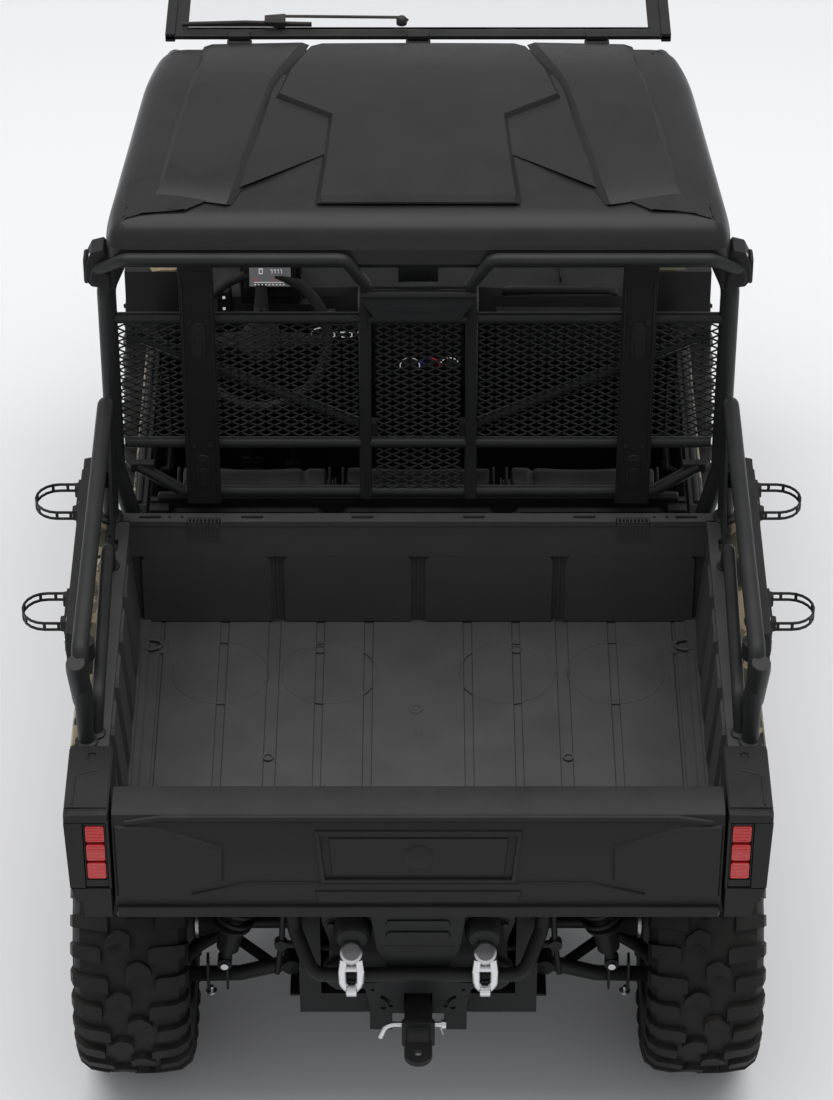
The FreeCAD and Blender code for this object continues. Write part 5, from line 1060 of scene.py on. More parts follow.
@dataclass
class Roof:
    """The hard roof: a crowned shell with two raised ribs and a stepped middle."""

    front: float = -400.0
    rear: float = 432.0
    front_half: float = 640.0
    rear_half: float = 712.0
    edge: float = 1808.0
    peak: float = 1934.0
    rise: float = 12.0

    def crown(self, across: float, along: float) -> float:
        """Return the shell's height at a place, before its edge turns down."""
        back = max(0.0, along + 80) / (self.rear + 80)
        ahead = max(0.0, -80 - along) / (-80 - self.front)
        side = abs(across) / self.rear_half
        return self.peak - 16 * back ** 2.2 - 30 * ahead ** 2.0 - 14 * side ** 2.4

    def plan(self, inset: float) -> list[tuple[float, float]]:
        """Draw the roof's plan with round corners.

        Args:
            inset: How far it is drawn in.

        Returns:
            The outline's points.
        """
        corners = [(self.front_half - 14, self.front, 70), (self.front_half + 14, -250, 260),
                   (self.rear_half, 330, 200), (self.rear_half - 4, self.rear, 62)]
        loop = corners + [(-x, y, r) for x, y, r in reversed(corners)]
        result = []
        for k, (x, y, radius) in enumerate(loop):
            before, after = Vector(loop[k - 1][:2]), Vector(loop[(k + 1) % len(loop)][:2])
            spot = Vector((x, y))
            back, ahead = (before - spot), (after - spot)
            reach = min(radius, back.length * 0.45, ahead.length * 0.45)
            start, end = spot + back.normalized() * reach, spot + ahead.normalized() * reach
            for step in range(6):
                share = step / 5
                point = start.lerp(spot, share).lerp(spot.lerp(end, share), share)
                result.append(point)
        count = len(result)
        drawn = []
        for k, point in enumerate(result):
            way = (result[(k + 1) % count] - result[k - 1]).normalized()
            normal = Vector((-way.y, way.x))
            drawn.append((point.x + normal.x * inset, point.y + normal.y * inset))
        return drawn

    def shell(self, form: Form) -> None:
        """Add the shell, with its wall and turned edge.

        Args:
            form: Where it is added.
        """
        outer = [(0, None, self.edge), (1, None, self.edge + 40), (3, -58, 0), (9, -38, 0),
                 (19, -22, 0), (33, -10, 0), (52, -3, 0), (80, 0, 0), (180, 0, 0),
                 (0.75, 0, 0), (0.5, 0, 0), (0.25, 0, 0), (0.03, 0, 0)]
        inner = [(8, None, self.edge + 1), (9, None, self.edge + 40), (14, -70, 0), (34, -34, 0),
                 (70, -22, 0), (180, -22, 0), (0.7, -22, 0), (0.4, -22, 0), (0.03, -22, 0)]
        rings = []
        for inset, drop, height in list(reversed(inner)) + outer:
            ring = []
            share = inset if 0 < inset < 1 else 1.0
            for x, y in self.plan(180 if share < 1 else inset):
                x, y = x * share, 16 + (y - 16) * share
                lift = height if drop is None else self.crown(x, y) + drop
                ring.append((x, y, lift))
            rings.append(ring)
        form.loft(rings)

    def rib(self, form: Form, sign: int) -> None:
        """Add one raised rib and its rear ramp.

        Args:
            form: Where it is added.
            sign: The side, 1 or -1.
        """
        rows = [(-372, 268, 512, 0.1), (-318, 280, 520, 0.75), (-197, 320, 538, 1.0),
                (-130, 341, 549, 1.0), (66, 372, 574, 1.0), (180, 392, 587, 1.0),
                (276, 404, 597, 1.0)]
        rings = []
        for y, near, far, share in rows:
            high = self.rise * 1.15 * share
            rings.append([(sign * (near - 6), y, self.crown(near, y) - 6),
                          (sign * (near + 12), y, self.crown(near, y) + high),
                          (sign * (far - 16), y, self.crown(far, y) + high),
                          (sign * (far + 4), y, self.crown(far, y) - 6)])
        y_near, y_far = 352, 308
        rings.append([(sign * 424, y_near - 6, self.crown(424, y_near) - 6),
                      (sign * 436, y_near, self.crown(424, y_near) - 1),
                      (sign * 600, y_far, self.crown(600, y_far) - 1),
                      (sign * 606, y_far - 4, self.crown(600, y_far) - 6)])
        form.loft(rings)

    def middle(self, form: Form) -> None:
        """Add the raised middle, which narrows behind the front corners' recesses.

        Args:
            form: Where it is added.
        """
        rows = [(-366, 236, 0.1), (-330, 262, 0.8), (-197, 306, 1.0), (-84, 330, 1.0),
                (8, 204, 1.0), (180, 214, 1.0), (338, 226, 1.0), (350, 222, 0.0)]
        rings = []
        for y, half, share in rows:
            high = self.rise * share
            outer = [(half + 7, self.crown(half, y) - 4), (half - 5, self.crown(half, y) + high),
                     (half * 0.5, self.crown(half * 0.5, y) + high)]
            left = [(x, y, z) for x, z in outer]
            right = [(-x, y, z) for x, y, z in reversed(left)]
            rings.append(left + [(0, y, self.crown(0, y) + high)] + right)
        form.loft(rings)

    def build(self) -> None:
        """Build the roof."""
        form = Form()
        self.shell(form)
        for sign in (1, -1):
            self.rib(form, sign)
        self.middle(form)
        form.show("roof_shell", [ROOF_PLASTIC], "root", ["roof"], edge=2.5, sharp=24)


@dataclass
class RearScreen:
    """The screen behind the seats: a bent tube frame, expanded metal and two flat straps."""

    face: float = 377.0
    radius: float = 14.0
    post_x: float = 124.0
    top: tuple[float, float] = (450.0, 1834.0)
    high: float = 1623.0
    mid: float = 1267.0
    low: float = 1118.0
    cell: tuple[float, float] = (40.0, 20.0)
    strand: float = 2.6

    def frame(self) -> None:
        """Build the tube frame with its upper loops and end pads."""
        form = Form()
        y, top_z = self.top
        hoop = self.face
        route = [(735, 396, 1772), (722, 410, 1782), (664, y, top_z), (168, y, top_z),
                 (122, 412, 1742), (self.post_x, hoop + 3, 1690), (self.post_x, hoop + 3, 1110)]
        form.tube(route, self.radius + 0.5, bend=26, ends=(0.75, 0.35))
        for z, end in ((self.high, 704), (self.mid, 690)):
            form.rod((0, hoop, z), (end, hoop, z), self.radius - 0.5)
        form.tube([(0, hoop - 6, self.low), (560, hoop - 6, self.low), (640, hoop - 14, 1168),
                   (668, hoop - 16, 1186)], self.radius + 0.5, bend=30)
        form.box((628, hoop - 26, 1174), (682, hoop - 6, 1196))
        form.mirror()
        form.show("screen_tubes", [STEEL], "root", ["rear_screen_frame"], sharp=50)

    def cap(self) -> None:
        """Build the blank cap plate between the two posts, with two wells under its edge."""
        form = Form()
        y = self.face + 30
        form.prism("XZ", [(-136, 1712), (136, 1712), (132, 1690), (98, 1634), (-98, 1634),
                          (-132, 1690)], y - 4, y + 3, draft=4)
        form.rod((-134, y - 2, 1708), (134, y - 2, 1708), 11, 12)
        form.slab("XZ", (160, 20, 9), (0, 1671), y + 2, y + 4, 2)
        for x in (-34, 34):
            form.bolt((x, 352, 1718), ALONG, 6)
        form.box((-46, 344, 1706), (46, 352, 1752))
        form.show("screen_cap", [STEEL], edge=1.5)

    def cell_mesh(self) -> bpy.types.Mesh:
        """Build one cell of expanded metal: four slanted strands with thick knots.

        Returns:
            The cell, centred on the origin, in metres.
        """
        form = Form()
        wide, tall = self.cell
        for sx in (1, -1):
            for sz in (1, -1):
                knots = ((sx * wide / 2, 0.0, self.strand * 0.8),
                         (0.0, sz * tall / 2, self.strand * 0.6))
                form.loft([[(x, y, z + up * half) for y, up in (
                    (-1.5, -1), (1.5, -1), (1.5, 1), (-1.5, 1))] for x, z, half in knots],
                          caps=False)
        return form.finish("cell")

    def mesh(self) -> None:
        """Fill the centre and the two side bays with expanded metal."""
        wide, tall = self.cell
        places = []
        y = self.face
        for low_x, high_x, low_z, high_z in ((-110, 110, self.low, 1640),
                                             (138, 698, self.mid + 12, self.high - 12),
                                             (-698, -138, self.mid + 12, self.high - 12)):
            across = int((high_x - low_x) / wide)
            up = int((high_z - low_z) / tall)
            left = (low_x + high_x) / 2 - (across - 1) * wide / 2
            base = (low_z + high_z) / 2 - (up - 1) * tall / 2
            for j in range(up):
                for k in range(across):
                    places.append(((left + k * wide, y, base + j * tall), (0, 0, 0)))
        mesh = SET_ITEMS.apply("expanded_metal", self.cell_mesh(), places, STEEL)
        show("expanded_metal", mesh, [STEEL], "root", ["rear_screen_mesh"])

    def straps(self) -> None:
        """Build the two wide straps with pressed ovals and bent tops."""
        form = Form()
        y = self.face + 20
        side = [(y, 1104), (y, 1742), (y + 34, 1812), (y + 40, 1808), (y + 6, 1738), (y + 6, 1104)]
        form.prism("YZ", side, 468, 548)
        for z in (1575, 1196):
            outline = shifted(oblong(34, 104, 16), 508, z)
            inner = shifted(oblong(18, 56, 8), 508, z - 14)
            form.prism("XZ", outline, y + 5, y + 8, draft=1.5)
            form.prism("XZ", inner, y + 6, y + 10, draft=1.0)
            form.slab("XZ", (22, 12, 5), (508, z + 34), y + 6, y + 10, 1.0)
        for x in (474, 542):
            form.rod((x, y + 7, 1108), (x, y + 7, 1736), 2.0, 8)
        for z in (1272, 1628):
            for x in (488, 528):
                form.bolt((x, y + 6, z), ALONG, 5)
        for z in (1250, 1606):
            form.box((470, self.face + 8, z), (546, y + 1, z + 34))
        form.mirror()
        form.show("screen_straps", [PLASTIC], "root", ["rear_screen_straps"], edge=1.5)

    def braces(self) -> None:
        """Build the two flat-backed braces that slope down to the middle behind the seats."""
        form = Form()
        form.tube([(662, 362, 1566), (150, 362, 1318), (118, 366, 1302)], 13, bend=0)
        form.box((96, 352, 1284), (140, 376, 1320))
        form.box((648, 354, 1546), (676, 376, 1590))
        form.mirror()
        form.show("back_braces", [STEEL], sharp=50)

    def clamps(self) -> None:
        """Build the cast clamps at the hoop's upper corners."""
        form = Form()
        form.prism("XZ", [(690, 1716), (748, 1724), (762, 1742), (760, 1790), (744, 1824),
                          (716, 1832), (700, 1806), (686, 1790)], 352, 404, draft=3)
        form.prism("XZ", [(700, 1722), (742, 1732), (752, 1748), (748, 1776), (722, 1784),
                          (702, 1766)], 402, 414, draft=4)
        form.slab("YZ", (52, 74, 12), (374, 1764), 756, 764, 3)
        form.index = 1
        form.lathe((742, 394, 1806), (0.3, 0.5, 0.8), [(-3, 8), (4, 8), (8, 6.5), (9, 3)], 14)
        form.mirror()
        form.show("hoop_clamps", [PLASTIC, ZINC], edge=3)

    def build(self) -> None:
        """Build the screen."""
        self.frame()
        self.cap()
        self.mesh()
        self.straps()
        self.braces()
        self.clamps()


def plate(form: Form, outline: Sequence[Point], holes: Sequence[Sequence[Point]], low: float,
          high: float) -> None:
    """Add a flat plate with holes that go right through it.

    Args:
        form: Where it is added.
        outline: The plate's outline across and along the vehicle.
        holes: The outlines of its holes.
        low: The height of its underside.
        high: The height of its top.
    """
    flat = bmesh.new()
    edges = []
    for loop in [outline] + list(holes):
        corners = [flat.verts.new((x, y, low)) for x, y in loop]
        edges.extend(flat.edges.new((corners[k - 1], corners[k])) for k in range(len(corners)))
    bmesh.ops.triangle_fill(flat, use_beauty=True, use_dissolve=True, edges=edges)
    for face in flat.faces:
        face.material_index = form.index
    block = bmesh.ops.extrude_face_region(flat, geom=flat.faces[:])
    top = [item for item in block["geom"] if isinstance(item, bmesh.types.BMVert)]
    bmesh.ops.translate(flat, vec=(0, 0, high - low), verts=top)
    mesh = bpy.data.meshes.new("plate")
    flat.to_mesh(mesh)
    flat.free()
    form.mesh.from_mesh(mesh)
    bpy.data.meshes.remove(mesh)


@dataclass
class CargoTub:
    """The moulded cargo tub: grooved floor, panelled front wall, padded sides and flat rims."""

    front: float = 440.0
    rear: float = 1406.0
    side_end: float = 1290.0
    half: float = 735.0
    low_half: float = 668.0
    top_half: float = 691.0
    floor: float = 795.0
    top: float = 1100.0
    wall: float = 28.0
    grooves: tuple[tuple[float, float], ...] = ((107, 130), (224, 245), (329, 360), (454, 476))
    hinge: tuple[float, float] = (1315.0, 715.0)

    def floor_slab(self, form: Form) -> None:
        """Add the floor with its long grooves and side gutters.

        Args:
            form: Where it is added.
        """
        high, deep = self.floor, self.floor - 4
        line = []
        for near, far in self.grooves:
            line += [(near, high), (near + 2, deep), (far - 2, deep), (far, high)]
        line += [(609, high), (611, deep), (617, deep), (619, high), (640, high), (646, high + 7),
                 (self.low_half + 6, high + 8)]
        half = line + [(self.half, high), (self.half, high - 20)]
        outline = half + [(-x, z) for x, z in reversed(half)]
        form.prism("XZ", outline, self.front + 20, self.rear)
        form.box((-self.half, self.front, high - 20), (self.half, self.front + 22, high))

    def front_wall(self, form: Form) -> None:
        """Add the front wall with four panels and its step.

        Args:
            form: Where it is added.
        """
        face = self.front + self.wall
        form.box((-self.top_half - 10, self.front, self.floor - 2),
                 (self.top_half + 10, face - 9, self.top - 12))
        for low, high in ((-664, -350), (-324, -14), (14, 324), (350, 664)):
            outline = [(low, self.floor), (high, self.floor), (high, 985), (high - 8, 997),
                       (low + 8, 997), (low, 985)]
            form.prism("XZ", outline, face - 10, face + 2, draft=5)
        form.prism("YZ", [(face - 10, 992), (face + 2, 996), (face - 1, self.top - 14),
                          (face - 10, self.top - 14)], -self.top_half, self.top_half)
        for x in (-337, 0, 337):
            form.rod((x, face - 11, self.floor), (x, face - 11, 990), 5, 10)

    def rims(self, form: Form) -> None:
        """Add the front and side rims with their oval holes and small slots.

        Args:
            form: Where it is added.
        """
        ovals = [shifted(oblong(54, 11, 5.3), x, self.front + 11)
                 for x in (132, -132, 394, -394, 636, -636)]
        ovals += [shifted(circle(4, 10), x, self.front + 11) for x in (590, 560, -560, -590)]
        inner, low = self.top_half - 8, self.top - 14
        edge = self.front + self.wall + 1
        outline = [(-self.half, self.front - 4), (self.half, self.front - 4), (self.half, edge),
                   (548, edge), (548, edge - 16), (468, edge - 16), (468, edge),
                   (-468, edge), (-468, edge - 16), (-548, edge - 16), (-548, edge),
                   (-self.half, edge)]
        plate(form, outline, ovals, low, self.top)
        for sign in (1, -1):
            outline = [(sign * inner, edge - 4), (sign * self.half, edge - 4),
                       (sign * self.half, self.side_end), (sign * (inner + 2), self.side_end)]
            slots = [shifted(oblong(12, 46, 5), sign * 712, y) for y in (560, 1120)]
            plate(form, outline, slots, low, self.top)
            for k in range(9):
                x = sign * (472 + k * 9)
                form.box((x, edge - 16, self.top - 60), (x + sign * 2.5, edge + 1, self.top - 2))
            form.box((sign * 468, edge - 18, self.top - 66), (sign * 548, edge - 14, self.top - 3))

    def side_wall(self, form: Form) -> None:
        """Add the left side wall with four pads and their light edges.

        Args:
            form: Where it is added.
        """
        form.prism("XZ", [(self.low_half, self.floor), (self.half, self.floor),
                          (self.half, self.top - 13), (self.top_half, self.top - 13)],
                   self.front + 20, self.side_end)
        slope = (self.top_half - self.low_half) / (self.top - self.floor)
        for k in range(4):
            low = self.front + 150 + 165 * k
            form.loft([[(self.low_half + slope * (z - self.floor) - depth + 3, y, z)
                        for y, z in ((low + inset, self.floor + 34 + inset),
                                     (low + 112 - inset, self.floor + 34 + inset),
                                     (low + 112 - inset, self.top - 40 - inset),
                                     (low + 96 - inset, self.top - 24 - inset),
                                     (low + inset, self.top - 24 - inset))]
                       for depth, inset in ((0, 0), (12, 8))])
        form.rod((self.low_half - 3, self.front + 190, self.floor + 14),
                 (self.low_half - 3, self.side_end - 20, self.floor + 14), 6)

    def fittings(self, form: Form) -> None:
        """Add tie rings in their pockets, embossed circles, wells and the hinge ears.

        Args:
            form: Where it is added.
        """
        high = self.floor
        for y in (self.front + 126, self.rear - 110):
            form.slab("XY", (66, 46, 8), (630, y), high - 1, high + 2, 2)
            form.slab("XY", (18, 40, 5), (652, y), high, high + 9, 2)
            ring = [(648, y + 18), (640, y + 19), (622, y + 14), (612, y), (622, y - 14),
                    (640, y - 19), (648, y - 18)]
            form.tube([(x, v, high + 8) for x, v in ring], 4, bend=6, steps=8)
        for x, y in ((211, 661), (470, 661)):
            form.lathe((x, y, high), UP, [(-1, 116), (0.9, 115), (0.9, 112.5), (-1, 111.5)], 48,
                       loop=True)
        for x, y, radius in ((235, 573, 11), (348, 967, 9)):
            form.lathe((x, y, high), UP, [(-1, radius + 4), (1.6, radius + 3), (1.6, radius),
                                          (-3, radius - 1)], 20, loop=True)
            form.lathe((x, y, high - 3), UP, [(0, radius), (0.8, radius)], 20)
        inner = 281.0
        y, z = self.hinge
        form.box((inner, y - 24, z), (inner + 16, y + 24, self.floor - 19))
        form.lathe((inner, y, z), ACROSS, [(0, 24), (16, 24)], 28)

    def under(self, form: Form) -> None:
        """Add the stiffening ribs below the floor."""
        for y in range(540, 1380, 140):
            form.box((-640, y, self.floor - 30), (640, y + 8, self.floor - 18))
        for x in (-600, -420, 420, 600):
            form.box((x, self.front + 30, self.floor - 28),
                     (x + 8, self.rear - 20, self.floor - 18))

    def build(self) -> None:
        """Build the tub."""
        side = Form()
        self.side_wall(side)
        self.fittings(side)
        side.mirror()
        form = Form()
        self.floor_slab(form)
        self.front_wall(form)
        self.rims(form)
        self.under(form)
        form.lathe((5, 795, self.floor), UP, [(-1, 17), (2, 16), (2, 11), (-2, 10)], 24, loop=True)
        form.lathe((5, 795, self.floor - 2), UP, [(0, 11), (3, 8)], 6)
        for x in (-9, 5):
            form.box((x, 850, self.floor - 1), (x + 4, 886, self.floor + 0.8))
        form.merge(side.finish("tub_sides"))
        form.show("cargo_tub_moulded", [BED_PLASTIC], "cargo_bed", ["cargo_tub"], edge=1.6,
                  sharp=32)


@dataclass
class CornerPost:
    """The bed's two rear corners, with the lamps, hinge pins and gate catches."""

    inner: float = 673.0
    low: float = 806.0
    top: float = 1108.0
    front: float = 1290.3
    rear: float = 1520.0
    lamp_x: tuple[float, float] = (679.0, 729.0)
    lamp_z: tuple[float, float] = (897.0, 1080.0)

    def post(self) -> None:
        """Build the posts round their lamp pockets."""
        form = Form()
        side = [(741, 852), (757, 853), (772, 1080), (771, 1098), (762, 1107)]
        near, far = self.lamp_x
        low, high = self.lamp_z
        rings = []
        for y, inset in ((self.front, 0), (1330, 0), (self.rear - 16, 0), (self.rear, 5)):
            rings.append([(self.inner, y, self.low + inset), (735, y, self.low + inset)]
                         + [(x - inset, y, z - inset * 0.4) for x, z in side]
                         + [(self.inner, y, self.top - inset * 0.5)])
        form.loft([rings[0], rings[1], [(x, self.rear - 18, z) for x, _, z in rings[2]]])
        frame_low = [(self.inner, self.low), (736, self.low), (741, 852), (756, 853),
                     (764, low - 4), (self.inner, low - 4)]
        form.prism("XZ", frame_low, self.rear - 19, self.rear, draft=3)
        form.prism("XZ", [(self.inner, high + 3), (770, high + 3), (770, 1098), (761, 1106),
                          (self.inner, 1107)], self.rear - 19, self.rear - 1, draft=2)
        form.prism("XZ", [(far + 1, low - 5), (765, low - 5), (771, high + 4), (far + 1, high + 4)],
                   self.rear - 19, self.rear, draft=2)
        form.box((self.inner, self.rear - 19, low - 5), (near - 0.5, self.rear - 1, high + 4))
        cap = [(676, 1294), (768, 1294), (768, self.rear - 22), (676, self.rear - 22)]
        plate(form, cap, [shifted(oblong(19, 30, 9), 718, 1331)], self.top - 3, self.top + 3)
        form.tube([(700, 1372, self.top + 2), (752, 1390, self.top + 2),
                   (752, 1490, self.top + 2)], 3.5, bend=14, steps=8)
        form.lathe((661, 1428, 822), ACROSS, [(0, 9), (13, 9)], 20)
        form.mirror()
        form.show("corner_posts", [PLASTIC], "cargo_bed", ["bed_corner_posts"], edge=2.2, sharp=32)

    def lamps(self) -> None:
        """Build the lamps: a dark bezel, a clear red lens and three lit bars behind its ribs."""
        form = Form()
        near, far = self.lamp_x
        low, high = self.lamp_z
        y = self.rear - 15
        form.index = 1
        form.box((near + 0.5, y, low), (far - 0.5, y + 4, high))
        form.box((near + 0.5, y, low), (near + 3, y + 13, high))
        form.box((far - 3, y, low), (far - 0.5, y + 13, high))
        form.box((near + 2, y, low), (far - 2, y + 13, low + 19))
        form.box((near + 2, y, high - 5), (far - 2, y + 13, high))
        form.index = 0
        for z in (low + 21, low + 74, low + 128):
            form.slab("XZ", (43, 48, 5), ((near + far) / 2, z + 24), y + 2, y + 12, 1.5)
            for k in range(5):
                form.rod((near + 7, y + 12, z + 6 + 9 * k), (far - 7, y + 12, z + 6 + 9 * k), 1.6,
                         6)
        form.mirror()
        form.show("tail_lamp_lenses", [RED_LENS, PLASTIC], "cargo_bed", ["tail_lamps"], edge=0.8)

    def build(self) -> None:
        """Build posts and lamps."""
        self.post()
        self.lamps()


@dataclass
class Tailgate:
    """The tailgate, with its relief, wide grip pocket and a bare middle."""

    inner: float = 1412.0
    rear: float = 1520.0
    half: float = 667.0
    low: float = 806.0
    top: float = 1100.0

    def build(self) -> None:
        """Build the tailgate."""
        form = Form()
        face = self.rear - 8
        form.prism("YZ", [(self.inner, self.low), (face - 2, self.low), (face, self.low + 4),
                          (face, self.top - 22), (face - 8, self.top - 6),
                          (face - 20, self.top), (self.inner + 4, self.top),
                          (self.inner, self.top - 4)], -self.half, self.half)
        form.prism("XZ", [(-self.half + 1, self.low), (self.half - 1, self.low),
                          (self.half - 1, 834), (-self.half + 1, 834)], face - 2, self.rear - 1,
                   draft=4)
        wedge = [(self.half - 2, 1074), (573, 1071), (421, 1008), (424, 910), (560, 862),
                 (self.half - 2, 862)]
        for sign in (1, -1):
            form.prism("XZ", [(sign * x, z) for x, z in wedge], face - 3, self.rear - 0.5, draft=9)
        ridge = [(498, 866), (378, 900), (-378, 900), (-498, 866)]
        form.tube([(x, face - 1, z) for x, z in ridge], 5, bend=60, steps=10)
        crown = [(-640, 1076), (-560, 1090), (560, 1090), (640, 1076)]
        form.tube([(x, face - 3, z) for x, z in crown], 7, bend=60, steps=10)
        self.grip(form, face)
        self.middle(form, face)
        inside = self.inner + 0.5
        for low, high in ((-640, -350), (-320, -10), (10, 320), (350, 640)):
            form.prism("XZ", [(low, 830), (high, 830), (high, 1070), (low, 1070)], inside + 3,
                       inside - 3, draft=8)
        form.show("tailgate_moulded", [PLASTIC], "tailgate", ["tailgate"], edge=2.0, sharp=30)

    def grip(self, form: Form, face: float) -> None:
        """Add the frame of the wide grip pocket and the finger bar across its top.

        Args:
            form: Where it is added.
            face: Where the gate's face lies along the vehicle.
        """
        outer = [(-226, 1056), (226, 1056), (214, 906), (-214, 906)]
        inner = [(-216, 1046), (216, 1046), (205, 915), (-205, 915)]
        form.loft([[(x, y, z) for x, z in points] for points, y in (
            (outer, face - 2), (outer, self.rear - 3), (inner, self.rear - 1),
            (inner, face - 2))], caps=False)
        form.prism("XZ", [(-200, 1036), (200, 1036), (192, 926), (-192, 926)], face - 2, face + 3,
                   draft=6)

    def middle(self, form: Form, face: float) -> None:
        """Add a plain round boss in the middle, and the low plain band below the grip."""
        form.lathe((0, face + 2, 982), ALONG, [(0, 34), (2.5, 33), (4, 28), (4.2, 4)], 40)
        form.prism("XZ", [(-230, 878), (230, 878), (222, 846), (-222, 846)], face - 2, face + 2.5,
                   draft=4)


@dataclass
class SidePanels:
    """The bed's outer sides: patterned panels over the rear wheels with dark arch lips."""

    inner: float = 735.3
    front: float = 440.0
    side_end: float = 1290.0
    top: float = 1100.0

    def build(self) -> None:
        """Build both panels."""
        form = Form()
        arch = [(440, 577), (590, 577), (640, 622), (690, 706), (730, 752), (780, 802), (830, 834),
                (892, 853), (1290, 853)]
        form.loft([[(self.inner, y, z), (757, y, z), (759, y, z + 6), (771, y, self.top - 16),
                    (766, y, self.top - 2), (self.inner, y, self.top - 1)] for y, z in arch])
        form.prism("YZ", [(470, 690), (600, 690), (690, 800), (800, 900), (860, 930), (1250, 940),
                          (1262, 1040), (470, 1060)], 757, 768.5, draft=10)
        form.index = 1
        lip = [(446, 574)] + [(y, z - 2) for y, z in arch[1:]]
        form.tube([(756, y, z) for y, z in lip], 7, bend=30, steps=10)
        form.box((740, 444, 1062), (771.5, 1286, 1080))
        form.index = 2
        for y, z in ((462, 610), (462, 720), (462, 840), (1270, 870), (1000, 868), (860, 862)):
            form.lathe((757, y, z), ACROSS, [(0, 9), (5, 9), (6, 4)], 16)
        form.mirror()
        form.show("bed_sides", [PANEL, PLASTIC, ZINC], "cargo_bed", ["bed_side_panels"], edge=1.5,
                  sharp=30)


@dataclass
class BedRails:
    """The tube rails over the bed's sides, with grab tubes, end plates and tool racks."""

    top: float = 1100.0

    def rails(self) -> None:
        """Build the rails, grab tubes, triangular plates and round foot plates."""
        form = Form()
        form.tube([(728, 450, 1092), (724, 450, 1446), (738, 1262, 1352), (734, 1268, 1092)], 19,
                  bend=30, steps=18)
        form.tube([(718, 640, 1094), (716, 700, 1205), (708, 1210, 1188), (715, 1240, 1094)], 15,
                  bend=45, steps=16)
        form.prism("YZ", [(446, 1100), (570, 1100), (556, 1130), (500, 1380), (470, 1434),
                          (446, 1436)], 714, 722, draft=1)
        form.lathe((741, 1262, 1262), (0.06, 0.3, 1), [(-84, 21), (-60, 24), (60, 24), (84, 21)],
                   20)
        for y, z in ((470, 1108), (540, 1108)):
            form.bolt((722, y, z + 8), ACROSS, 6)
        for x, y, radius in ((728, 450, 30), (734, 1268, 26), (718, 640, 22), (715, 1240, 22)):
            form.lathe((x, y, self.top), UP, [(0, radius), (5, radius), (9, radius - 6)], 28)
        form.mirror()
        form.show("side_rails", [STEEL], "cargo_bed", ["bed_side_rails"], edge=1.0, sharp=45)

    def loop(self, form: Form, place: float) -> None:
        """Add one slotted strap loop.

        Args:
            form: Where it is added.
            place: Its middle along the vehicle.
        """
        turns = [-math.pi / 2 + math.pi * k / 10 for k in range(11)]
        path = ([(784.0, place - 54)] + [(796 + 14 * k, place - 54) for k in range(4)]
                + [(842 + 53 * math.cos(turn), place + 54 * math.sin(turn)) for turn in turns]
                + [(838 - 14 * k, place + 54) for k in range(5)])
        low, high, wall = 1190.0, 1214.0, 2.2
        count = len(path)
        sides = []
        for k, (x, y) in enumerate(path):
            before, after = Vector(path[max(k - 1, 0)]), Vector(path[min(k + 1, count - 1)])
            way = (after - before).normalized()
            sides.append((Vector((x, y)), Vector((way.y, -way.x))))
        for bottom, top in ((low, low + 6), (high - 6, high)):
            rings = [[(s.x + n.x * t, s.y + n.y * t, z) for t, z in (
                (-wall, bottom), (wall, bottom), (wall, top), (-wall, top))] for s, n in sides]
            form.loft(rings)
        for k in range(0, count, 3):
            s, n = sides[k]
            way = Vector((-n.y, n.x))
            form.prism("XY", [s + way * a + n * t for a, t in (
                (-3.5, -wall), (3.5, -wall), (3.5, wall), (-3.5, wall))], low + 4, high - 4)

    def racks(self) -> None:
        """Build the channels outside the rails, with their strap loops and clamps."""
        form = Form()
        form.prism("YZ", [(446, 1192), (1118, 1178), (1146, 1230), (1128, 1294), (476, 1296),
                          (446, 1262)], 762, 780, draft=5)
        form.prism("YZ", [(470, 1214), (1100, 1204), (1112, 1232), (1102, 1268), (486, 1272)],
                   778, 786, draft=6)
        for y in (450, 1090):
            form.box((736, y, 1215), (766, y + 40, 1262))
            form.lathe((744, y + 20, 1238), UP, [(-22, 25), (22, 25)], 20)
        for place in (524.0, 934.0):
            self.loop(form, place)
            form.box((780, place - 62, 1184), (798, place + 62, 1220))
            for side in (-1, 1):
                form.slab("YZ", (30, 40, 8), (place + side * 44, 1202), 784, 806, 5)
        form.index = 1
        for y in (486, 580, 700, 820, 1010, 1086):
            form.lathe((784, y, 1240), ACROSS, [(0, 7), (5, 7), (6, 3)], 12)
        form.mirror()
        form.show("tool_racks_strapped", [PLASTIC, ZINC], "cargo_bed", ["tool_racks"], edge=1.0,
                  sharp=35)

    def build(self) -> None:
        """Build rails and racks."""
        self.rails()
        self.racks()


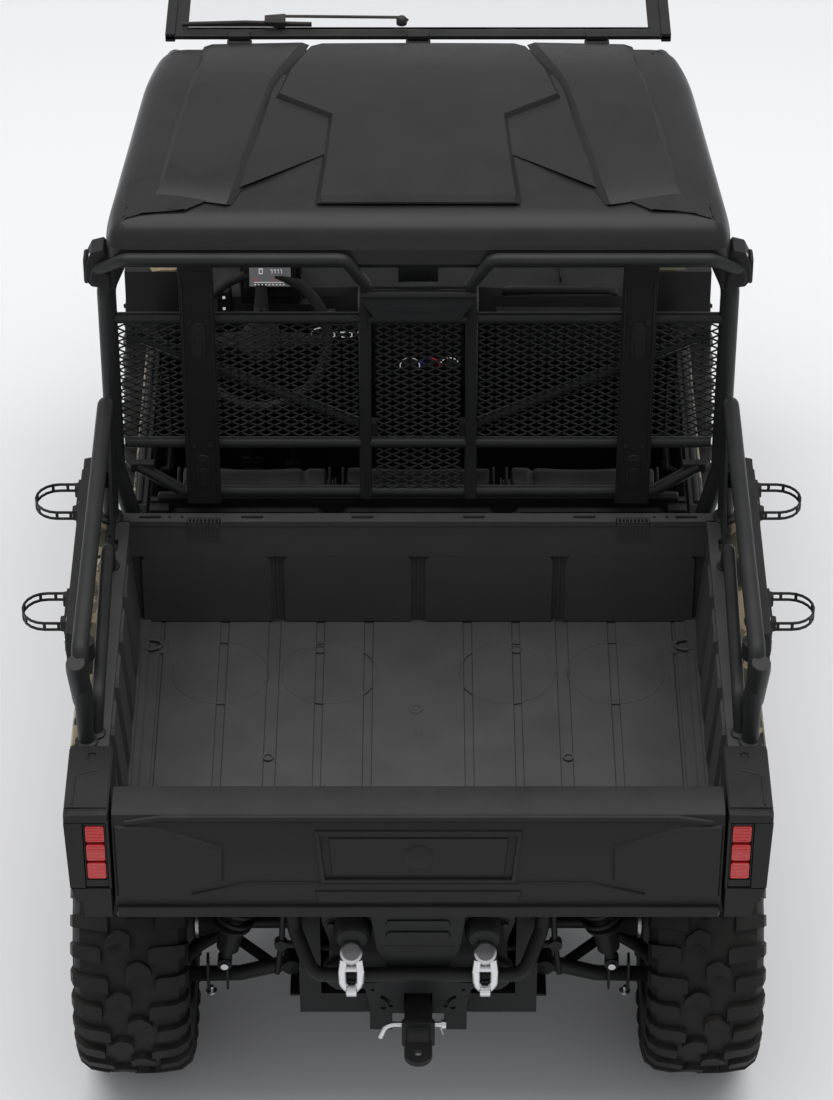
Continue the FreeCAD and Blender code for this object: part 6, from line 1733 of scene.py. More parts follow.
@dataclass
class Suspension:
    """Arms, uprights, coil-over shocks and booted shafts of both axles."""

    front_axle: float = FRONT_AXLE
    rear_axle: float = REAR_AXLE
    axle_z: float = WHEEL_Z
    rear_knuckle: float = 544.5

    def arms(self) -> None:
        """Build the lower arms with their braces, and the upper arms."""
        low, high = Form(), Form()
        for axle, spread, reach, way in ((self.rear_axle, 95, 566, 1),
                                         (self.front_axle, 120, 575, -1)):
            rear = axle + way * spread
            front = axle - way * spread
            low.tube([(297, rear, 318), (420, rear - way * 6, 276), (reach, axle + way * 62, 246),
                      (reach, axle + way * 10, 243)], 18.5, bend=60, ends=(0.7,))
            low.tube([(297, front, 322), (430, front + way * 26, 290), (524, axle - way * 20, 262),
                      (reach, axle + way * 16, 243)], 17, bend=70, ends=(0.7,))
            low.rod((338, rear - way * 3, 304), (452, axle - way * 40, 284), 13)
            for turn in (way, -way):
                high.tube([(297, axle + turn * 75, 520), (452, axle + turn * 62, 500),
                           (reach - 4, axle + turn * 14, 466)], 14, bend=60, ends=(0.7,))
            for place in (rear, front):
                low.lathe((297, place, 322), ALONG, [(-27, 21.5), (27, 21.5)], 22)
            for place in (axle + 75, axle - 75):
                high.lathe((297, place, 520), ALONG, [(-26, 20), (26, 20)], 22)
            low.lathe((reach - 2, axle + way * 26, 246), UP, [(-17, 20), (10, 20)], 20)
        for x in (446, 492):
            low.prism("YZ", [(1122, 250), (1174, 250), (1166, 330), (1138, 336)], x, x + 6)
        for form, name, node in ((low, "low_arms", "lower_arms"),
                                 (high, "high_arms", "upper_arms")):
            form.mirror()
            form.show(name, [STEEL], "root", [node], sharp=50)

    def uprights(self) -> None:
        """Build the rear uprights with their hub bearings, brake discs and zinc bolts."""
        form = Form()
        x, y, z = self.rear_knuckle, self.rear_axle, self.axle_z
        form.prism("YZ", [(y - 26, z - 96), (y + 26, z - 96), (y + 44, z - 40), (y + 42, z + 46),
                          (y + 24, z + 96), (y - 24, z + 96), (y - 40, z + 46), (y - 42, z - 40)],
                   x + 4, x + 38, draft=3)
        form.lathe((x, y, z), ACROSS, [(-14, 40), (0, 52), (40, 52), (44, 44), (60, 24), (155, 20)],
                   32)
        form.index = 1
        form.lathe((x + 52, y, z), ACROSS, [(0, 92), (5, 92)], 40)
        for place in ((490, 1137, 226), (490, 973, 240)):
            form.lathe(place, (0, 0, -1), [(0, 6), (14, 6)], 10)
            form.bolt((place[0], place[1], place[2] - 14), (0, 0, -1), 9)
        form.mirror()
        form.show("hub_carriers", [ALLOY, ZINC], "root", ["rear_knuckles"], edge=1.5)

    def shafts(self) -> None:
        """Build the half shafts with ribbed rubber boots and metal clamps."""
        bar = Form()
        for axle, reach in ((self.rear_axle, self.rear_knuckle - 15), (self.front_axle, 477)):
            centre = (0, axle, self.axle_z)
            bar.index = 0
            bar.lathe(centre, ACROSS, [(110, 15), (reach, 15)], 20)
            for start, way, wide in ((124, 1, 42), (reach, -1, 37)):
                bar.index = 1
                profile = [(start, wide - 3)]
                for k in range(6):
                    share = k / 5
                    radius = wide - 19 * share
                    profile += [(start + way * (8 + 15 * k), radius),
                                (start + way * (15 + 15 * k), radius - 5)]
                bar.lathe(centre, ACROSS, profile, 26)
                bar.index = 2
                for along, radius in ((7, wide + 0.8), (92, wide - 18)):
                    bar.lathe(centre, ACROSS, [(start + way * along - 4, radius),
                                               (start + way * along + 4, radius)], 26)
        bar.mirror()
        bar.show("booted_shafts", [STEEL, RUBBER, ZINC], "root", ["half_shafts"], sharp=45)

    def shock(self, form: Form, foot: Point, head: Point, wire: float) -> None:
        """Add one coil-over shock.

        Args:
            form: Where it is added.
            foot: Its lower end.
            head: Its upper end.
            wire: The radius of the spring's wire.
        """
        start, end = Vector(foot), Vector(head)
        way = end - start
        length = way.length
        form.index = 0
        form.lathe(start, way, [(0, 14), (length * 0.1, 15), (length * 0.12, 27),
                                (length * 0.3, 28), (length * 0.32, 44), (length * 0.345, 46),
                                (length * 0.355, 30), (length * 0.7, 29)], 26)
        form.lathe(start, way, [(length * 0.5, 11), (length * 0.86, 11), (length * 0.87, 40),
                                (length * 0.9, 41), (length * 0.93, 22), (length, 14)], 26)
        for spot in (start, end):
            form.lathe(spot, ALONG, [(-17, 17), (17, 17)], 20)
        form.index = 1
        for spot in (start, end):
            form.lathe(spot, ALONG, [(-24, 9), (24, 9)], 12)
        form.index = 2
        height = length * 0.53
        mesh = COIL.wind({"Turns": 6.0, "Radius": 0.043, "Height": height * MM,
                          "Wire": wire * MM}, STEEL)
        turn = way.to_track_quat("Z", "Y").to_matrix().to_4x4()
        form.merge(mesh, Matrix.Translation(start + way.normalized() * length * 0.35) @ turn)

    def shocks(self) -> None:
        """Build all four coil-over shocks."""
        form = Form()
        self.shock(form, (455, self.rear_axle + 95, 322), (385, self.rear_axle + 95, 689), 6.0)
        self.shock(form, (430, self.front_axle, 470), (345, self.front_axle, 759), 5.5)
        form.mirror()
        form.show("coil_overs", [STEEL, ZINC, STEEL], "root", ["shocks"], sharp=45)

    def build(self) -> None:
        """Build the suspension of both axles."""
        self.arms()
        self.uprights()
        self.shafts()
        self.shocks()


@dataclass
class Tail:
    """What hangs below the tailgate: case, cover, hitch plates, receiver, bumper, shackles."""

    face: float = 1372.0
    back: float = 1348.0
    bar_z: float = 372.0
    tip: float = 1545.0
    bumper_y: float = 1390.0
    bumper_z: float = 506.0

    def case(self, form: Form) -> None:
        """Add the cast cases on both sides, with a round boss and a hook-like bulge each.

        Args:
            form: Where it is added.
        """
        outline = [(66, 410), (190, 404), (206, 436), (206, 560), (222, 628), (222, 672),
                   (66, 672)]
        form.prism("XZ", outline, 1291, self.back - 10, draft=4)
        form.lathe((168, 1320, 466), ALONG, [(0, 50), (30, 48), (36, 40)], 28)
        form.lathe((150, 1330, 604), (0, 1, -0.1), [(0, 46), (34, 43), (46, 34), (50, 18)], 28)
        form.prism("XZ", [(128, 560), (178, 560), (172, 592), (134, 592)], 1330, 1398, draft=3)
        form.box((60, 1292, 290), (112, self.back, 420))
        form.bolt((198, self.back - 10, 616), ALONG, 9)
        form.bolt((98, self.back - 10, 648), ALONG, 7)

    def cover(self, form: Form) -> None:
        """Add the tapered cover with two pressed ribs and a bare place below them.

        Args:
            form: Where it is added.
        """
        half = [(28, 428), (38, 436), (97, 574), (108, 672)]
        outline = half + [(-x, z) for x, z in reversed(half)]
        form.prism("XZ", outline, self.back - 6, self.face + 1, draft=2)
        for z, wide in ((650, 150), (615, 150)):
            form.slab("XZ", (wide, 22, 10), (0, z), self.face, self.face + 5, 4)
        bare = [(-84, 580), (84, 580), (72, 545), (-72, 545)]
        form.prism("XZ", bare, self.face, self.face + 2, draft=1)

    def plates(self, form: Form) -> None:
        """Add the hitch plates with bolt holes and a curved slot.

        Args:
            form: Where it is added.
        """
        outline = [(32, 470), (127, 461), (105, 366), (32, 366)]
        slot = []
        for radius, start, step in ((34, 100, 12), (26, 172, -12)):
            for k in range(7):
                angle = math.radians(start + step * k)
                slot.append((92 + radius * math.cos(angle), 380 + radius * math.sin(angle) * 1.3))
        flat = Form()
        plate(flat, outline, [shifted(circle(6, 14), 80, 384), slot,
                              shifted(circle(3.5, 12), 104, 440)], -self.face, -self.face + 8)
        form.merge(flat.finish("hitch_plate"), Matrix.Rotation(math.pi / 2, 4, "X"))

    def receiver(self, form: Form) -> None:
        """Add the receiver tube with its end collar.

        Args:
            form: Where it is added.
        """
        z, end = self.bar_z - 2, self.face + 72
        hollow = (52.4, 48.4, 4)
        for start, stop, outer in ((self.back - 40, end, (64, 64, 7)),
                                   (end - 12, end + 2, (76, 76, 7))):
            form.loft([[(x, y, v) for x, v in shifted(oblong(*size), 0, z)]
                       for y, size in ((start, outer), (stop, outer), (stop, hollow),
                                       (start, hollow))], loop=True)
        form.lathe((0, end - 32, z), ACROSS, [(31.9, 14), (34, 14)], 20)

    def frame(self) -> None:
        """Build case, cover, plates and receiver as one piece."""
        sides = Form()
        self.case(sides)
        self.plates(sides)
        sides.mirror()
        form = Form()
        self.cover(form)
        self.receiver(form)
        form.merge(sides.finish("tail_sides"))
        form.show("tail_cover", [STEEL], "root", ["tail_bracket"], edge=1.2)

    def bumper(self) -> None:
        """Build the bumper tube and its feet."""
        form = Form()
        form.tube([(290, 1262, 660), (282, 1312, 575), (240, self.bumper_y, self.bumper_z),
                   (-240, self.bumper_y, self.bumper_z), (-282, 1312, 575), (-290, 1262, 660)],
                  17, bend=42, steps=20, ends=(0.7,))
        for sign in (1, -1):
            form.box((sign * 276, 1242, 634), (sign * 292, 1286, 676))
        form.show("bumper_tube_rear", [STEEL], "root", ["rear_bumper"], sharp=50)

    def tongue(self) -> None:
        """Build the drawbar: a tapering tongue with a round end, and its bent pin and clip."""
        form = Form()
        z = self.bar_z
        form.loft([[(-half, y, z + low), (half, y, z + low), (half, y, z + high),
                    (-half, y, z + high)] for y, half, low, high in (
            (1290, 25.5, -25.5, 21.5), (1446, 25.5, -25.5, 21.5), (1462, 25, -14, 12),
            (1478, 27, -7, 6.5))])
        outline = [(30, 1470), (32, 1500)]
        outline += [(32 * math.cos(math.radians(a)), 1513 + 32 * math.sin(math.radians(a)))
                    for a in range(0, 181, 12)]
        outline += [(-32, 1500), (-30, 1470)]
        plate(form, outline, [shifted(circle(9.75, 24), 0, self.tip - 34)], z - 6.5, z + 6.5)
        form.index = 1
        y = self.face + 40
        form.tube([(-58, y, z - 2), (58, y, z - 2), (76, y + 2, z - 8), (88, y + 10, z - 34)], 6.5,
                  bend=16, steps=14, ends=(0.7,))
        form.lathe((-64, y, z - 2), ACROSS, [(0, 11), (11, 11)], 16)
        form.tube([(-52, y, z + 8), (-52, y - 4, z - 22), (-58, y + 4, z - 32)], 2, bend=5,
                  steps=8)
        form.show("ball_mount", [STEEL, ZINC], "root", ["drawbar"], edge=1.0)

    def shackles(self) -> None:
        """Build the two bright bow shackles that hang in front of the bumper tube."""
        form = Form()
        x, y = 152, self.bumper_y + 22
        form.lathe((x, 1398, 580), (0.0, 0.62, 1.0), [(-13, 22), (-10, 26), (9, 26), (13, 21)],
                   28)
        bow = [(x - 17, y - 6, 570), (x - 21, y + 2, 540), (x - 20, y + 6, 506),
               (x, y + 10, 482), (x + 20, y + 6, 506), (x + 21, y + 2, 540), (x + 17, y - 6, 570)]
        form.tube(bow, 10, bend=20, steps=16)
        form.lathe((x, y + 10, 489), ACROSS, [(-13, 13), (-11, 16), (11, 16), (13, 13)], 20)
        form.lathe((x, y - 1, 546), ACROSS, [(-28, 9), (28, 9)], 16)
        form.mirror()
        form.show("bow_shackles", [ZINC], "root", ["tow_shackles"], edge=1.0)

    def links(self) -> None:
        """Build the anti-roll bar's links between frame and lower arms."""
        form = Form()
        form.tube([(311, 1238, 560), (316, 1240, 470), (330, 1200, 330)], 7, bend=10)
        form.lathe((318, 1240, 462), ALONG, [(-10, 15), (10, 15)], 18)
        form.rod((318, 1240, 462), (120, 1262, 462), 9)
        form.mirror()
        form.show("roll_bar_links", [STEEL], sharp=50)

    def build(self) -> None:
        """Build the tail."""
        self.frame()
        self.bumper()
        self.tongue()
        self.shackles()
        self.links()


@dataclass
class Seats:
    """Three seat cushions and three backrests, swollen as filled cloth and then sewn."""

    middles: tuple[float, ...] = (-392.5, 0.0, 392.5)
    width: float = 379.0
    shrink: float = 6.0
    draw_in: float = 1.4
    voxel: float = 9.0
    cap: float = 15.0
    pressure: float = 4.0
    cloth_steps: int = 20
    channel: float = 7.0

    def swell(self, mesh: bpy.types.Mesh) -> bpy.types.Mesh:
        """Fill a closed form with air as cloth, with a limit on how far it may swell.

        Args:
            mesh: The closed form, in metres.

        Returns:
            The swollen mesh.
        """
        pad = placed("pad", mesh)
        grid = pad.modifiers.new("grid", "REMESH")
        grid.mode = "VOXEL"
        grid.voxel_size = self.voxel * MM
        self.settle(pad)
        rest = [vert.co.copy() for vert in pad.data.vertices]
        cloth = pad.modifiers.new("cloth", "CLOTH")
        cloth.settings.use_pressure = True
        cloth.settings.uniform_pressure_force = self.pressure
        cloth.settings.effector_weights.gravity = 0.0
        for step in range(self.cloth_steps):
            bpy.context.scene.frame_set(step + 1)
        self.settle(pad)
        for vert, place in zip(pad.data.vertices, rest):
            moved = vert.co - place
            if moved.length > self.cap * MM:
                vert.co = place + moved.normalized() * self.cap * MM
        finer = pad.modifiers.new("finer", "SUBSURF")
        finer.levels = finer.render_levels = 1
        self.settle(pad)
        swollen = pad.data
        bpy.data.objects.remove(pad)
        return swollen

    def settle(self, pad: bpy.types.Object) -> None:
        """Keep what the pad's modifiers made and take them off."""
        mesh = as_mesh(pad)
        pad.modifiers.clear()
        pad.data = mesh

    def sew(self, mesh: bpy.types.Mesh, channels: Sequence[tuple[int, float]],
            low: float) -> None:
        """Press sewn channels into a pad and flatten its underside.

        Args:
            mesh: The swollen pad, in metres.
            channels: Pairs of an axis number and a place on it, in millimetres.
            low: The level that the pad rests on.
        """
        normals = [vert.normal.copy() for vert in mesh.vertices]
        for vert, normal in zip(mesh.vertices, normals):
            spot = vert.co / MM
            depth = sum(self.channel * math.exp(-((spot[axis] - place) / self.channel) ** 2)
                        for axis, place in channels)
            vert.co = (spot - normal * depth) * MM
            vert.co.z = max(vert.co.z, low * MM)

    def outline(self, points: Sequence[Point]) -> list[tuple[float, float]]:
        """Draw a side outline in a little, so that the pad can swell to its size.

        Args:
            points: The outline's points.

        Returns:
            The points drawn in.
        """
        mid = Vector((sum(p[0] for p in points), sum(p[1] for p in points))) / len(points)
        drawn = [Vector(point) + (mid - Vector(point)).normalized() * self.shrink * self.draw_in
                 for point in points]
        return [(point.x, point.y) for point in drawn]

    def pads(self, name: str, node: str, outline: Sequence[Point], low: float,
             rows: Sequence[tuple[int, float]]) -> None:
        """Build one row of three pads.

        Args:
            name: The piece's name.
            node: The CAD node that it replaces.
            outline: The pads' side outline.
            low: The level that they rest on.
            rows: Sewn channels along the vehicle or up it.
        """
        form = Form()
        welts = Form()
        half = self.width / 2
        blank = Form()
        blank.prism("YZ", self.outline(outline), self.shrink - half, half - self.shrink)
        pad = self.swell(blank.finish("pad"))
        self.sew(pad, list(rows) + [(0, -self.width / 3.2), (0, self.width / 3.2)], low)
        for mid in self.middles:
            form.merge(pad, Matrix.Translation((mid, 0, 0)))
            for x in (mid - half + 9, mid + half - 9):
                route = [(x, *point) for point in self.outline(self.outline(outline))]
                welts.tube(route + [route[0]], 3.2, bend=18, steps=8)
        item = form.show(name, [VINYL], "root", [node], outward=False, sharp=180)
        welts.show(name + "_welts", [RUBBER], sharp=60)

    def base(self) -> None:
        """Build the moulded seat base with its front panel, ribs and step."""
        form = Form()
        side = [(-236, 364), (-258, 584), (178, 566), (252, 634), (328, 634), (328, 364)]
        form.prism("YZ", side, -590, 590)
        for low, high in ((-576, -206), (-180, 180), (206, 576)):
            form.prism("XZ", [(low, 392), (high, 392), (high - 12, 560), (low + 12, 560)], -244,
                       -262, draft=8)
            for z in (430, 460, 490):
                form.box((low + 60, -266, z), (high - 60, -258, z + 12))
        for sign in (1, -1):
            form.prism("YZ", [(-200, 390), (-214, 540), (160, 540), (280, 600), (300, 390)],
                       sign * 588, sign * 596, draft=6)
        form.show("seat_base", [PLASTIC], "root", ["seat_box"], edge=3)

    def build(self) -> None:
        """Build the seats."""
        cushion = [(-262, 592), (-285, 660), (-257, 700), (150, 676), (178, 648), (178, 572)]
        back = [(197, 644), (182, 702), (262, 1112), (300, 1150), (343, 1131), (343, 900),
                (328, 644)]
        self.pads("seat_cushions_sewn", "seat_cushions", cushion, 591.0, [(1, -180.0), (1, 20.0)])
        self.pads("seat_backs_sewn", "seat_backs", back, 641.0, [(2, 1010.0), (2, 840.0)])
        self.base()


@dataclass(frozen=True)
class Glow(Finish):
    """A lit mark or a dim screen behind smooth glass."""

    power: float = 1.0

    def build(self) -> bpy.types.Material:
        """Build the lit material.

        Returns:
            The new material.
        """
        material, graph, shader, place = self.start()
        cloud = graph.add("ShaderNodeTexNoise", Vector=place, Scale=40.0, Detail=4.0)
        faded = graph.blend(graph.remap(cloud.outputs["Fac"], 0.4, 0.7, 0.0, 0.25),
                            (*self.colour, 1.0), (*self.worn, 1.0))
        graph.feed(shader.inputs["Base Color"], faded)
        graph.feed(shader.inputs["Emission Color"], faded)
        shader.inputs["Emission Strength"].default_value = self.power
        shader.inputs["Roughness"].default_value = self.roughness
        return material


WHITE_MARK = Glow("white_mark", "dark_plastic", (0.8, 0.8, 0.8), (0.5, 0.5, 0.5), power=0.35)
BLUE_MARK = Glow("blue_mark", "dark_plastic", (0.05, 0.06, 0.65), (0.1, 0.1, 0.4), power=0.5)
RED_MARK = Glow("red_mark", "dark_plastic", (0.55, 0.02, 0.04), (0.3, 0.05, 0.05), power=0.4)
DISPLAY = Glow("display", "dark_plastic", (0.13, 0.13, 0.135), (0.10, 0.10, 0.10),
               roughness=0.2, power=0.5)


@dataclass
class Dashboard:
    """The dashboard: padded top, driver's display, centre stack, dials and glove box."""

    face: float = -404.0
    half: float = 560.0

    def body(self) -> None:
        """Build the main moulding from side outlines that change across the cab."""
        outline = [(-596, 842), (-492, 824), (-470, 836), (-438, 930), (-410, 1036),
                   (-409, 1058), (-438, 1124), (-456, 1138), (-560, 1163), (-786, 1176),
                   (-789, 1152), (-596, 1112)]
        pushes = ((-560, 16), (-540, 4), (-200, 0), (-170, 14), (-150, 16), (150, 16), (170, 14),
                  (200, 0), (280, 0), (300, -3), (490, -3), (510, 0), (540, 4), (560, 16))
        form = Form()
        form.loft([[(x, y - (push if 3 <= k <= 6 else push * 0.3), z)
                    for k, (y, z) in enumerate(outline)] for x, push in pushes])
        for x in (-362, 362):
            form.box((x - 3, -780, 1150), (x + 3, -460, 1166))
        form.show("dash_body", [PLASTIC], "root", ["dashboard"], edge=4, sharp=24)

    def binnacle(self) -> None:
        """Build the hooded display ahead of the steering wheel, with plain figures."""
        form = Form()
        form.prism("YZ", [(-470, 1120), (-412, 1118), (-388, 1186), (-396, 1262), (-410, 1270),
                          (-520, 1196), (-560, 1160)], 296, 448, draft=2)
        form.prism("YZ", [(-384, 1188), (-380, 1190), (-388, 1258), (-392, 1258)], 306, 438)
        for z in (1150, 1134):
            form.box((330, -406, z), (414, -398, z + 8))
        form.show("display_housing", [PLASTIC], edge=4)
        screen = Form()
        screen.prism("YZ", [(-381, 1195), (-378, 1195), (-385, 1252), (-388, 1252)], 320, 424)
        screen.show("display_screen", [DISPLAY])
        rows = [(390, 1232, 2, 12), (398, 1232, 2, 12), (390, 1230, 10, 2), (390, 1243, 10, 2)]
        for x in (366, 358, 350, 342):
            rows += [(x, 1232, 1.6, 10), (x, 1241, 4.5, 1.4)]
        rows += [(332, 1206, 80, 1.2)] + [(x, 1199, 4, 2.5) for x in range(336, 410, 9)]
        self.bars(rows).show("display_marks", [WHITE_MARK])
        self.bars([(x, 1212, 5, 3) for x in (402, 410, 356)]).show("display_lamps", [RED_MARK])

    def bars(self, rows: Iterable[tuple[float, float, float, float]]) -> Form:
        """Lay lit bars on the display.

        Args:
            rows: Each bar's place across and up, its width and its height.

        Returns:
            The bars.
        """
        form = Form()
        for x, z, wide, tall in rows:
            y = -378 - (z - 1195) * 7 / 57
            form.box((x, y - 1, z), (x + wide, y + 1.2, z + tall))
        return form

    def arc(self, centre: Point, radius: float, start: float, sweep: float, gaps: int = 0) -> Form:
        """Draw a lit arc on the centre stack.

        Args:
            centre: Its centre.
            radius: Its radius.
            start: Its first angle in degrees.
            sweep: How far it goes.
            gaps: How many dots it is broken into; nought for one line.

        Returns:
            The arc.
        """
        form = Form()
        x, y, z = centre
        count = gaps or 1
        share = sweep / count
        for k in range(count):
            first = start + k * share
            last = first + share * (0.5 if gaps else 1.0)
            steps = 3 if gaps else 12
            route = []
            for step in range(steps + 1):
                angle = math.radians(first + (last - first) * step / steps)
                route.append((x + radius * math.cos(angle), y, z + radius * math.sin(angle)))
            form.tube(route, 1.3, bend=0, steps=6)
        return form

    def stack(self) -> None:
        """Build the centre stack with its switches, pocket and three turning dials."""
        form = Form()
        face = self.face - 8
        form.prism("XZ", [(-128, 872), (128, 872), (146, 1010), (146, 1108), (-146, 1108),
                          (-146, 1010)], face - 30, face + 12, draft=4)
        for k in range(3):
            for x in (96, -96):
                form.slab("XZ", (40, 22, 4), (x, 1084 - 34 * k), face + 10, face + 18, 2)
        form.slab("XZ", (116, 40, 8), (0, 1076), face + 10, face + 15, 2)
        form.slab("XZ", (96, 24, 6), (0, 1076), face + 14, face + 17, 1)
        for x in (21, -30, -81):
            form.lathe((x, face + 10, 935), ALONG, [(0, 19), (4, 19), (6, 15), (20, 13), (22, 11)],
                       24)
            form.box((x - 2, face + 28, 929), (x + 2, face + 35, 949))
        for x in (-40, 40):
            form.slab("XZ", (64, 46, 6), (x, 1010), face + 10, face + 16, 3)
            for z in (996, 1004, 1012, 1020):
                form.box((x - 26, face + 14, z), (x + 26, face + 18, z + 3))
        form.show("centre_stack", [PLASTIC], edge=1.5)
        y = face + 13
        marks = (("dial_white", (21, y, 935), -10, 220, 0, WHITE_MARK),
                 ("dial_blue", (-30, y, 935), -10, 105, 0, BLUE_MARK),
                 ("dial_red", (-30, y, 935), 100, 90, 0, RED_MARK),
                 ("dial_dots", (-81, y, 935), 20, 140, 6, WHITE_MARK))
        for name, centre, start, sweep, gaps, finish in marks:
            self.arc(centre, 25, start, sweep, gaps).show(name, [finish])

    def sides(self) -> None:
        """Build the glove box, the driver's switches, vents and the door ends' trim."""
        form = Form()
        face = self.face - 1
        form.prism("XZ", [(-520, 952), (-190, 952), (-196, 1100), (-514, 1100)], face - 22,
                   face + 10, draft=6)
        form.slab("XZ", (70, 24, 5), (-355, 1078), face + 8, face + 14, 2)
        form.box((-384, face + 12, 1070), (-326, face + 18, 1076))
        for sign in (1, -1):
            form.slab("XZ", (64, 60, 12), (sign * 524, 1040), face - 26, face + 8, 3)
            for z in (1020, 1030, 1040, 1050, 1060):
                form.box((sign * 524 - 25, face + 5, z - 2), (sign * 524 + 25, face + 12, z + 2))
        for x in (250, 220):
            form.slab("XZ", (24, 36, 4), (x, 1085), face - 10, face + 8, 2)
        form.slab("XZ", (90, 30, 6), (470, 980), face - 20, face + 6, 2)
        form.tube([(-500, -430, 1142), (-490, -404, 1166), (-230, -404, 1166), (-220, -430, 1142)],
                  11, bend=18, steps=12)
        form.slab("XZ", (150, 64, 14), (205, 1034), face - 12, face + 8, 3)
        form.slab("XZ", (40, 78, 10), (491, 1130), face - 18, face + 12, 3)
        form.slab("XZ", (54, 26, 12), (282, 1118), face - 12, face + 9, 4)
        form.show("dash_fittings", [PLASTIC], edge=1.5)
        marks = self.arc((250, face + 10, 1034), 22, 0, 360)
        for x in (140, 162, 184, 206):
            for near, far, low, high in ((0, 14, 1040, 1043), (2, 11, 1026, 1029),
                                         (5, 8, 1029, 1040)):
                marks.box((x + near, face + 7, low), (x + far, face + 9.5, high))
        for z in (1114, 1148):
            marks.box((487, face + 11, z), (494, face + 14, z + 7))
        marks.show("switch_marks", [WHITE_MARK])

    def build(self) -> None:
        """Build the dashboard."""
        self.body()
        self.binnacle()
        self.stack()
        self.sides()


@dataclass
class SteeringWheel:
    """The steering wheel and its column, tilted towards the driver."""

    hub: tuple[float, float, float] = (395.0, -300.0, 1085.0)
    tilt: float = math.radians(35.0)
    radius: float = 168.0
    grip: float = 14.0

    def place(self, form: Form) -> None:
        """Turn a form drawn about the wheel's own axis into the vehicle."""
        way = Vector((0, math.cos(self.tilt), math.sin(self.tilt)))
        turn = Vector((0, 0, 1)).rotation_difference(way).to_matrix().to_4x4()
        bmesh.ops.transform(form.mesh, matrix=Matrix.Translation(self.hub) @ turn,
                            verts=form.mesh.verts)

    def wheel(self) -> None:
        """Build the rim with its stitched grip, three spokes and the blank hub pad."""
        form = Form()
        rings = []
        for k in range(64):
            angle = math.tau * k / 64
            swell = 1.0 + 0.14 * max(0.0, math.cos(2 * (angle - 0.5)) ** 9)
            out = Vector((math.cos(angle), math.sin(angle), 0))
            rings.append([out * (self.radius + x) + Vector((0, 0, y))
                          for x, y in circle(self.grip * swell - 0.6, 14)])
        form.loft(rings, loop=True)
        for turn in (0.0, math.pi, -math.pi / 2):
            along = Vector((math.cos(turn), math.sin(turn), 0))
            side = Vector((-along.y, along.x, 0))
            form.loft([[along * out + side * x + Vector((0, 0, high + z)) for x, z in (
                (-wide, -thick), (wide, -thick), (wide, thick * 0.6), (wide * 0.6, thick),
                (-wide * 0.6, thick), (-wide, thick * 0.6))] for out, wide, high, thick in (
                    (26, 26, -6, 9), (70, 20, -9, 7), (120, 15, -7, 6), (160, 13, 0, 6))])
            for shift in (-9, 9):
                spot = along * 74 + side * shift + Vector((0, 0, -2))
                form.lathe(spot, UP, [(0, 7), (4, 7), (5, 5)], 14)
        form.lathe((0, 0, -40), UP, [(0, 30), (20, 34), (30, 52), (40, 54), (44, 50), (46, 40),
                                     (46.5, 12)], 32)
        form.loft([[(x * s, y * s, z) for x, y in oblong(78, 62, 18)]
                   for s, z in ((1.0, 2), (1.0, 8), (0.92, 11), (0.7, 12))])
        self.place(form)
        form.show("hand_wheel", [RUBBER], "steering_wheel", ["steering_wheel"], edge=0, sharp=36)

    def column(self) -> None:
        """Build the column's shroud with its one stalk."""
        form = Form()
        form.loft([[(x * s, y * s, z) for x, y in oblong(86, 70, 22)]
                   for s, z in ((0.9, -139), (1.0, -120), (1.0, -62), (0.86, -50), (0.6, -47))])
        form.tube([(30, 4, -72), (96, 10, -64), (120, 12, -58)], 5.5, bend=20, steps=10,
                  ends=(0.6,))
        form.lathe((0, 0, -139), UP, [(0, 22), (98, 22)], 20)
        self.place(form)
        form.show("column_shroud", [PLASTIC], "root", ["steering_column"], edge=2)

    def build(self) -> None:
        """Build both."""
        self.wheel()
        self.column()


@dataclass
class HalfDoor:
    """A half door: patterned outer panel, dark inner panel, pocket, latch and hinge."""

    side: Side
    outer: float = 698.0
    inner: float = 656.0

    def build(self) -> None:
        """Build the door."""
        sign = self.side.value
        form = Form()
        panel = [(-589, 404), (252, 404), (309, 490), (309, 924), (250, 984), (-470, 984),
                 (-588, 896)]
        skin = [(-581, 414), (246, 414), (300, 494), (300, 918), (246, 968), (-466, 968),
                (-579, 890)]
        form.prism("YZ", skin, sign * (self.outer - 10), sign * (self.outer - 3), draft=2)
        form.prism("YZ", [(-560, 436), (232, 436), (278, 506), (278, 760), (-560, 700)],
                   sign * (self.outer - 6), sign * self.outer, draft=8)
        form.prism("YZ", [(-560, 724), (278, 786), (278, 902), (228, 950), (-440, 950),
                          (-556, 876)], sign * (self.outer - 6), sign * self.outer, draft=8)
        form.index = 1
        form.prism("YZ", panel, sign * (self.inner + 2), sign * (self.outer - 8), draft=1.5)
        form.prism("YZ", [(-540, 452), (210, 452), (254, 520), (254, 660), (-540, 640)],
                   sign * (self.inner + 6), sign * (self.inner - 6), draft=12)
        form.prism("YZ", [(-500, 742), (236, 742), (236, 902), (212, 930), (-440, 930)],
                   sign * (self.inner + 6), sign * (self.inner - 3), draft=12)
        form.slab("YZ", (120, 46, 12), (160, 850), sign * (self.inner + 4),
                  sign * (self.inner - 12), 4)
        form.tube([(sign * 650, -250, 842), (sign * 628, -236, 842), (sign * 628, -80, 842),
                   (sign * 650, -66, 842)], 9, bend=14, steps=10, flat=1.5)
        form.slab("YZ", (108, 34, 10), (226, 868), sign * (self.outer - 5), sign * (self.outer + 5),
                  4)
        form.rod((sign * 677, -462, 984), (sign * 677, 244, 984), 8, 10)
        for z in (455, 795):
            form.lathe((sign * 687, -601, z), UP, [(0, 5.6), (0, 10.8), (50, 10.8), (50, 5.6)], 20,
                       loop=True)
            form.box((sign * 680, -592, z + 2), (sign * 694, -560, z + 48))
        name = "door_" + self.side.name.lower()
        form.show(name + "_panel", [PANEL, PLASTIC], name, [name], edge=2.5)


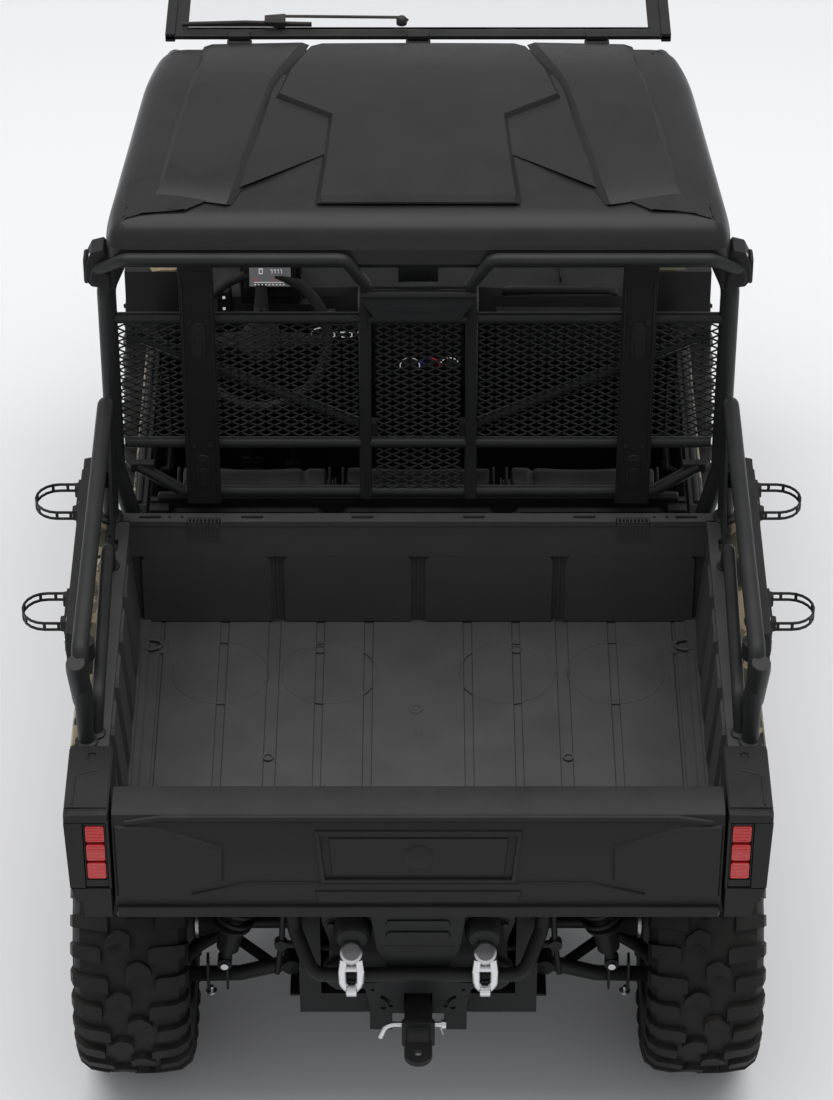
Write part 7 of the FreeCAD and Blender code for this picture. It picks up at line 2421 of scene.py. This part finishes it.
@dataclass
class Cabin:
    """Floor, mats, pedals, the wall behind the seats and the tilted windscreen."""

    floor: float = 362.0

    def floor_pieces(self) -> None:
        """Build the ribbed mats, the footrest and the two pedals."""
        form = Form()
        for low, high in ((-610, -30), (30, 610)):
            form.prism("XY", [(low, -590), (high, -590), (high, -262), (low, -262)], self.floor,
                       self.floor + 6, draft=6)
            for k in range(9):
                form.box((low + 24, -568 + 34 * k, self.floor + 5),
                         (high - 24, -556 + 34 * k, self.floor + 9))
        form.prism("YZ", [(-594, self.floor), (-520, self.floor), (-586, 470)], 510, 610)
        form.show("floor_mats", [RUBBER], edge=1.5)
        pedals = Form()
        for x, wide, z in ((330, 46, 470), (440, 60, 486)):
            pedals.slab("XZ", (wide, 92, 10), (x, z), -556, -546, 2)
            pedals.tube([(x, -552, z + 30), (x, -566, z + 140), (x, -590, z + 220)], 8, bend=30)
            for k in range(4):
                pedals.box((x - wide / 2 + 6, -547, z - 34 + 20 * k),
                           (x + wide / 2 - 6, -542, z - 28 + 20 * k))
        pedals.show("pedals", [STEEL], edge=1)

    def back_wall(self) -> None:
        """Build the pressed panels and the shelf on the wall behind the seats."""
        form = Form()
        for low, high in ((-600, -220), (-190, 190), (220, 600)):
            form.prism("XZ", [(low, 640), (high, 640), (high, 1040), (high - 20, 1060),
                              (low + 20, 1060), (low, 1040)], 360, 370, draft=10)
        form.tube([(-618, 352, 1086), (618, 352, 1086)], 12, bend=0, steps=12, ends=(0.6,))
        for sign in (1, -1):
            form.bolt((sign * 560, 369, 1010), ALONG, 7, 2.2)
            form.box((sign * 596, 361, 1020), (sign * 640, 390, 1074))
        form.show("back_panels", [PLASTIC], edge=2)

    def windscreen(self) -> None:
        """Build the tilted windscreen's frame with its seal, latches and hinge brackets."""
        form = Form()
        fall = 12.0 / 830.0
        low, high = -1246.0, -420.0

        def level(y: float) -> float:
            """Return the height of the frame's middle at a place."""
            return 1893.0 + (y + 418.0) * fall

        def bar(near: Point, far: Point, tall: float) -> None:
            """Add one straight bar of the frame between two corners of its plan."""
            (a, b), (c, d) = near, far
            form.loft([[(a, b, level(b) - tall), (c, b, level(b) - tall), (c, b, level(b) + tall),
                        (a, b, level(b) + tall)],
                       [(a, d, level(d) - tall), (c, d, level(d) - tall), (c, d, level(d) + tall),
                        (a, d, level(d) + tall)]])

        for sign in (1, -1):
            bar((sign * 612, low), (sign * 588, high), 12)
            bar((sign * 592, low + 10), (sign * 560, high - 10), 7)
        bar((-612, low), (612, low + 26), 12)
        bar((-612, high - 16), (612, high), 6)
        bar((-590, low + 24), (590, low + 46), 7)
        bar((-590, high - 30), (590, high - 14), 5)
        for x in (-432, 0, 432):
            form.lathe((x - 30, -409.5, 1883.5), ACROSS, [(0, 9.5), (60, 9.5)], 16)
            form.box((x - 26, -432, 1896), (x + 26, -404, 1908))
        form.index = 1
        for sign in (1, -1):
            bar((sign * 565, low + 42), (sign * 558, high - 42), 4.5)
        bar((-562, low + 42), (562, low + 50), 4.5)
        bar((-562, high - 36), (562, high - 28), 4.5)
        form.show("screen_frame", [PLASTIC, RUBBER], "root", ["windscreen_frame"], edge=2.5)

    def wiper(self) -> None:
        """Build the wiper's motor cover, arm and blade."""
        form = Form()
        form.prism("YZ", [(-482, 1906), (-444, 1906), (-442, 1922), (-450, 1929), (-474, 1929),
                          (-482, 1920)], 322, 372, draft=4)
        form.tube([(348, -470, 1924), (200, -474, 1920), (40, -476, 1917), (24, -470, 1912)], 5,
                  bend=60, steps=10, flat=0.7)
        form.tube([(572, -452, 1913), (420, -453, 1917), (258, -452, 1913)], 5, bend=150, steps=8)
        form.box((258, -455, 1906), (572, -449, 1912))
        form.lathe((40, -470, 1902), UP, [(0, 13), (14, 13), (20, 9)], 18)
        form.show("wiper", [RUBBER], "root", ["windscreen_wiper"], edge=1)

    def build(self) -> None:
        """Build the cabin's fixed parts."""
        self.floor_pieces()
        self.back_wall()
        self.windscreen()
        self.wiper()


@dataclass
class Nose:
    """Hood, grille, fenders, headlamps and the front bumper."""

    half: float = 440.0

    def hood(self) -> None:
        """Build the hood with a raised centre, two ridges, a vent and its hinge."""
        form = Form()
        top = [(-814, 1163), (-944, 1148), (-1072, 1129), (-1196, 1086), (-1320, 1034),
               (-1400, 985), (-1475, 930)]
        lifts = ((-440, -8), (-432, 0), (-352, 2), (-330, 14), (-296, 16), (-270, 4), (-150, 3),
                 (-128, 12), (128, 12), (150, 3), (270, 4), (296, 16), (330, 14), (352, 2),
                 (432, 0), (440, -8))
        rings = []
        for x, lift in lifts:
            upper = []
            for k, (y, z) in enumerate(top):
                share = math.sin(math.pi * min(1.0, (k + 0.6) / 6.6))
                upper.append((x, y, z + (lift * share if lift > 0 else lift)))
            lower = [(x, y + (9 if k else 0), z - 24) for k, (y, z) in enumerate(top)]
            rings.append(upper + lower[::-1])
        form.loft(rings)
        form.index = 1
        for k in range(5):
            y = -1120 - 26 * k
            z = 1113 - 11.2 * k
            for sign in (1, -1):
                form.prism("YZ", [(y - 9, z - 8), (y + 9, z - 1), (y + 5, z + 14),
                                  (y - 11, z + 7)], sign * 170, sign * 256)
        for x in (-400, 320):
            form.lathe((x, -802, 1152), ACROSS, [(0, 5), (0, 11.2), (80, 11.2), (80, 5)], 20,
                       loop=True)
        for sign in (1, -1):
            form.slab("XY", (46, 26, 6), (sign * 388, -1402), 958, 990, 4)
        form.show("hood_panel", [PANEL, PLASTIC], "hood", ["hood"], edge=2.5)

    def fascia(self) -> None:
        """Build the grille: a framed moulding with slots, ribs and an inner mesh."""
        form = Form()
        outline = [(-450, 602), (450, 602), (450, 862), (430, 896), (-430, 896), (-450, 862)]
        holes = [[(-262, 640 + 50 * k), (262, 640 + 50 * k), (258, 674 + 50 * k),
                  (-258, 674 + 50 * k)] for k in range(4)]
        plate(form, outline, holes, 0, 26)
        bmesh.ops.transform(form.mesh, verts=form.mesh.verts, matrix=Matrix((
            (1, 0, 0, 0), (0, -0.077, -1, -1413.0), (0, 1, 0, 0), (0, 0, 0, 1))))
        for k in range(4):
            z = 657 + 50 * k
            y = -1462 - 0.077 * (z - 600)
            for x in range(-220, 221, 55):
                form.box((x - 3, y, z - 20), (x + 3, y + 12, z + 20))
        form.box((-284, -1450, 618), (284, -1444, 846))
        for z in range(626, 842, 12):
            form.box((-280, -1454, z), (280, -1449, z + 4))
        form.box((-430, -1459, 872), (430, -1451, 901))
        for sign in (1, -1):
            form.prism("XZ", [(sign * 290, 630), (sign * 432, 630), (sign * 432, 850),
                              (sign * 316, 850)], -1472, -1490, draft=14)
            for z in (660, 700, 740, 780):
                form.box((sign * 340, -1496, z), (sign * 410, -1484, z + 16))
        form.show("grille", [PLASTIC], "root", ["front_fascia"], edge=2)

    def fenders(self) -> None:
        """Build the fenders: a painted crown and flank over a dark flared lip."""
        form = Form()
        crown = [(-1488, 652), (-1488, 900), (-1428, 957), (-1284, 1006), (-1010, 1041),
                 (-733, 1073), (-618, 1073)]
        under = [(-1462, 652), (-1462, 880), (-1401, 902), (-1256, 937), (-1010, 932),
                 (-792, 917), (-618, 917)]
        drops = ((453, -4), (460, 0), (560, 3), (600, 10), (660, 10), (700, 2), (744, -18),
                 (756, -40))
        rings = []
        for x, drop in drops:
            back = 0.4 * abs(min(drop, 0))
            upper = [(x, y + (back if k < 2 else 0), z + (drop if k > 1 else 0))
                     for k, (y, z) in enumerate(crown)]
            lower = [(x, y + (back if k < 2 else 0), z - (6 if drop > -20 else 0))
                     for k, (y, z) in enumerate(under)]
            rings.append(upper + lower[::-1])
        form.loft(rings)
        flank = [(-1424, 944), (-1284, 990), (-1010, 1025), (-800, 1050), (-800, 1150),
                 (-944, 1136), (-1072, 1117), (-1196, 1074), (-1320, 1022), (-1400, 974)]
        form.prism("YZ", flank, 445, 457)
        form.index = 1
        form.prism("YZ", [(-646, 752), (-616.5, 752), (-616.5, 1078), (-802, 1062), (-802, 905),
                          (-672, 832)], 453, 758)
        lip = [(-1476, 660), (-1474, 878), (-1400, 912), (-1256, 944), (-1010, 938), (-792, 924),
               (-664, 836), (-632, 756)]
        form.tube([(756, y, z) for y, z in lip], 14, bend=30, steps=12, flat=1.0)
        form.prism("YZ", [(-640, 770), (-622, 770), (-622, 1000), (-700, 990), (-700, 870)],
                   742, 758, draft=3)
        for y, z in ((-1400, 930), (-1180, 958), (-960, 948), (-740, 896)):
            form.bolt((768, y, z - 10), ACROSS, 6, 1.6)
        form.mirror()
        form.show("fender_shells", [PANEL, PLASTIC], "root", ["front_fenders"], edge=2.5)

    def lamps(self) -> None:
        """Build the headlamps: dark housings, bright bowls and clear ribbed lenses."""
        form = Form()
        form.prism("XZ", [(494, 790), (700, 792), (712, 880), (500, 880)], -1468, -1491, draft=2)
        form.index = 1
        for x, size in ((560, 36), (648, 32)):
            form.lathe((x, -1490, 835), (0, -1, 0), [(0, size), (8, size), (8, size - 4),
                                                    (2, size - 16), (2, 11), (7, 8), (8, 2)], 28)
        form.box((503, -1494, 796), (690, -1491, 800))
        form.index = 2
        form.prism("XZ", [(500, 796), (696, 798), (706, 874), (506, 874)], -1498.5, -1500, draft=2)
        form.mirror()
        form.show("headlamp_units", [PLASTIC, ZINC, WHITE_LENS], "root", ["headlamps"], edge=1)

    def bumper(self) -> None:
        """Build the bumper: two bent tubes, a folded skid bar and a foot."""
        form = Form()
        form.tube([(250, -1408, 332), (250, -1525, 420), (335, -1525, 738)], 20, bend=60,
                  steps=18)
        form.bolt((240, -1410, 312), (0, -1, 0), 8, 1.8)
        form.box((252, -1541, 476), (272, -1509, 556))
        form.mirror()
        form.prism("YZ", [(-1380, 292), (-1404, 292), (-1404, 340), (-1396, 349), (-1380, 349)],
                   -274, 274)
        form.prism("YZ", [(-1540, 482), (-1528, 471), (-1510, 471), (-1510, 559), (-1528, 559),
                          (-1540, 548)], -250, 250)
        for x in (-150, 0, 150):
            form.slab("XZ", (96, 40, 14), (x, 515), -1536, -1543, 4)
        form.rod((-318, -1525, 660), (318, -1525, 660), 12, 14)
        form.show("bumper_front_tubes", [STEEL], "root", ["front_bumper"], edge=1.5, sharp=50)

    def build(self) -> None:
        """Build the nose."""
        self.hood()
        self.fascia()
        self.fenders()
        self.lamps()
        self.bumper()


@dataclass
class FrontUpright:
    """A front upright that steers: cast body, arm, hub bearing and brake disc."""

    side: Side

    def build(self) -> None:
        """Build the upright."""
        sign = self.side.value
        form = Form()
        form.loft([[(sign * (561 + x), FRONT_AXLE + y, z) for x, y in oblong(40 * s, 82 * s, 12)]
                   for z, s in ((261, 0.7), (274, 0.92), (310, 0.98), (355, 1.0), (400, 0.98),
                                (436, 0.92), (450, 0.7))])
        form.tube([(sign * 556, -1080, 359), (sign * 566, -1120, 359), (sign * 570, -1164, 359)],
                  15, bend=24, steps=12, flat=0.8)
        form.lathe((sign * 581, FRONT_AXLE, WHEEL_Z), (sign, 0, 0), [
            (-4, 44), (12, 44), (16, 38), (30, 38), (34, 19.6), (144, 19.6)], 28)
        form.index = 1
        form.lathe((sign * 598, FRONT_AXLE, WHEEL_Z), (sign, 0, 0), [
            (0, 30), (0, 92), (5, 92), (5, 30)], 40, loop=True)
        form.index = 2
        form.prism("YZ", [(-1026, 400), (-982, 372), (-968, 404), (-986, 440), (-1022, 444)],
                   sign * 588, sign * 614, draft=5)
        for z in (400, 310):
            form.bolt((sign * 584, -1094, z), (sign, 0, 0), 7, 1.4)
        name = "knuckle_" + self.side.name.lower()
        form.show("steer_" + self.side.name.lower(), [ALLOY, ZINC, PLASTIC], name, [name], edge=1.2)


@dataclass
class Chassis:
    """Sills, the steering rack's rods and the engine's covers."""

    rack_y: float = -1167.0
    rack_z: float = 359.5

    def sills(self) -> None:
        """Build the sills with their ribbed steps and the door pillars' hinge ears."""
        form = Form()
        outline = [(-611, 362), (-572, 301), (354, 301), (404, 362), (404, 394), (-611, 394)]
        form.prism("YZ", outline, 641, 697)
        for k in range(14):
            form.box((648, -560 + 64 * k, 393), (690, -524 + 64 * k, 397.5))
        form.prism("YZ", [(-540, 316), (330, 316), (356, 350), (-560, 350)], 696, 700, draft=4)
        form.prism("XY", [(640.5, -611.5), (654.5, -611.5), (654.5, -599.5), (640.5, -599.5)],
                   394, 904)
        for z in (440, 780):
            form.box((641, -611, z - 8), (690, -598, z + 8))
            form.lathe((687, -601, z - 3), UP, [(0, 5), (80, 5)], 16)
            form.bolt((648, -599, z + 40), ALONG, 5, 1.5)
        form.mirror()
        form.show("sill_steps", [PLASTIC], "root", ["side_sills"], edge=1.5)

    def rods(self) -> None:
        """Build the steering rack's rods with boots and rod ends."""
        form = Form()
        y, z = self.rack_y, self.rack_z
        form.rod((-568, y, z), (568, y, z), 9.6, 16)
        form.lathe((-150, y, z), ACROSS, [(0, 20), (8, 27), (292, 27), (300, 20)], 24)
        form.index = 1
        for sign in (1, -1):
            profile = [(14 * k, 24 - k * 1.2 - (5 if k % 2 else 0)) for k in range(9)]
            form.lathe((sign * 150, y, z), (sign, 0, 0), profile, 20)
        form.index = 2
        for sign in (1, -1):
            form.lathe((sign * 520, y, z), (sign, 0, 0), [(0, 12), (16, 14), (34, 14)], 6)
        form.show("rack_rods", [STEEL, RUBBER, ZINC], "steering_rack", ["tie_rods"])

    def engine(self) -> None:
        """Add ribs, a belt cover, a hose and an air box to the plain engine block."""
        form = Form()
        form.lathe((186, 620, 500), ACROSS, [(0, 118), (26, 118), (36, 108), (38, 60), (44, 56)],
                   36)
        form.lathe((186, 812, 520), ACROSS, [(0, 92), (24, 92), (34, 84), (36, 30)], 32)
        for k in range(6):
            form.box((-188, 500 + 66 * k, 380), (188, 508 + 66 * k, 676))
        form.slab("XY", (220, 180, 30), (-40, 760), 666, 690, 8)
        form.index = 1
        form.tube([(-150, 520, 640), (-196, 520, 700), (-210, 700, 706), (-150, 850, 690),
                   (-150, 880, 640)], 24, bend=50, steps=14)
        form.show("engine_details", [ALLOY, RUBBER], edge=1.5)

    def build(self) -> None:
        """Build the pieces."""
        self.sills()
        self.rods()
        self.engine()


@dataclass
class Studio:
    """A pale floor, soft lights and the photograph's camera."""

    tilt: float = math.radians(38.0)
    place: tuple[float, float, float] = (0.004, 8.141, 7.009)
    focal_pixels: float = 4090.0
    frame_height: float = 1100.0
    sensor: float = 36.0
    floor_size: float = 60.0
    floor_colour: tuple[float, float, float, float] = (0.78, 0.78, 0.79, 1.0)
    floor_roughness: float = 0.75
    sky_colour: tuple[float, float, float, float] = (0.93, 0.94, 0.96, 1.0)
    sky_strength: float = 0.55

    def build(self) -> None:
        """Add the camera, the floor, the sky and the lights."""
        self.add_camera()
        self.add_floor()
        self.add_sky()
        self.add_light("overhead", (0.0, 0.4, 8.0), (0.0, 0.2, 0.0), 13.0, 7.0, 820.0)
        self.add_light("rear_edge", (0.0, 7.0, 2.2), (0.0, 0.8, 0.5), 6.0, 0.6, 12.0)

    def add_camera(self) -> None:
        """Stand the camera where the photograph was taken from."""
        data = bpy.data.cameras.new("camera")
        data.sensor_width = self.sensor
        data.lens = self.focal_pixels / self.frame_height * self.sensor
        data.clip_end = 100.0
        camera = placed("camera", data)
        camera.location = self.place
        camera.rotation_euler = (math.pi / 2 - self.tilt, 0.0, math.pi)
        bpy.context.scene.camera = camera

    def add_floor(self) -> None:
        """Lay a wide pale floor."""
        half = self.floor_size / 2
        mesh = bpy.data.meshes.new("floor")
        mesh.from_pydata([(-half, -half, 0), (half, -half, 0), (half, half, 0), (-half, half, 0)],
                         [], [(0, 1, 2, 3)])
        floor = placed("floor", mesh)
        material = bpy.data.materials.new("floor")
        material.use_nodes = True
        shader = material.node_tree.nodes["Principled BSDF"]
        shader.inputs["Base Color"].default_value = self.floor_colour
        shader.inputs["Roughness"].default_value = self.floor_roughness
        mesh.materials.append(material)

    def add_sky(self) -> None:
        """Light everything evenly with a pale sky."""
        world = bpy.data.worlds.new("sky")
        world.use_nodes = True
        background = world.node_tree.nodes["Background"]
        background.inputs["Color"].default_value = self.sky_colour
        background.inputs["Strength"].default_value = self.sky_strength
        bpy.context.scene.world = world
        bpy.context.scene.view_settings.view_transform = "Standard"

    def add_light(self, name: str, place: Point, target: Point, width: float, height: float,
                  power: float) -> None:
        """Add one rectangular soft light.

        Args:
            name: The light's name.
            place: Where it stands, in metres.
            target: The point that it faces.
            width: Its width.
            height: Its height.
            power: Its power in watts.
        """
        data = bpy.data.lights.new(name, "AREA")
        data.shape = "RECTANGLE"
        data.size, data.size_y, data.energy = width, height, power
        light = placed(name, data)
        light.location = place
        way = Vector(target) - Vector(place)
        light.rotation_euler = way.to_track_quat("-Z", "Y").to_euler()


WHEELS = tuple(
    Wheel(end + "_" + side.name.lower(), (side.value * x, y, WHEEL_Z), side, width)
    for end, x, y, width in (("front", 680.5, FRONT_AXLE, 229.0), ("rear", 662.5, REAR_AXLE, 265.0))
    for side in Side)


def main() -> None:
    """Build the whole visual model in order."""
    logging.basicConfig(level=logging.INFO, format="%(name)s: %(message)s")
    dress_frame()
    for assembly in (Studio(), *WHEELS, Roof(), RearScreen(), CargoTub(), CornerPost(), Tailgate(),
                     SidePanels(), BedRails(), Suspension(), Tail(), Seats(), Dashboard(),
                     SteeringWheel(), Cabin(), Nose()):
        assembly.build()
    for side in Side:
        HalfDoor(side).build()
        FrontUpright(side).build()
    Chassis().build()


if __name__ == "__main__":
    main()
